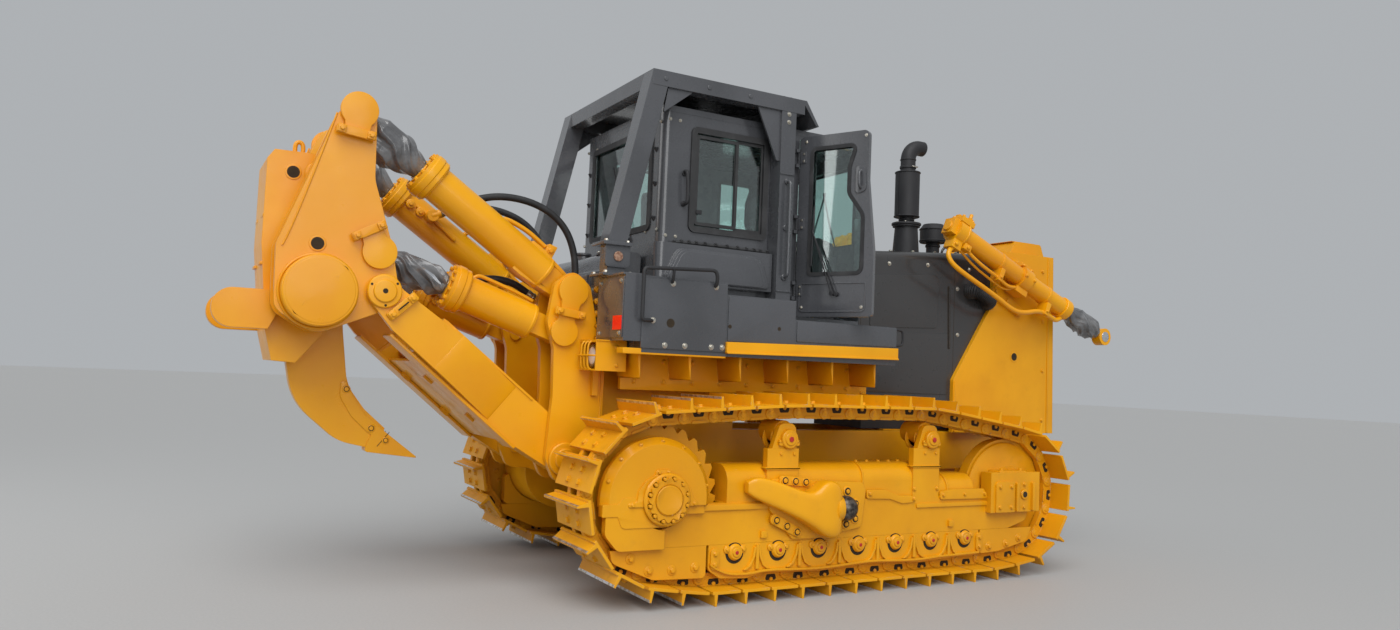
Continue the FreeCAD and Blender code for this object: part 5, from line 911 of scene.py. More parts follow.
grip = smooth_line([spot(1.990, -1.100, 1.885), spot(2.060, -1.100, 1.885), spot(2.085, -1.100, 1.870),
                    spot(2.085, -1.100, 1.780), spot(2.060, -1.100, 1.763), spot(1.990, -1.100, 1.763)])
add_tube(rails, grip, 0.009, 12)
rear_face = -0.275
# Painted shade: dark discs stand in for the shade inside the holes of the rear face.
for y, z in ((-0.858, 2.060), (-0.860, 2.012), (-0.956, 1.755)):
    add_bar(shades, spot(rear_face, y, z), spot(rear_face - 0.0016, y, z), 0.022, 20)
add_plate(plates, [(-1.118, 2.108, 0.004), (-1.118, 2.124, 0.004), (-0.70, 2.124, 0.004), (-0.70, 2.108, 0.004)],
          -0.290, -0.130, "X")
add_plate(plates, [(-1.110, 1.700, 0.01), (-1.110, 2.100, 0.01), (-0.710, 2.100, 0.01), (-0.710, 1.700, 0.01)],
          rear_face - 0.006, rear_face + 0.002, "X")
for y in (-1.07, -0.75):
    for z in (1.73, 2.07):
        add_bolt(screws, spot(rear_face - 0.005, y, z), Vector((-1, 0, 0)), 0.012, 0.009)
reflector_red, tree, surface, place = new_finish("reflector_red", 0.30, Coat_Weight=0.2)
cells = shader_step(tree, "TexVoronoi", Vector=place, Scale=160.0).outputs["Distance"]
tree.links.new(blend_colours(tree, cells, (0.85, 0.004, 0.006), (0.60, 0.0, 0.003)), surface.inputs["Base Color"])
# Painted glow: the reflector gives off a faint red light of its own.
surface.inputs["Emission Color"].default_value = (0.8, 0.0, 0.004, 1)
surface.inputs["Emission Strength"].default_value = 0.25
red = bmesh.new()
add_plate(red, [(-1.100, 1.752, 0.006), (-1.100, 1.844, 0.006), (-0.972, 1.844, 0.006), (-0.972, 1.752, 0.006)],
          rear_face - 0.011, rear_face - 0.004, "X")
finish_piece(plates, "fender_plates", charcoal_paint, "machine", 0.003, both=True)
finish_piece(edges, "fender_edges", yellow_paint, "machine", 0.002, both=True)
finish_piece(screws, "fender_screws", zinc_screw, "machine", both=True)
finish_piece(shades, "fender_holes", painted_hole_shade, "machine", both=True)
finish_piece(rails, "hand_rails", stack_black, "machine", both=True)
finish_piece(red, "rear_reflectors", reflector_red, "machine", both=True)

tank_parts, screws = bmesh.new(), bmesh.new()
for y in (-0.40, 0.40):
    add_plate(tank_parts, [(y - 0.03, 1.60, 0.005), (y - 0.03, 2.16, 0.005), (y + 0.03, 2.16, 0.005),
                           (y + 0.03, 1.60, 0.005)], -0.233, -0.223, "X")
add_plate(tank_parts, [(-0.22, 1.66, 0.02), (-0.22, 1.98, 0.02), (0.22, 1.98, 0.02), (0.22, 1.66, 0.02)],
          -0.232, -0.223, "X")
for y in (-0.19, 0, 0.19):
    for z in (1.69, 1.95):
        add_bolt(screws, spot(-0.231, y, z), Vector((-1, 0, 0)), 0.012, 0.010)
add_bar(tank_parts, spot(0.0, 0.28, 2.328), spot(0.0, 0.28, 2.372), 0.055, 36, 0.004)
add_bar(tank_parts, spot(0.0, 0.28, 2.370), spot(0.0, 0.28, 2.392), 0.068, 24, 0.006)
add_bar(tank_parts, spot(0.0, -0.20, 2.328), spot(0.0, -0.20, 2.350), 0.090, 36, 0.004)
for k in range(6):
    turn = math.pi * k / 3
    add_bolt(screws, spot(0.075 * math.cos(turn), -0.20 + 0.075 * math.sin(turn), 2.349), Vector((0, 0, 1)), 0.009, 0.008)
finish_piece(tank_parts, "tank_fittings", charcoal_paint, "machine", 0.002)
finish_piece(screws, "tank_screws", zinc_screw, "machine")
drawn = bmesh.new()
for k in range(5):
    z = 1.70 + 0.085 * k
    for x in (-0.250, -0.215):
        add_bar(drawn, spot(x, -0.600, z), spot(x, -0.640, z), 0.024, 12, 0.004)
        add_bar(drawn, spot(x, -0.638, z), spot(x, -0.660, z), 0.017, 6, 0.002)
    add_bar(drawn, spot(-0.262, -0.618, z), spot(-0.200, -0.618, z), 0.013, 10, 0.002)
finish_piece(drawn, "valve_stack", yellow_paint, "machine", both=True)

# Work lamps
# Yellow steel boxes on short posts behind the fenders, lighting the ripper. Bent bars guard
# the glass, which looks backwards.
dress(yellow_paint, "work_lamps")
lamp_y, lamp_z = -0.640 - 0.138, 1.580
bars, lenses, rims = bmesh.new(), bmesh.new(), bmesh.new()
for step in (-0.055, 0.0, 0.055):
    add_tube(bars, smooth_line([spot(-0.364, lamp_y + step, lamp_z + 0.092), spot(-0.388, lamp_y + step, lamp_z + 0.090),
                                spot(-0.392, lamp_y + step, lamp_z), spot(-0.388, lamp_y + step, lamp_z - 0.090),
                                spot(-0.364, lamp_y + step, lamp_z - 0.092)]), 0.007, 10)
add_tube(bars, smooth_line([spot(-0.364, lamp_y - 0.128, lamp_z), spot(-0.392, lamp_y - 0.120, lamp_z),
                            spot(-0.396, lamp_y, lamp_z), spot(-0.392, lamp_y + 0.120, lamp_z),
                            spot(-0.364, lamp_y + 0.128, lamp_z)]), 0.006, 10)
add_plate(bars, [(-0.366, lamp_z + 0.096), (-0.366, lamp_z + 0.106), (-0.150, lamp_z + 0.106), (-0.150, lamp_z + 0.096)],
          lamp_y - 0.144, lamp_y + 0.137)
add_bolt(bars, spot(-0.22, lamp_y - 0.138, lamp_z + 0.060), out, 0.011, 0.009)
add_bolt(bars, spot(-0.22, lamp_y - 0.138, lamp_z - 0.060), out, 0.011, 0.009)
add_bar(rims, spot(-0.318, lamp_y, lamp_z), spot(-0.336, lamp_y, lamp_z), 0.076, 40, 0.004)
add_tube(lenses, [spot(-0.334 - reach, lamp_y, lamp_z) for reach in (0.0, 0.006, 0.009)], [0.066, 0.045, 0.001], 40)
finish_piece(bars, "lamp_cages", yellow_paint, "machine", 0.0, both=True)
finish_piece(rims, "lamp_rims", charcoal_paint, "machine", both=True)
finish_piece(lenses, "lamp_lenses", lamp_glass, "machine", both=True)

# Overhead guard
# A welded frame of charcoal box beams over the cab that would hold the machine if it rolled:
# sloping rear posts on bolted feet, upright front posts, corner gussets and a sheet roof.
dress(charcoal_paint, "overhead_guard")
plates, screws, rails, rust = (bmesh.new() for _ in range(4))
post_side = -0.828
add_plate(plates, [(0.880, 3.482, 0.005), (1.090, 3.482, 0.005), (1.090, 3.100, 0.005), (1.060, 3.100, 0.005)],
          -0.812, -0.795)
add_plate(plates, [(0.100, 3.300, 0.005), (0.130, 3.482, 0.005), (0.330, 3.482, 0.005)], -0.812, -0.795)
for x, z in ((1.150, 3.40), (1.150, 3.46)):
    add_bolt(screws, spot(x, post_side, z), out, 0.012, 0.010)
for x in (1.130, 1.190):
    add_bolt(plates, spot(x, -0.775, 3.590), Vector((0, 0, 1)), 0.016, 0.014)
for x in (0.10, 0.45, 0.80):
    add_bar(plates, spot(x, -0.829, 3.535), spot(x, -0.836, 3.535), 0.016, 24, 0.002)
add_plate(plates, [(-0.325, 2.328, 0.004), (-0.325, 2.352, 0.004), (-0.115, 2.352, 0.004), (-0.115, 2.328, 0.004)],
          -0.862, -0.662)
add_plate(plates, [(-0.300, 2.180, 0.03), (-0.300, 2.330, 0.01), (-0.118, 2.330, 0.01), (-0.118, 2.180, 0.03)],
          -0.838, -0.818)
add_plate(plates, [(-0.330, 2.118, 0.004), (-0.330, 2.136, 0.004), (-0.100, 2.136, 0.004), (-0.100, 2.118, 0.004)],
          -0.880, -0.650)
add_bar(rust, spot(-0.207, -0.838, 2.254), spot(-0.207, -0.850, 2.254), 0.034, 32, 0.004)
for x in (-0.305, -0.125):
    for y in (-0.862, -0.668):
        add_bolt(screws, spot(x, y, 2.136), Vector((0, 0, 1)), 0.016, 0.014)
for x in (-0.30, -0.14):
    add_bolt(screws, spot(x, -0.84, 2.352), Vector((0, 0, 1)), 0.013, 0.012)
add_tube(rails, smooth_line([spot(1.150, -0.828, 2.950), spot(1.150, -0.872, 2.950), spot(1.150, -0.876, 2.900),
                             spot(1.150, -0.876, 2.280), spot(1.150, -0.872, 2.230), spot(1.150, -0.828, 2.230)]),
         0.013, 14)
for z in (2.95, 2.60, 2.23):
    add_bar(rails, spot(1.150, -0.826, z), spot(1.150, -0.842, z), 0.024, 20, 0.003)
for x_low, x_high, z_low, z_high in ((1.086, 1.214, 3.00, 3.012), (1.086, 1.214, 2.12, 2.132)):
    add_plate(plates, [(x_low, z_low), (x_low, z_high), (x_high, z_high), (x_high, z_low)], -0.836, -0.680)
add_plate(plates, [(1.060, 1.895, 0.004), (1.060, 1.918, 0.004), (1.240, 1.918, 0.004), (1.240, 1.895, 0.004)],
          -0.860, -0.660)
for x in (1.075, 1.225):
    add_bolt(screws, spot(x, -0.845, 1.918), Vector((0, 0, 1)), 0.014, 0.012)
for x in (0.25, 0.55, 0.85, 1.10):
    add_bar(plates, spot(x, -0.60, 3.583), spot(x, 0.0, 3.583), 0.012, 8)
finish_piece(plates, "guard_gussets_and_feet", charcoal_paint, "machine", 0.002, both=True)
finish_piece(screws, "guard_frame_bolts", zinc_screw, "machine", both=True)
finish_piece(rails, "guard_grab_rails", charcoal_paint, "machine", both=True)
copper_head, tree, surface, place = new_finish("rusty_plug", 0.6, Metallic=0.3)
flakes = shader_step(tree, "TexNoise", Vector=place, Scale=60.0, Detail=5.0).outputs["Fac"]
tree.links.new(blend_colours(tree, between(tree, flakes, 0.35, 0.65), (0.20, 0.09, 0.05), (0.42, 0.26, 0.18)),
               surface.inputs["Base Color"])
finish_piece(rust, "guard_foot_pins", copper_head, "machine", both=True)

# Cab
# A charcoal steel cell on rubber feet, with a flared skirt and a rubber strip bolted along it,
# dark window rubbers, sliding side panes, grab handles and tinted safety glass.
dress(charcoal_paint, "cab_shell", "cab_roof")
rubber_mat, tree, surface, place = new_finish("rubber_mat", 0.8)
pips = shader_step(tree, "TexVoronoi", Vector=place, Scale=45.0).outputs["Distance"]
tree.links.new(blend_colours(tree, pips, (0.010, 0.010, 0.011), (0.030, 0.030, 0.032)), surface.inputs["Base Color"])
tree.links.new(shader_step(tree, "Bump", Strength=0.5, Distance=0.004, Height=pips).outputs["Normal"],
               surface.inputs["Normal"])
dress(rubber_mat, "cab_floor")
seal_rubber = rubber_finish("seal_rubber", (0.018, 0.018, 0.019), 160.0)
tinted_glass, tree, surface, place = new_finish("tinted_glass", 0.02, Transmission_Weight=1.0, IOR=1.12,
                                               Coat_Weight=1.0, Coat_IOR=1.9, Coat_Roughness=0.02)
film = shader_step(tree, "TexNoise", Vector=place, Scale=2.0, Detail=3.0).outputs["Fac"]
tree.links.new(blend_colours(tree, film, (0.64, 0.85, 0.80), (0.70, 0.89, 0.85)), surface.inputs["Base Color"])
tree.links.new(shader_step(tree, "MapRange", Value=film, To_Min=0.0, To_Max=0.05).outputs["Result"],
               surface.inputs["Roughness"])
dress(tinted_glass, "cab_glass", "door_right_glass", "door_left_glass")
cab_side = -0.690
plates, seals, screws, handles = (bmesh.new() for _ in range(4))
window = [(0.395, 2.505, 0.05), (0.395, 3.275, 0.05), (1.065, 3.275, 0.05), (1.065, 2.505, 0.05)]
add_frame(seals, window, 0.045, cab_side - 0.014, cab_side + 0.004)
for x_low, x_high, z_low, z_high in ((0.440, 0.800, 2.560, 3.220), (0.770, 1.030, 2.550, 3.230)):
    pane = [(x_low, z_low, 0.03), (x_low, z_high, 0.03), (x_high, z_high, 0.03), (x_high, z_low, 0.03)]
    add_frame(seals, pane, 0.024, cab_side - 0.004 + (0.010 if x_low > 0.5 else 0), cab_side + 0.010)
add_plate(handles, [(0.455, 2.640, 0.004), (0.455, 2.670, 0.004), (0.500, 2.670, 0.004), (0.500, 2.640, 0.004)],
          cab_side - 0.014, cab_side - 0.002)
rear_window = [(-0.545, 2.505, 0.05), (-0.545, 3.275, 0.05), (0.545, 3.275, 0.05), (0.545, 2.505, 0.05)]
back_seals = bmesh.new()
add_frame(back_seals, rear_window, 0.045, 0.155, 0.168, "X")
front_window = [(-0.525, 2.565, 0.05), (-0.525, 3.275, 0.05), (0.525, 3.275, 0.05), (0.525, 2.565, 0.05)]
add_frame(back_seals, front_window, 0.045, 2.078, 2.088, "X")
finish_piece(back_seals, "end_window_rubbers", seal_rubber, "machine")
wipers = bmesh.new()
for x_face, y_foot, lean in ((0.150, -0.18, -1), (2.094, 0.22, 1), (2.094, -0.22, 1)):
    foot = spot(x_face, y_foot, 2.470 if lean < 0 else 2.520)
    add_bar(wipers, foot - Vector((lean * 0.012, 0, 0)), foot + Vector((lean * 0.020, 0, 0)), 0.020, 16, 0.003)
    tip = foot + Vector((lean * 0.016, 0.16 if y_foot < 0 else -0.16, 0.40))
    add_bar(wipers, foot + Vector((lean * 0.016, 0, 0)), tip, 0.006, 8)
    blade = (tip - foot).normalized() * 0.20
    add_bar(wipers, tip - blade, tip + blade, 0.008, 6)
finish_piece(wipers, "end_wipers", stack_black, "machine")
skirt_side = -0.780
press = [(0.150, 2.130, 0.03), (0.262, 2.370, 0.09), (0.975, 2.370, 0.12), (1.062, 2.130, 0.03)]
for step, shrink in enumerate((1.0, 0.985, 0.960, 0.920, 0.860)):
    raised = [(0.60 + (x - 0.60) * shrink, 2.20 + (z - 2.20) * shrink, r) for x, z, r in press]
    add_plate(plates, raised, skirt_side - (0.010, 0.018, 0.024, 0.028, 0.030)[step], skirt_side + 0.002)
strip_line = [spot(0.120, -0.700, 2.250), spot(0.180, -0.715, 2.330), spot(0.262, -0.722, 2.412),
              spot(0.340, -0.722, 2.420), spot(0.960, -0.722, 2.420), spot(1.060, -0.722, 2.414)]
strip = smooth_line(strip_line)
add_tube(seals, strip, 0.012, 12)
walked = 0.0
for before, after in zip(strip, strip[1:]):
    walked += (after - before).length
    if walked > 0.052:
        walked = 0.0
        add_bolt(seals, after + Vector((0, -0.004, 0.006)), Vector((0, -0.5, 0.86)).normalized(), 0.012, 0.010)
for z in (2.70, 2.92):
    add_bar(handles, spot(0.350, cab_side, z), spot(0.350, cab_side - 0.012, z), 0.020, 16, 0.003)
add_tube(handles, smooth_line([spot(0.350, cab_side, 2.930), spot(0.345, cab_side - 0.050, 2.940),
                               spot(0.350, cab_side - 0.060, 2.880), spot(0.356, cab_side - 0.060, 2.740),
                               spot(0.352, cab_side - 0.050, 2.690), spot(0.350, cab_side, 2.700)]), 0.014, 14)
for z in (2.46, 3.30):
    for x in (0.22, 0.30):
        add_bolt(screws, spot(x, cab_side, z), out, 0.009, 0.007)
for x, y in ((0.30, -0.50), (1.80, -0.50), (1.05, -0.60)):
    add_bolt(screws, spot(x, y, 3.400), Vector((0, 0, 1)), 0.012, 0.008)
add_frame(plates, [(0.40, -0.45, 0.08), (0.40, 0.0), (1.70, 0.0), (1.70, -0.45, 0.08)], 0.02, 3.398, 3.410, "Z")
for y in (-0.655, -0.480):
    for z in (2.50, 3.28):
        add_bolt(screws, spot(0.165, y, z), Vector((-1, 0, 0)), 0.009, 0.007)
for z in (2.60, 2.85, 3.10):
    add_bar(handles, spot(0.170, -0.600, z - 0.03), spot(0.150, -0.600, z), 0.010, 10, 0.002)
finish_piece(plates, "skirt_pressings", charcoal_paint, "machine", 0.002, both=True)
finish_piece(seals, "window_rubbers", seal_rubber, "machine", both=True)
finish_piece(screws, "cab_screws", zinc_screw, "machine", both=True)
finish_piece(handles, "cab_handles", stack_black, "machine", both=True)

# Doors
# Pressed steel doors on three outside hinges, glazed in black rubber, with a latch plate in the
# notch of the window, a pull handle, a wiper and a strip of seal round the back.
dress(charcoal_paint, "door_right", "door_left")
hinge_line = spot(1.336, -0.716, 0)


def hang_door(mesh, name, finish, edge=0.0):
    """Finish a piece drawn on the closed right-hand door, and its twin on the left-hand one."""
    shapes = mesh.copy()
    for corner in shapes.verts:
        corner.co.y = -corner.co.y
    bmesh.ops.reverse_faces(shapes, faces=shapes.faces[:])
    finish_piece(shapes, name + "_left", finish, "door_left", edge)
    swing = Matrix.Translation(hinge_line) @ Matrix.Rotation(math.radians(-65), 4, "Z") @ Matrix.Translation(-hinge_line)
    bmesh.ops.transform(mesh, matrix=swing, verts=mesh.verts)
    finish_piece(mesh, name + "_right", finish, "door_right", edge)


door_out, door_in = -0.730, -0.692
door_light = [(1.455, 2.270, 0.04), (1.895, 2.270, 0.06), (1.895, 2.720, 0.12), (1.775, 2.860, 0.08),
              (1.775, 3.050, 0.06), (1.835, 3.230, 0.05), (1.455, 3.230, 0.05)]
seals, plates, arms, screws = (bmesh.new() for _ in range(4))
wide_light = [(x + (0.012 if x > 1.6 else -0.012), z + (0.012 if z > 2.75 else -0.012), r) for x, z, r in door_light]
add_frame(seals, wide_light, 0.028, door_out - 0.007, door_out + 0.002)
add_frame(seals, wide_light, 0.028, door_in - 0.002, door_in + 0.005)
add_frame(plates, [(1.375, 1.985, 0.04), (1.375, 2.205, 0.02), (1.935, 2.205, 0.02), (1.935, 1.985, 0.04)],
          0.010, door_out - 0.004, door_out + 0.002)
add_plate(plates, [(1.825, 2.850, 0.03), (1.825, 3.080, 0.03), (1.905, 3.050, 0.03), (1.915, 2.880, 0.03)],
          door_out - 0.009, door_out + 0.002)
add_tube(plates, smooth_line([spot(1.868, door_out, 3.030), spot(1.868, door_out - 0.036, 3.020),
                              spot(1.870, door_out - 0.038, 2.960), spot(1.872, door_out - 0.036, 2.905),
                              spot(1.872, door_out, 2.895)]), 0.010, 12)
add_plate(plates, [(1.800, 2.580, 0.02), (1.800, 2.680, 0.02), (1.930, 2.680, 0.02), (1.930, 2.580, 0.02)],
          door_in - 0.002, door_in + 0.014)
for foot, tip, thick in (((1.665, 2.125), (1.487, 2.600), 0.006), ((1.700, 2.118), (1.505, 2.560), 0.005)):
    add_bar(arms, spot(foot[0], door_out, foot[1]), spot(foot[0], door_out - 0.026, foot[1]), 0.018, 16, 0.003)
    add_bar(arms, spot(foot[0], door_out - 0.020, foot[1]), spot(tip[0], door_out - 0.022, tip[1]), thick, 8)
add_bar(arms, spot(1.484, door_out - 0.017, 2.330), spot(1.496, door_out - 0.017, 2.780), 0.008, 6)
for x, z in ((1.400, 2.02), (1.400, 3.29), (1.900, 3.29), (1.900, 2.02)):
    add_bolt(screws, spot(x, door_out, z), out, 0.009, 0.006)
for z in (2.150, 2.660, 3.170):
    for step in (-0.028, 0.028):
        add_bolt(screws, spot(1.385, door_out, z + step), out, 0.009, 0.007)
    add_plate(plates, [(1.352, z - 0.045, 0.008), (1.352, z + 0.045, 0.008), (1.405, z + 0.045, 0.008),
                       (1.405, z - 0.045, 0.008)], door_out - 0.004, door_out + 0.002)
hang_door(seals, "door_window_rubber", seal_rubber)
hang_door(plates, "door_latch_and_straps", charcoal_paint, edge=0.002)
hang_door(arms, "door_wiper", stack_black)
hang_door(screws, "door_screws", zinc_screw)

# Seat and controls
# A sprung driver's seat of foam under black woven cloth, piped along its seams, between two
# moulded consoles with levers in rubber boots, facing a dash with its gauges.
seat_cloth, tree, surface, place = new_finish("seat_cloth", 0.85, Sheen_Weight=0.3)
thread = shader_step(tree, "TexWave", Vector=place, Scale=150.0, Distortion=1.0).outputs["Fac"]
cross = shader_step(tree, "TexVoronoi", Vector=place, Scale=260.0).outputs["Distance"]
weave = reckon(tree, "MULTIPLY", thread, cross)
tree.links.new(blend_colours(tree, weave, (0.012, 0.012, 0.014), (0.060, 0.060, 0.066)), surface.inputs["Base Color"])
tree.links.new(shader_step(tree, "Bump", Strength=0.5, Distance=0.001, Height=weave).outputs["Normal"],
               surface.inputs["Normal"])
cab_plastic, tree, surface, place = new_finish("cab_plastic", 0.6)
grain = shader_step(tree, "TexNoise", Vector=place, Scale=220.0, Detail=2.0).outputs["Fac"]
tree.links.new(blend_colours(tree, grain, (0.030, 0.030, 0.033), (0.050, 0.050, 0.054)), surface.inputs["Base Color"])
tree.links.new(shader_step(tree, "Bump", Strength=0.3, Distance=0.0006, Height=grain).outputs["Normal"],
               surface.inputs["Normal"])
dress(cab_plastic, "cab_controls")


def stuffed(name, low, high, cap):
    """A foam cushion blown up inside its cover, kept within a few millimetres of its pattern."""
    mesh = bmesh.new()
    bmesh.ops.create_cube(mesh, size=1.0)
    for corner in mesh.verts:
        corner.co = Vector([low[i] + (corner.co[i] + 0.5) * (high[i] - low[i]) for i in range(3)])
    bmesh.ops.bevel(mesh, geom=mesh.edges[:], offset=0.035, segments=3, profile=0.6, affect="EDGES")
    shape = bpy.data.meshes.new(name)
    mesh.to_mesh(shape)
    mesh.free()
    pad = bpy.data.objects.new(name, shape)
    bpy.context.scene.collection.objects.link(pad)
    bpy.context.view_layer.objects.active = pad
    remesh = pad.modifiers.new("cover", "REMESH")
    remesh.mode = "VOXEL"
    remesh.voxel_size = 0.014
    bpy.ops.object.modifier_apply(modifier="cover")
    before = [corner.co.copy() for corner in pad.data.vertices]
    cover = pad.modifiers.new("cloth", "CLOTH")
    cover.settings.use_pressure = True
    cover.settings.uniform_pressure_force = 4
    cover.settings.effector_weights.gravity = 0
    for frame_number in range(1, 16):
        bpy.context.scene.frame_set(frame_number)
    swollen = pad.evaluated_get(bpy.context.evaluated_depsgraph_get()).data
    moved = [corner.co.copy() for corner in swollen.vertices]
    pad.modifiers.remove(cover)
    for corner, old, new in zip(pad.data.vertices, before, moved):
        step = new - old
        corner.co = old + step * min(1.0, cap / max(step.length, 1e-9))
    bpy.context.scene.frame_set(1)
    smooth = pad.modifiers.new("smooth", "SUBSURF")
    smooth.levels = smooth.render_levels = 1
    bpy.context.view_layer.objects.active = pad
    bpy.ops.object.modifier_apply(modifier="smooth")
    for face in pad.data.polygons:
        face.use_smooth = True
    pad.data.materials.append(seat_cloth)
    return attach(pad, "machine")


cushion = stuffed("seat_cushion", spot(0.572, -0.238, 2.342), spot(1.068, 0.238, 2.438), 0.012)
backrest = stuffed("seat_backrest", spot(0.452, -0.238, 2.462), spot(0.548, 0.238, 2.936), 0.012)
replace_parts(cushion, "seat_cushions")
seams, mouldings, gauges = bmesh.new(), bmesh.new(), bmesh.new()
for x in (0.700, 0.940):
    add_tube(seams, smooth_line([spot(x, -0.225, 2.432), spot(x, -0.18, 2.449), spot(x, 0.18, 2.449),
                                 spot(x, 0.225, 2.432)]), 0.004, 8)
for z in (2.600, 2.780):
    add_tube(seams, smooth_line([spot(0.552, -0.225, z), spot(0.560, -0.18, z), spot(0.560, 0.18, z),
                                 spot(0.552, 0.225, z)]), 0.004, 8)
for side in (-1, 1):
    add_plate(mouldings, [(0.60, 2.345, 0.02), (0.60, 2.430, 0.03), (0.96, 2.430, 0.03), (0.96, 2.395, 0.02)],
              side * 0.262 - 0.018, side * 0.262 + 0.018)
    rise = spot(1.100, side * 0.380, 2.410)
    for k in range(4):
        add_bar(mouldings, rise + Vector((0, 0, 0.014 * k)), rise + Vector((0, 0, 0.014 * k + 0.012)),
                0.042 - 0.007 * k, 20, 0.003)
    grip = [rise + Vector((0, 0, 0.15)), rise + Vector((0, 0, 0.17)), rise + Vector((0.004, 0, 0.21)),
            rise + Vector((0.008, 0, 0.24)), rise + Vector((0.008, 0, 0.250))]
    add_tube(mouldings, grip, [0.015, 0.024, 0.021, 0.025, 0.012], 18)
    add_plate(mouldings, [(0.64, side * 0.38 - 0.08, 0.03), (0.64, side * 0.38 + 0.08, 0.03),
                          (1.02, side * 0.38 + 0.08, 0.03), (1.02, side * 0.38 - 0.08, 0.03)], 2.4131, 2.428, "Z")
add_plate(mouldings, [(1.73, 2.514, 0.02), (1.70, 2.60, 0.03), (1.86, 2.66, 0.05), (2.02, 2.62, 0.03),
                      (2.02, 2.514, 0.02)], -0.28, 0.28)
for y in (-0.17, 0.0, 0.17):
    face = spot(1.712, y, 2.566)
    lean = Vector((-0.95, 0, 0.31))
    add_bar(gauges, face, face + lean * 0.014, 0.046, 28, 0.003)
finish_piece(seams, "seat_piping", seal_rubber, "machine")
finish_piece(mouldings, "consoles_and_grips", cab_plastic, "machine", 0.003)
finish_piece(gauges, "gauge_rims", zinc_screw, "machine")

# Ripper bracket
# Thick flame-cut plates welded to the back of the machine, carrying the pins of the ripper. Each
# pin is covered by a drop-shaped plate and kept from turning by a bar with two bolts.
ripper_yellow = paint_finish("ripper_yellow", yellow_colour, (0.74, 0.295, 0.003), (0.88, 0.50, 0.07), 0.32,
                             0.0, 0.05, 0.16)
dress(ripper_yellow, "ripper_bracket", "ripper_arm", "ripper_beam", "push_block", "ripper_shank", "shank_tip")


def drop_shape(pin, radius, tail, width):
    """A disc round a pin with a neck that runs to a tail point, as an outline."""
    centre, end = Vector(pin), Vector(tail)
    along = (end - centre).normalized()
    across = Vector((-along.y, along.x))
    open_half = math.asin(min(1.0, width / 2 / radius)) + 0.10
    facing = math.atan2(along.y, along.x)
    points = []
    for k in range(41):
        turn = facing + open_half + (2 * math.pi - 2 * open_half) * k / 40
        points.append(tuple(centre + radius * Vector((math.cos(turn), math.sin(turn)))))
    points += [tuple(end - across * width / 2), tuple(end + across * width / 2)]
    return points


def add_keeper(mesh, heads, start, end, width, face, thick=0.026):
    """A keeper bar between two places, with a square-shouldered bolt at each end."""
    first, last = Vector(start), Vector(end)
    along = (last - first).normalized()
    across = Vector((-along.y, along.x)) * width / 2
    reach = along * width * 0.55
    add_plate(mesh, [(*(first - reach - across), 0.010), (*(first - reach + across), 0.010),
                     (*(last + reach + across), 0.010), (*(last + reach - across), 0.010)], face - thick, face + 0.002)
    for place in (first, last):
        boss = [(*(place - reach * 0.8 - across * 0.9), 0.008), (*(place - reach * 0.8 + across * 0.9), 0.008),
                (*(place + reach * 0.8 + across * 0.9), 0.008), (*(place + reach * 0.8 - across * 0.9), 0.008)]
        add_plate(mesh, boss, face - thick - 0.014, face - thick + 0.002)
        add_bolt(heads, spot(place.x, face - thick - 0.013, place.y), out, 0.015, 0.012)


def add_bead(mesh, corners, y, radius=0.007):
    """A weld bead laid along a run of places on a plate."""
    line = smooth_line([spot(x, y, z) for x, z in corners])
    add_tube(mesh, line, radius, 8)


upper_pin, lower_pin, arm_pin = (-0.442, 2.012), (-0.496, 1.731), (-0.446, 0.880)
plates, bolts, beads = bmesh.new(), bmesh.new(), bmesh.new()
face = -0.640
add_plate(plates, drop_shape(upper_pin, 0.106, (-0.468, 1.872), 0.120), face - 0.032, face + 0.002)
add_plate(plates, drop_shape(lower_pin, 0.096, (-0.482, 1.850), 0.110), face - 0.032, face + 0.002)
add_keeper(plates, bolts, (-0.545, 1.868), (-0.385, 1.846), 0.052, face - 0.030)
add_bar(plates, spot(arm_pin[0], face, arm_pin[1]), spot(arm_pin[0], face - 0.030, arm_pin[1]), 0.112, 48, 0.006)
add_bar(plates, spot(arm_pin[0], face - 0.028, arm_pin[1]), spot(arm_pin[0], face - 0.042, arm_pin[1]), 0.072, 40, 0.005)
for corners in ([(-0.200, 1.50), (-0.200, 0.70)], [(-0.30, 0.72), (-0.20, 0.70)]):
    add_bar(beads, spot(corners[0][0], -0.6405, corners[0][1]), spot(corners[1][0], -0.6405, corners[1][1]), 0.006, 8)
for z in (1.02, 1.24, 1.46):
    add_plate(plates, [(-0.335, z), (-0.335, z + 0.02), (0, z + 0.02), (0, z)], -0.300, -0.279, "X")
for y in (-0.24, -0.08):
    add_bolt(bolts, spot(-0.280, y, 1.36), Vector((-1, 0, 0)), 0.018, 0.014)
finish_piece(plates, "bracket_pin_covers", ripper_yellow, "machine", 0.003, both=True)
finish_piece(bolts, "bracket_bolts", ripper_yellow, "machine", both=True)
finish_piece(beads, "bracket_weld_beads", ripper_yellow, "machine", both=True)

# Ripper arm
# Two box-section members of welded plate with wide lower flanges and a cross plate between
# them. The pin bosses at the far end have round caps with three screws and a split keeper.
arm_run = Vector((-1.678 + 0.446, 1.912 - 0.880))
arm_along = arm_run.normalized()
arm_up = Vector((arm_along.y, -arm_along.x))


def on_arm(along, up, *corner):
    place = Vector((-0.446, 0.880)) + arm_along * along + arm_up * up
    return (place.x, place.y, *corner)


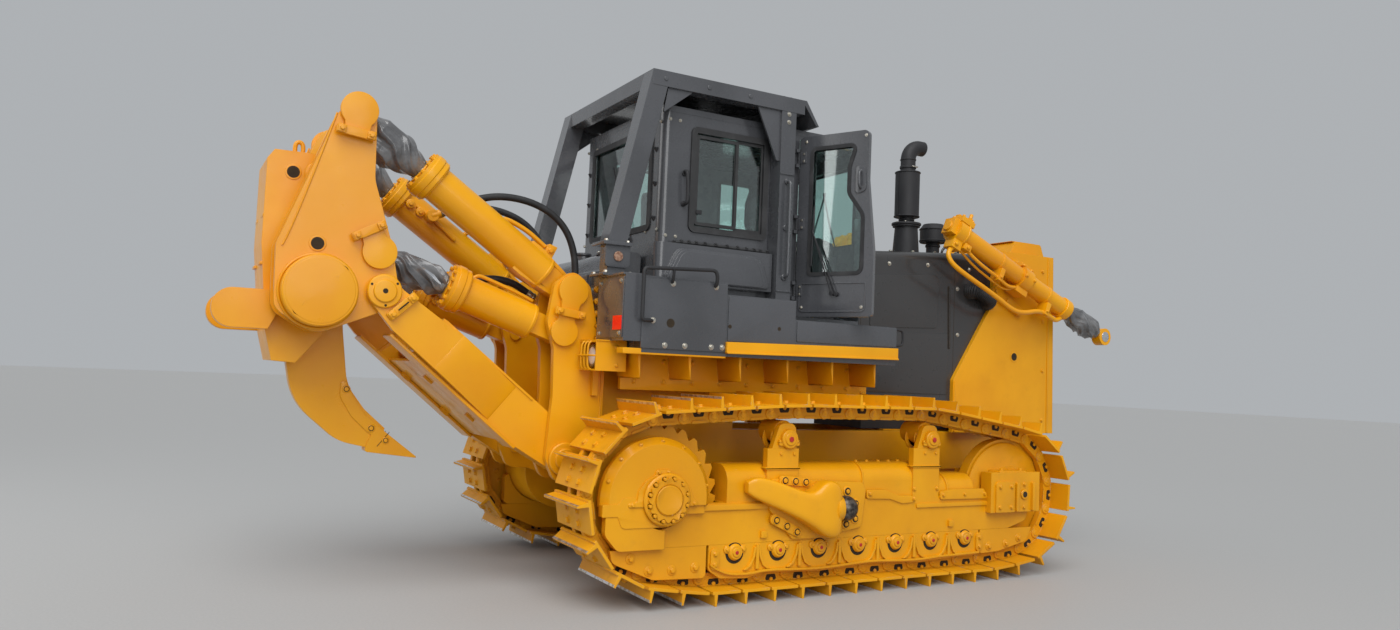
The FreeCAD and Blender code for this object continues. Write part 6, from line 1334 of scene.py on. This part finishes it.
plates, bolts, shades = bmesh.new(), bmesh.new(), bmesh.new()
add_plate(plates, [on_arm(0.300, -0.150), on_arm(0.300, -0.168, 0.006), on_arm(1.390, -0.168, 0.006), on_arm(1.390, -0.150)],
          -0.600, -0.380)
add_plate(plates, [on_arm(0.420, 0.148), on_arm(0.420, 0.162, 0.006), on_arm(1.130, 0.148, 0.006), on_arm(1.130, 0.136)],
          -0.592, -0.388)
add_plate(plates, [on_arm(0.330, -0.128), on_arm(0.330, -0.148), on_arm(1.130, -0.148), on_arm(1.130, -0.128)], -0.396, 0)
for along in (0.56, 0.94):
    add_plate(plates, [on_arm(along, -0.145), on_arm(along, -0.182, 0.006), on_arm(along + 0.07, -0.182, 0.006),
                       on_arm(along + 0.07, -0.145)], -0.350, -0.310)
skin_stations = [(0.560, -0.5848), (0.985, -0.6500), (1.060, -0.6506)]
rows = []
for along, y in skin_stations:
    rows.append([plates.verts.new(spot(*on_arm(along, up)[:1], y if proud else -0.583, on_arm(along, up)[1]))
                 for up, proud in ((-0.1395, True), (0.1395, True), (0.1395, False), (-0.1395, False))])
skin = [plates.faces.new(rows[0]), plates.faces.new(rows[-1][::-1])]
for first, second in zip(rows, rows[1:]):
    for j in range(4):
        skin.append(plates.faces.new((first[j], first[(j + 1) % 4], second[(j + 1) % 4], second[j])))
bmesh.ops.recalc_face_normals(plates, faces=skin)
cheek = -0.650
add_bar(plates, spot(-1.678, cheek - 0.002, 1.912), spot(-1.678, cheek - 0.024, 1.912), 0.104, 48, 0.006)
add_bar(plates, spot(-1.678, cheek - 0.020, 1.912), spot(-1.678, cheek - 0.038, 1.912), 0.070, 40, 0.005)
# Painted shade: dark discs stand in for the middle hole and the three screw holes of each cap.
add_bar(shades, spot(-1.678, cheek - 0.030, 1.912), spot(-1.678, cheek - 0.0388, 1.912), 0.016, 20)
for turn in (35, 155, 275):
    rim = Vector((math.cos(math.radians(turn)), math.sin(math.radians(turn)))) * 0.088
    add_bar(shades, spot(-1.678 + rim.x, cheek - 0.020, 1.912 + rim.y), spot(-1.678 + rim.x, cheek - 0.0248, 1.912 + rim.y),
            0.008, 12)
add_keeper(plates, bolts, (-1.622, 1.772), (-1.508, 1.880), 0.056, cheek, 0.024)
# Painted shade: a dark bar stands in for the shade in the slit of the keeper.
add_bar(shades, spot(-1.594, cheek - 0.0385, 1.799), spot(-1.536, cheek - 0.0385, 1.854), 0.005, 8)
finish_piece(plates, "arm_flanges_and_caps", ripper_yellow, "ripper_arm", 0.003, both=True)
finish_piece(bolts, "arm_bolts", ripper_yellow, "ripper_arm", both=True)
finish_piece(shades, "arm_cap_holes", painted_hole_shade, "ripper_arm", both=True)

# Ripper beam and shank
# A heavy tube with capped ends through two pairs of side plates, a pocket for the single shank
# behind it and two blunt blocks that another machine can push on. The shank is one thick
# forged plate with a bolted guard and a pinned tip.
plates, bolts, shades, beads = (bmesh.new() for _ in range(4))
face = -0.600
add_plate(plates, drop_shape((-1.884, 3.012), 0.112, (-1.893, 2.868), 0.140), face - 0.034, face + 0.002)
add_keeper(plates, bolts, (-1.985, 2.878), (-1.812, 2.858), 0.054, face - 0.028)
add_plate(plates, drop_shape((-1.714, 2.153), 0.104, (-1.768, 2.268), 0.130), face - 0.034, face + 0.002)
add_keeper(plates, bolts, (-1.856, 2.238), (-1.718, 2.314), 0.054, face - 0.028)
for x, z, y in ((-2.073, 2.172, face), (-2.196, 2.645, -0.250)):
    add_bar(plates, spot(x, y + 0.001, z), spot(x, y - 0.004, z), 0.050, 36, 0.002)
    # Painted shade: a dark disc inside each ring stands in for the hole.
    add_bar(shades, spot(x, y, z), spot(x, y - 0.0048, z), 0.038, 32)
cap_at = (-2.052, 1.886)
cap_profile = [(0.2149, 0.0), (0.2149, -0.006), (0.207, -0.014), (0.196, -0.0145), (0.194, -0.009), (0.10, -0.0092)]
add_tube(plates, [spot(cap_at[0], -0.6995 + reach, cap_at[1]) for radius, reach in cap_profile],
         [radius for radius, reach in cap_profile], 72)
ring = [spot(cap_at[0] + 0.223 * math.cos(k * math.pi / 30), face - 0.003, cap_at[1] + 0.223 * math.sin(k * math.pi / 30))
        for k in range(61)]
add_tube(beads, ring, 0.009, 8)
add_bead(beads, [(-2.270, 2.140), (-2.230, 2.20), (-2.010, 2.98)], -0.6005, 0.006)
for z_low, z_high in ((1.700, 2.350),):
    add_bar(beads, spot(-1.955, -0.2505, z_low), spot(-1.955, -0.2505, z_high), 0.008, 8)
lug = smooth_line([spot(-2.190, -0.215, 2.770), spot(-2.196, -0.215, 2.826), spot(-2.168, -0.215, 2.850),
                   spot(-2.140, -0.215, 2.826), spot(-2.146, -0.215, 2.770)])
add_tube(plates, lug, 0.014, 14)
add_bar(plates, spot(-2.060, -0.274, 2.647), spot(-2.060, -0.292, 2.647), 0.072, 36, 0.005)
add_bolt(bolts, spot(-2.060, -0.290, 2.647), out, 0.020, 0.014)
for z in (1.75, 2.05, 2.35):
    add_plate(plates, [(-0.246, z), (-0.246, z + 0.018), (-0.120, z + 0.018), (-0.120, z)], -2.352, -2.300, "X")
finish_piece(plates, "beam_caps_and_covers", ripper_yellow, "ripper_beam", 0.003, both=True)
finish_piece(bolts, "beam_bolts", ripper_yellow, "ripper_beam", both=True)
finish_piece(beads, "beam_weld_beads", ripper_yellow, "ripper_beam", both=True)
guard, pins = bmesh.new(), bmesh.new()
add_plate(guard, [(-1.800, 1.330, 0.02), (-1.770, 1.350, 0.02), (-1.728, 1.262, 0.12), (-1.640, 1.130, 0.12),
                  (-1.500, 1.020, 0.01), (-1.545, 0.960, 0.01), (-1.625, 1.020, 0.08), (-1.720, 1.110, 0.10),
                  (-1.800, 1.240, 0.08)], -0.056, -0.040)
# Painted shade: dark rings round the three pins and a thin dark line by the tip of the guard stand in for the shade in
# their gaps.
for x, z, radius, y in ((-1.762, 1.290, 0.026, -0.056), (-1.590, 1.035, 0.026, -0.056), (-1.492, 0.955, 0.024, -0.057)):
    add_bar(guard, spot(x, y + 0.002, z), spot(x, y - 0.007, z), radius, 28, 0.003)
    add_bar(pins, spot(x, y, z), spot(x, y - 0.0078, z), radius * 0.72, 24)
    add_bar(guard, spot(x, y, z), spot(x, y - 0.0095, z), radius * 0.55, 20, 0.002)
add_bar(pins, spot(-1.470, -0.0575, 1.010), spot(-1.545, -0.0575, 0.915), 0.0022, 6)
finish_piece(guard, "shank_guard", ripper_yellow, "ripper_beam", 0.002, both=True)
finish_piece(pins, "shank_pin_bore_shade", painted_hole_shade, "ripper_beam", both=True)
finish_piece(shades, "beam_holes", painted_hole_shade, "ripper_beam", both=True)

# Ripper cylinders
# Four hydraulic cylinders with yellow barrels: a thick bolted head, a cast base with hollowed
# sides, a port block and a bent steel pipe. Their chromed rods are bagged in loose grey plastic
# film tied at both ends, as they leave the paint shop.
chrome, tree, surface, place = new_finish("chrome", 0.10, Metallic=1.0)
haze = shader_step(tree, "TexNoise", Vector=place, Scale=40.0, Detail=4.0).outputs["Fac"]
tree.links.new(blend_colours(tree, haze, (0.62, 0.63, 0.65), (0.80, 0.81, 0.83)), surface.inputs["Base Color"])
tree.links.new(shader_step(tree, "MapRange", Value=haze, To_Min=0.06, To_Max=0.20).outputs["Result"],
               surface.inputs["Roughness"])
dress(ripper_yellow, "tilt_barrels", "lift_barrels", "hose_fittings", "tilt_rods", "lift_rods")
plastic_film, tree, surface, place = new_finish("plastic_film", 0.28, Coat_Weight=0.6, Coat_Roughness=0.12)
milk = shader_step(tree, "TexNoise", Vector=place, Scale=6.0, Detail=5.0, Roughness=0.6).outputs["Fac"]
tree.links.new(blend_colours(tree, between(tree, milk, 0.40, 0.66), (0.080, 0.080, 0.083), (0.165, 0.165, 0.167)),
               surface.inputs["Base Color"])
creases = shader_step(tree, "TexVoronoi", Vector=place, Scale=26.0)
creases.feature = "DISTANCE_TO_EDGE"
small = shader_step(tree, "TexNoise", Vector=place, Scale=60.0, Detail=5.0).outputs["Fac"]
crumple = shader_step(tree, "Bump", Strength=0.35, Distance=0.008,
                      Height=reckon(tree, "ADD", reckon(tree, "MINIMUM", creases.outputs["Distance"], 0.25),
                                    reckon(tree, "MULTIPLY", small, 0.2)))
tree.links.new(crumple.outputs["Normal"], surface.inputs["Normal"])
tape_finish, tree, surface, place = new_finish("packing_tape", 0.35, Coat_Weight=0.5)
tree.links.new(blend_colours(tree, shader_step(tree, "TexNoise", Vector=place, Scale=30.0).outputs["Fac"],
                             (0.16, 0.16, 0.155), (0.30, 0.30, 0.29)), surface.inputs["Base Color"])


def bag_rod(name, start, end, neck, belly, sag, seed, nodes, folds=1.0, opening=3.0):
    """Loose plastic film round a rod between two places, tied at both ends and creased along it."""
    along = (end - start).normalized()
    side = along.cross(Vector((0, 0, 1))).normalized()
    up = side.cross(along)
    length, steps, sides = (end - start).length, 160, 120
    film = bmesh.new()
    rings = []
    for k in range(steps + 1):
        share = k / steps
        swell = min(1.0, share * opening + 0.02) ** 0.9 * min(1.0, (1 - share) * 5) ** 0.7
        radius = neck + (belly - neck) * swell
        ring = []
        for j in range(sides):
            turn = 2 * math.pi * j / sides
            spoke = math.cos(turn) * side + math.sin(turn) * up
            wound = turn + 2.2 * share + 0.9 * noise.noise(Vector((share * 3, seed, 0)))
            broad = Vector((share * length * 3.0 + seed * 5.1, math.cos(wound) * 1.15, math.sin(wound) * 1.15))
            crease = 1 - 2.6 * abs(noise.noise(broad))
            thin = Vector((share * length * 5 + seed, math.cos(wound) * 2.6, math.sin(wound) * 2.6))
            pleat = 1 - 2.6 * abs(noise.noise(thin))
            gather = math.cos(9 * wound + 2 * noise.noise(broad * 2)) * max(0.0, 1 - min(share, 1 - share) * 6)
            lift = folds * (swell * (0.023 * crease + 0.006 * pleat) + 0.004 * gather)
            reach = max(neck * 0.9, radius + lift - 0.014 * swell * folds)
            hang = -sag * swell * (0.35 + 0.65 * max(0.0, -math.sin(turn))) * min(1.0, (reach - neck * 0.9) / 0.02)
            ring.append(film.verts.new(start + along * (share * length) + spoke * reach + up * hang))
        rings.append(ring)
    for first, second in zip(rings, rings[1:]):
        for j in range(sides):
            film.faces.new((first[j], first[(j + 1) % sides], second[(j + 1) % sides], second[j]))
    area = sum(f.calc_area() for f in film.faces)
    bag = finish_piece(film, name, plastic_film, None, sharp=60)
    band = bmesh.new()
    for place in (start + along * 0.016, end - along * 0.016):
        for step in (-0.006, 0.002, 0.009):
            add_bar(band, place + along * step, place + along * (step + 0.007), neck + 0.006, 40, 0.002)
    ties_piece = finish_piece(band, name + "_ties", tape_finish, None)
    for piece in (bag, ties_piece):
        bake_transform(piece)
    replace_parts(bag, *nodes)


def ram_places(base, far, y):
    """A helper that turns (along, up, sideways) on a cylinder into a place."""
    along = (Vector(far) - Vector(base)).normalized()
    up = Vector((along.y, -along.x))

    def place(reach, rise=0.0, aside=0.0):
        flat = Vector(base) + along * reach + up * rise
        return spot(flat.x, y + aside, flat.y)
    return place, Vector((along.x, 0, along.y)), Vector((up.x, 0, up.y))


rams = {"tilt": ((-0.442, 2.012), (-1.884, 3.012), 1.235), "lift": ((-0.496, 1.731), (-1.714, 2.153), 0.800)}
for name, (base, far, length) in rams.items():
    place, ahead_of, upward = ram_places(base, far, -0.480)
    span = (Vector(far) - Vector(base)).length
    parts, bolts, steel = bmesh.new(), bmesh.new(), bmesh.new()
    add_bar(parts, place(length - 0.075), place(length - 0.020), 0.156, 64, 0.006)
    add_bar(parts, place(length - 0.118), place(length - 0.103), 0.140, 56, 0.005)
    add_bar(parts, place(length - 0.002), place(length + 0.012), 0.096, 48, 0.004)
    for k in range(12):
        turn = 2 * math.pi * (k + 0.5) / 12
        rim = 0.124 * math.cos(turn) * upward + Vector((0, 0.124 * math.sin(turn), 0))
        add_bolt(bolts, place(length) + rim, ahead_of, 0.014, 0.014)
    if name == "tilt":
        for rise in (-1, 1):
            wall = [(0.0, 0.060), (0.0, 0.084), (0.330, 0.124), (0.400, 0.121), (0.400, 0.098), (0.330, 0.096)]
            ends = [[parts.verts.new(place(reach, rise * up, aside)) for reach, up in wall] for aside in (-0.064, 0.064)]
            parts.faces.new(ends[0])
            parts.faces.new(ends[1])
            for k in range(6):
                parts.faces.new((ends[0][k], ends[0][(k + 1) % 6], ends[1][(k + 1) % 6], ends[1][k]))
    bmesh.ops.recalc_face_normals(parts, faces=parts.faces[:])
    add_bar(parts, place(0.196), place(0.214), 0.1235, 56, 0.004)
    eye_ring = place(0.0)
    for side in (-1, 1):
        add_bar(parts, eye_ring + Vector((0, side * 0.058, 0)), eye_ring + Vector((0, side * 0.066, 0)), 0.076, 36, 0.002)
    if name == "tilt":
        pipe = smooth_line([spot(-0.930, -0.440, 2.420), spot(-0.900, -0.430, 2.478), spot(-0.843, -0.425, 2.476),
                            spot(-0.714, -0.425, 2.420), spot(-0.619, -0.425, 2.352), spot(-0.575, -0.425, 2.318)])
        add_tube(parts, pipe, 0.017, 16)
        port = [(-0.600, 2.268, 0.006), (-0.560, 2.340, 0.006), (-0.500, 2.318, 0.006), (-0.540, 2.236, 0.006)]
        add_plate(parts, port, -0.470, -0.385)
        add_bolt(bolts, spot(-0.550, -0.470, 2.292), out, 0.018, 0.012)
    else:
        pipe = smooth_line([place(0.66, 0.110, 0.020), place(0.64, 0.150, 0.020), place(0.56, 0.152, 0.020),
                            place(0.30, 0.150, 0.020), place(0.22, 0.140, 0.020)])
        add_tube(parts, pipe, 0.013, 14)
    for reach, aside in ((length - 0.150, 0.118), (length - 0.240, 0.112)):
        add_bar(parts, place(reach, 0.0, aside - 0.012), place(reach, 0.0, aside + 0.030), 0.034, 24, 0.004)
        add_bolt(bolts, place(reach, 0.0, aside + 0.029), Vector((0, 1, 0)), 0.017, 0.012)
    add_tube(parts, smooth_line([place(length - 0.195, 0.02, 0.125), place(length - 0.30, 0.02, 0.142),
                                 place(length - 0.45, 0.01, 0.142), place(length - 0.56, 0.0, 0.128)]), 0.013, 12)
    finish_piece(parts, f"{name}_ram_castings", ripper_yellow, f"{name}_barrels", 0.002, both=True)
    finish_piece(bolts, f"{name}_ram_bolts", ripper_yellow, f"{name}_barrels", both=True)
    add_tube(steel, [place(length + 0.004), place(span - 0.080)], 0.0555, 48)
    for side in (-1, 1):
        add_bar(steel, place(span, 0, side * 0.058), place(span, 0, side * 0.066), 0.062, 36, 0.002)
    finish_piece(steel, f"{name}_rod_chrome", chrome, f"{name}_rods", both=True)
    for side, seed in ((-1, 2.3 if name == "tilt" else 5.9), (1, 8.7 if name == "tilt" else 11.2)):
        turned, _, _ = ram_places(base, far, side * 0.480)
        belly, sag, folds, opening = (0.124, 0.016, 1.0, 2.2) if name == "tilt" else (0.088, 0.010, 1.1, 5.0)
        label = "right" if side < 0 else "left"
        nodes = [f"{name}_rod_wraps"] if side < 0 else []
        bag_rod(f"{name}_film_{label}", turned(length + 0.014), turned(span - 0.090), 0.060, belly, sag, seed,
                nodes, folds, opening)

# Blade lift cylinders
# Slimmer cylinders that swing in a ring on the side of the radiator guard, with a valve block on
# the closed end, two bent pipes in clamps below the barrel and a bagged rod that ends in an eye.
dress(ripper_yellow, "hoist_barrel_right", "hoist_barrel_left", "hoist_rod_right", "hoist_rod_left")
hoist_at, hoist_pitch = (3.730, 2.443), math.radians(22.95)
for side, label in ((-1, "right"), (1, "left")):
    body = f"hoist_barrel_{label}"
    ahead_of = Vector((math.cos(hoist_pitch), 0, -math.sin(hoist_pitch)))
    upward = Vector((math.sin(hoist_pitch), 0, math.cos(hoist_pitch)))

    def at_hoist(reach, rise=0.0, aside=0.0):
        return spot(hoist_at[0], side * (0.760 + aside), hoist_at[1]) + ahead_of * reach + upward * rise

    parts, bolts, steel = bmesh.new(), bmesh.new(), bmesh.new()

    def add_block(reach_low, reach_high, rise_low, rise_high, aside_low, aside_high):
        ends = []
        for aside in (aside_low, aside_high):
            ends.append([parts.verts.new(at_hoist(r, u, aside)) for r, u in (
                (reach_low, rise_low), (reach_high, rise_low), (reach_high, rise_high), (reach_low, rise_high))])
        new = [parts.faces.new(ends[0]), parts.faces.new(ends[1][::-1])]
        for k in range(4):
            new.append(parts.faces.new((ends[0][(k + 1) % 4], ends[0][k], ends[1][k], ends[1][(k + 1) % 4])))
        bmesh.ops.recalc_face_normals(parts, faces=new)

    add_block(-0.960, -0.830, -0.060, 0.075, -0.060, 0.060)
    add_block(-0.905, -0.760, 0.070, 0.118, -0.075, 0.085)
    add_block(-0.900, -0.800, -0.165, -0.085, -0.045, 0.060)
    add_block(-0.790, -0.710, -0.130, -0.075, -0.020, 0.080)
    add_block(-0.880, -0.835, 0.112, 0.158, -0.050, 0.000)
    add_block(-0.825, -0.785, 0.112, 0.146, 0.020, 0.070)
    for reach in (-0.885, -0.775):
        for aside in (-0.050, 0.060):
            add_bolt(bolts, at_hoist(reach, 0.118, aside), upward, 0.015, 0.016)
    for reach, rise in ((-0.865, -0.125), (-0.750, -0.105)):
        add_bolt(bolts, at_hoist(reach, rise, 0.060 if reach < -0.8 else 0.080), Vector((0, side, 0)), 0.018, 0.014)
    add_bar(parts, at_hoist(-0.975), at_hoist(-0.955), 0.045, 32, 0.004)
    add_bar(bolts, at_hoist(-0.800, 0.110, 0.045), at_hoist(-0.800, 0.190, 0.045), 0.016, 12, 0.003)
    add_bar(parts, at_hoist(0.535), at_hoist(0.612), 0.098, 48, 0.005)
    add_bar(parts, at_hoist(-0.812), at_hoist(-0.790), 0.110, 48, 0.004)
    for k in range(8):
        turn = 2 * math.pi * (k + 0.5) / 8
        rim = 0.082 * (math.cos(turn) * upward + Vector((0, math.sin(turn), 0)))
        add_bolt(bolts, at_hoist(0.612) + rim, ahead_of, 0.009, 0.009)
    pipe = smooth_line([at_hoist(-0.855, -0.150, 0.020), at_hoist(-0.905, -0.215, 0.030), at_hoist(-0.860, -0.300, 0.060),
                        at_hoist(-0.700, -0.325, 0.080), at_hoist(-0.300, -0.325, 0.080), at_hoist(-0.060, -0.345, 0.080),
                        at_hoist(0.080, -0.300, 0.080), at_hoist(0.250, -0.185, 0.060), at_hoist(0.420, -0.160, 0.040),
                        at_hoist(0.540, -0.150, 0.020), at_hoist(0.580, -0.085, 0.010)])
    add_tube(parts, pipe, 0.021, 16)
    add_tube(parts, smooth_line([at_hoist(-0.750, -0.110, 0.050), at_hoist(-0.600, -0.150, 0.055),
                                 at_hoist(-0.300, -0.155, 0.055), at_hoist(-0.160, -0.170, 0.050),
                                 at_hoist(-0.085, -0.130, 0.040)]), 0.015, 14)
    add_tube(parts, smooth_line([at_hoist(-0.790, -0.120, 0.010), at_hoist(-0.620, -0.175, 0.010),
                                 at_hoist(-0.320, -0.190, 0.010), at_hoist(-0.150, -0.200, 0.020),
                                 at_hoist(-0.060, -0.120, 0.010)]), 0.011, 12)
    for reach, rise in ((-0.330, -0.100), (0.300, -0.110)):
        add_block(reach, reach + 0.045, rise - 0.085, rise + 0.030, -0.020, 0.090)
        add_bolt(bolts, at_hoist(reach + 0.022, rise - 0.05, 0.090), Vector((0, side, 0)), 0.011, 0.010)
    for reach in (-0.335, 0.295):
        add_bar(parts, at_hoist(reach), at_hoist(reach + 0.030), 0.0875, 48, 0.002)
    for step in (-0.050, 0.050):
        for rise in (-0.098, 0.098):
            add_bolt(bolts, at_hoist(step, rise, 0.030), upward * (1 if rise > 0 else -1), 0.016, 0.014)
    add_block(-0.070, 0.070, -0.150, -0.098, -0.070, 0.050)
    add_block(-0.060, 0.060, 0.098, 0.140, -0.080, 0.010)
    for rise in (-0.052, 0.052):
        add_bolt(bolts, at_hoist(rise, 0.0, 0.106), Vector((0, side, 0)), 0.013, 0.010)
    finish_piece(parts, f"hoist_pipes_and_block_{label}", ripper_yellow, body, 0.002)
    finish_piece(bolts, f"hoist_bolts_{label}", ripper_yellow, body)
    add_tube(steel, [at_hoist(0.612), at_hoist(1.095)], 0.0405, 40)
    for aside in (-0.047, 0.047):
        add_bar(steel, at_hoist(1.159, 0, aside - 0.002), at_hoist(1.159, 0, aside + 0.002), 0.047, 32, 0.001)
    finish_piece(steel, f"hoist_rod_chrome_{label}", chrome, f"hoist_rod_{label}")
    bag_rod(f"hoist_film_{label}", at_hoist(0.624), at_hoist(1.070), 0.045, 0.092, 0.012, 14.1 + side,
            [f"hoist_rod_wrap_{label}"], 0.9)
arms, bolts = bmesh.new(), bmesh.new()
for corners in ([(3.640, 2.560, 0.02), (3.800, 2.640, 0.03), (4.060, 2.500, 0.03), (4.020, 2.420, 0.02), (3.900, 2.470, 0.02),
                 (3.800, 2.520, 0.02)],
                [(3.480, 2.330, 0.02), (3.560, 2.380, 0.02), (3.900, 2.180, 0.03), (3.860, 2.120, 0.03), (3.640, 2.220, 0.02)]):
    add_plate(arms, corners, -0.645, -0.599)
for x, z in ((3.700, 2.570), (3.800, 2.600), (3.985, 2.480), (3.540, 2.330), (3.830, 2.160), (3.680, 2.250)):
    add_bolt(bolts, spot(x, -0.645, z), out, 0.018, 0.014)
finish_piece(arms, "yoke_arms", yellow_paint, "machine", 0.003, both=True)
finish_piece(bolts, "yoke_bolts", yellow_paint, "machine", both=True)
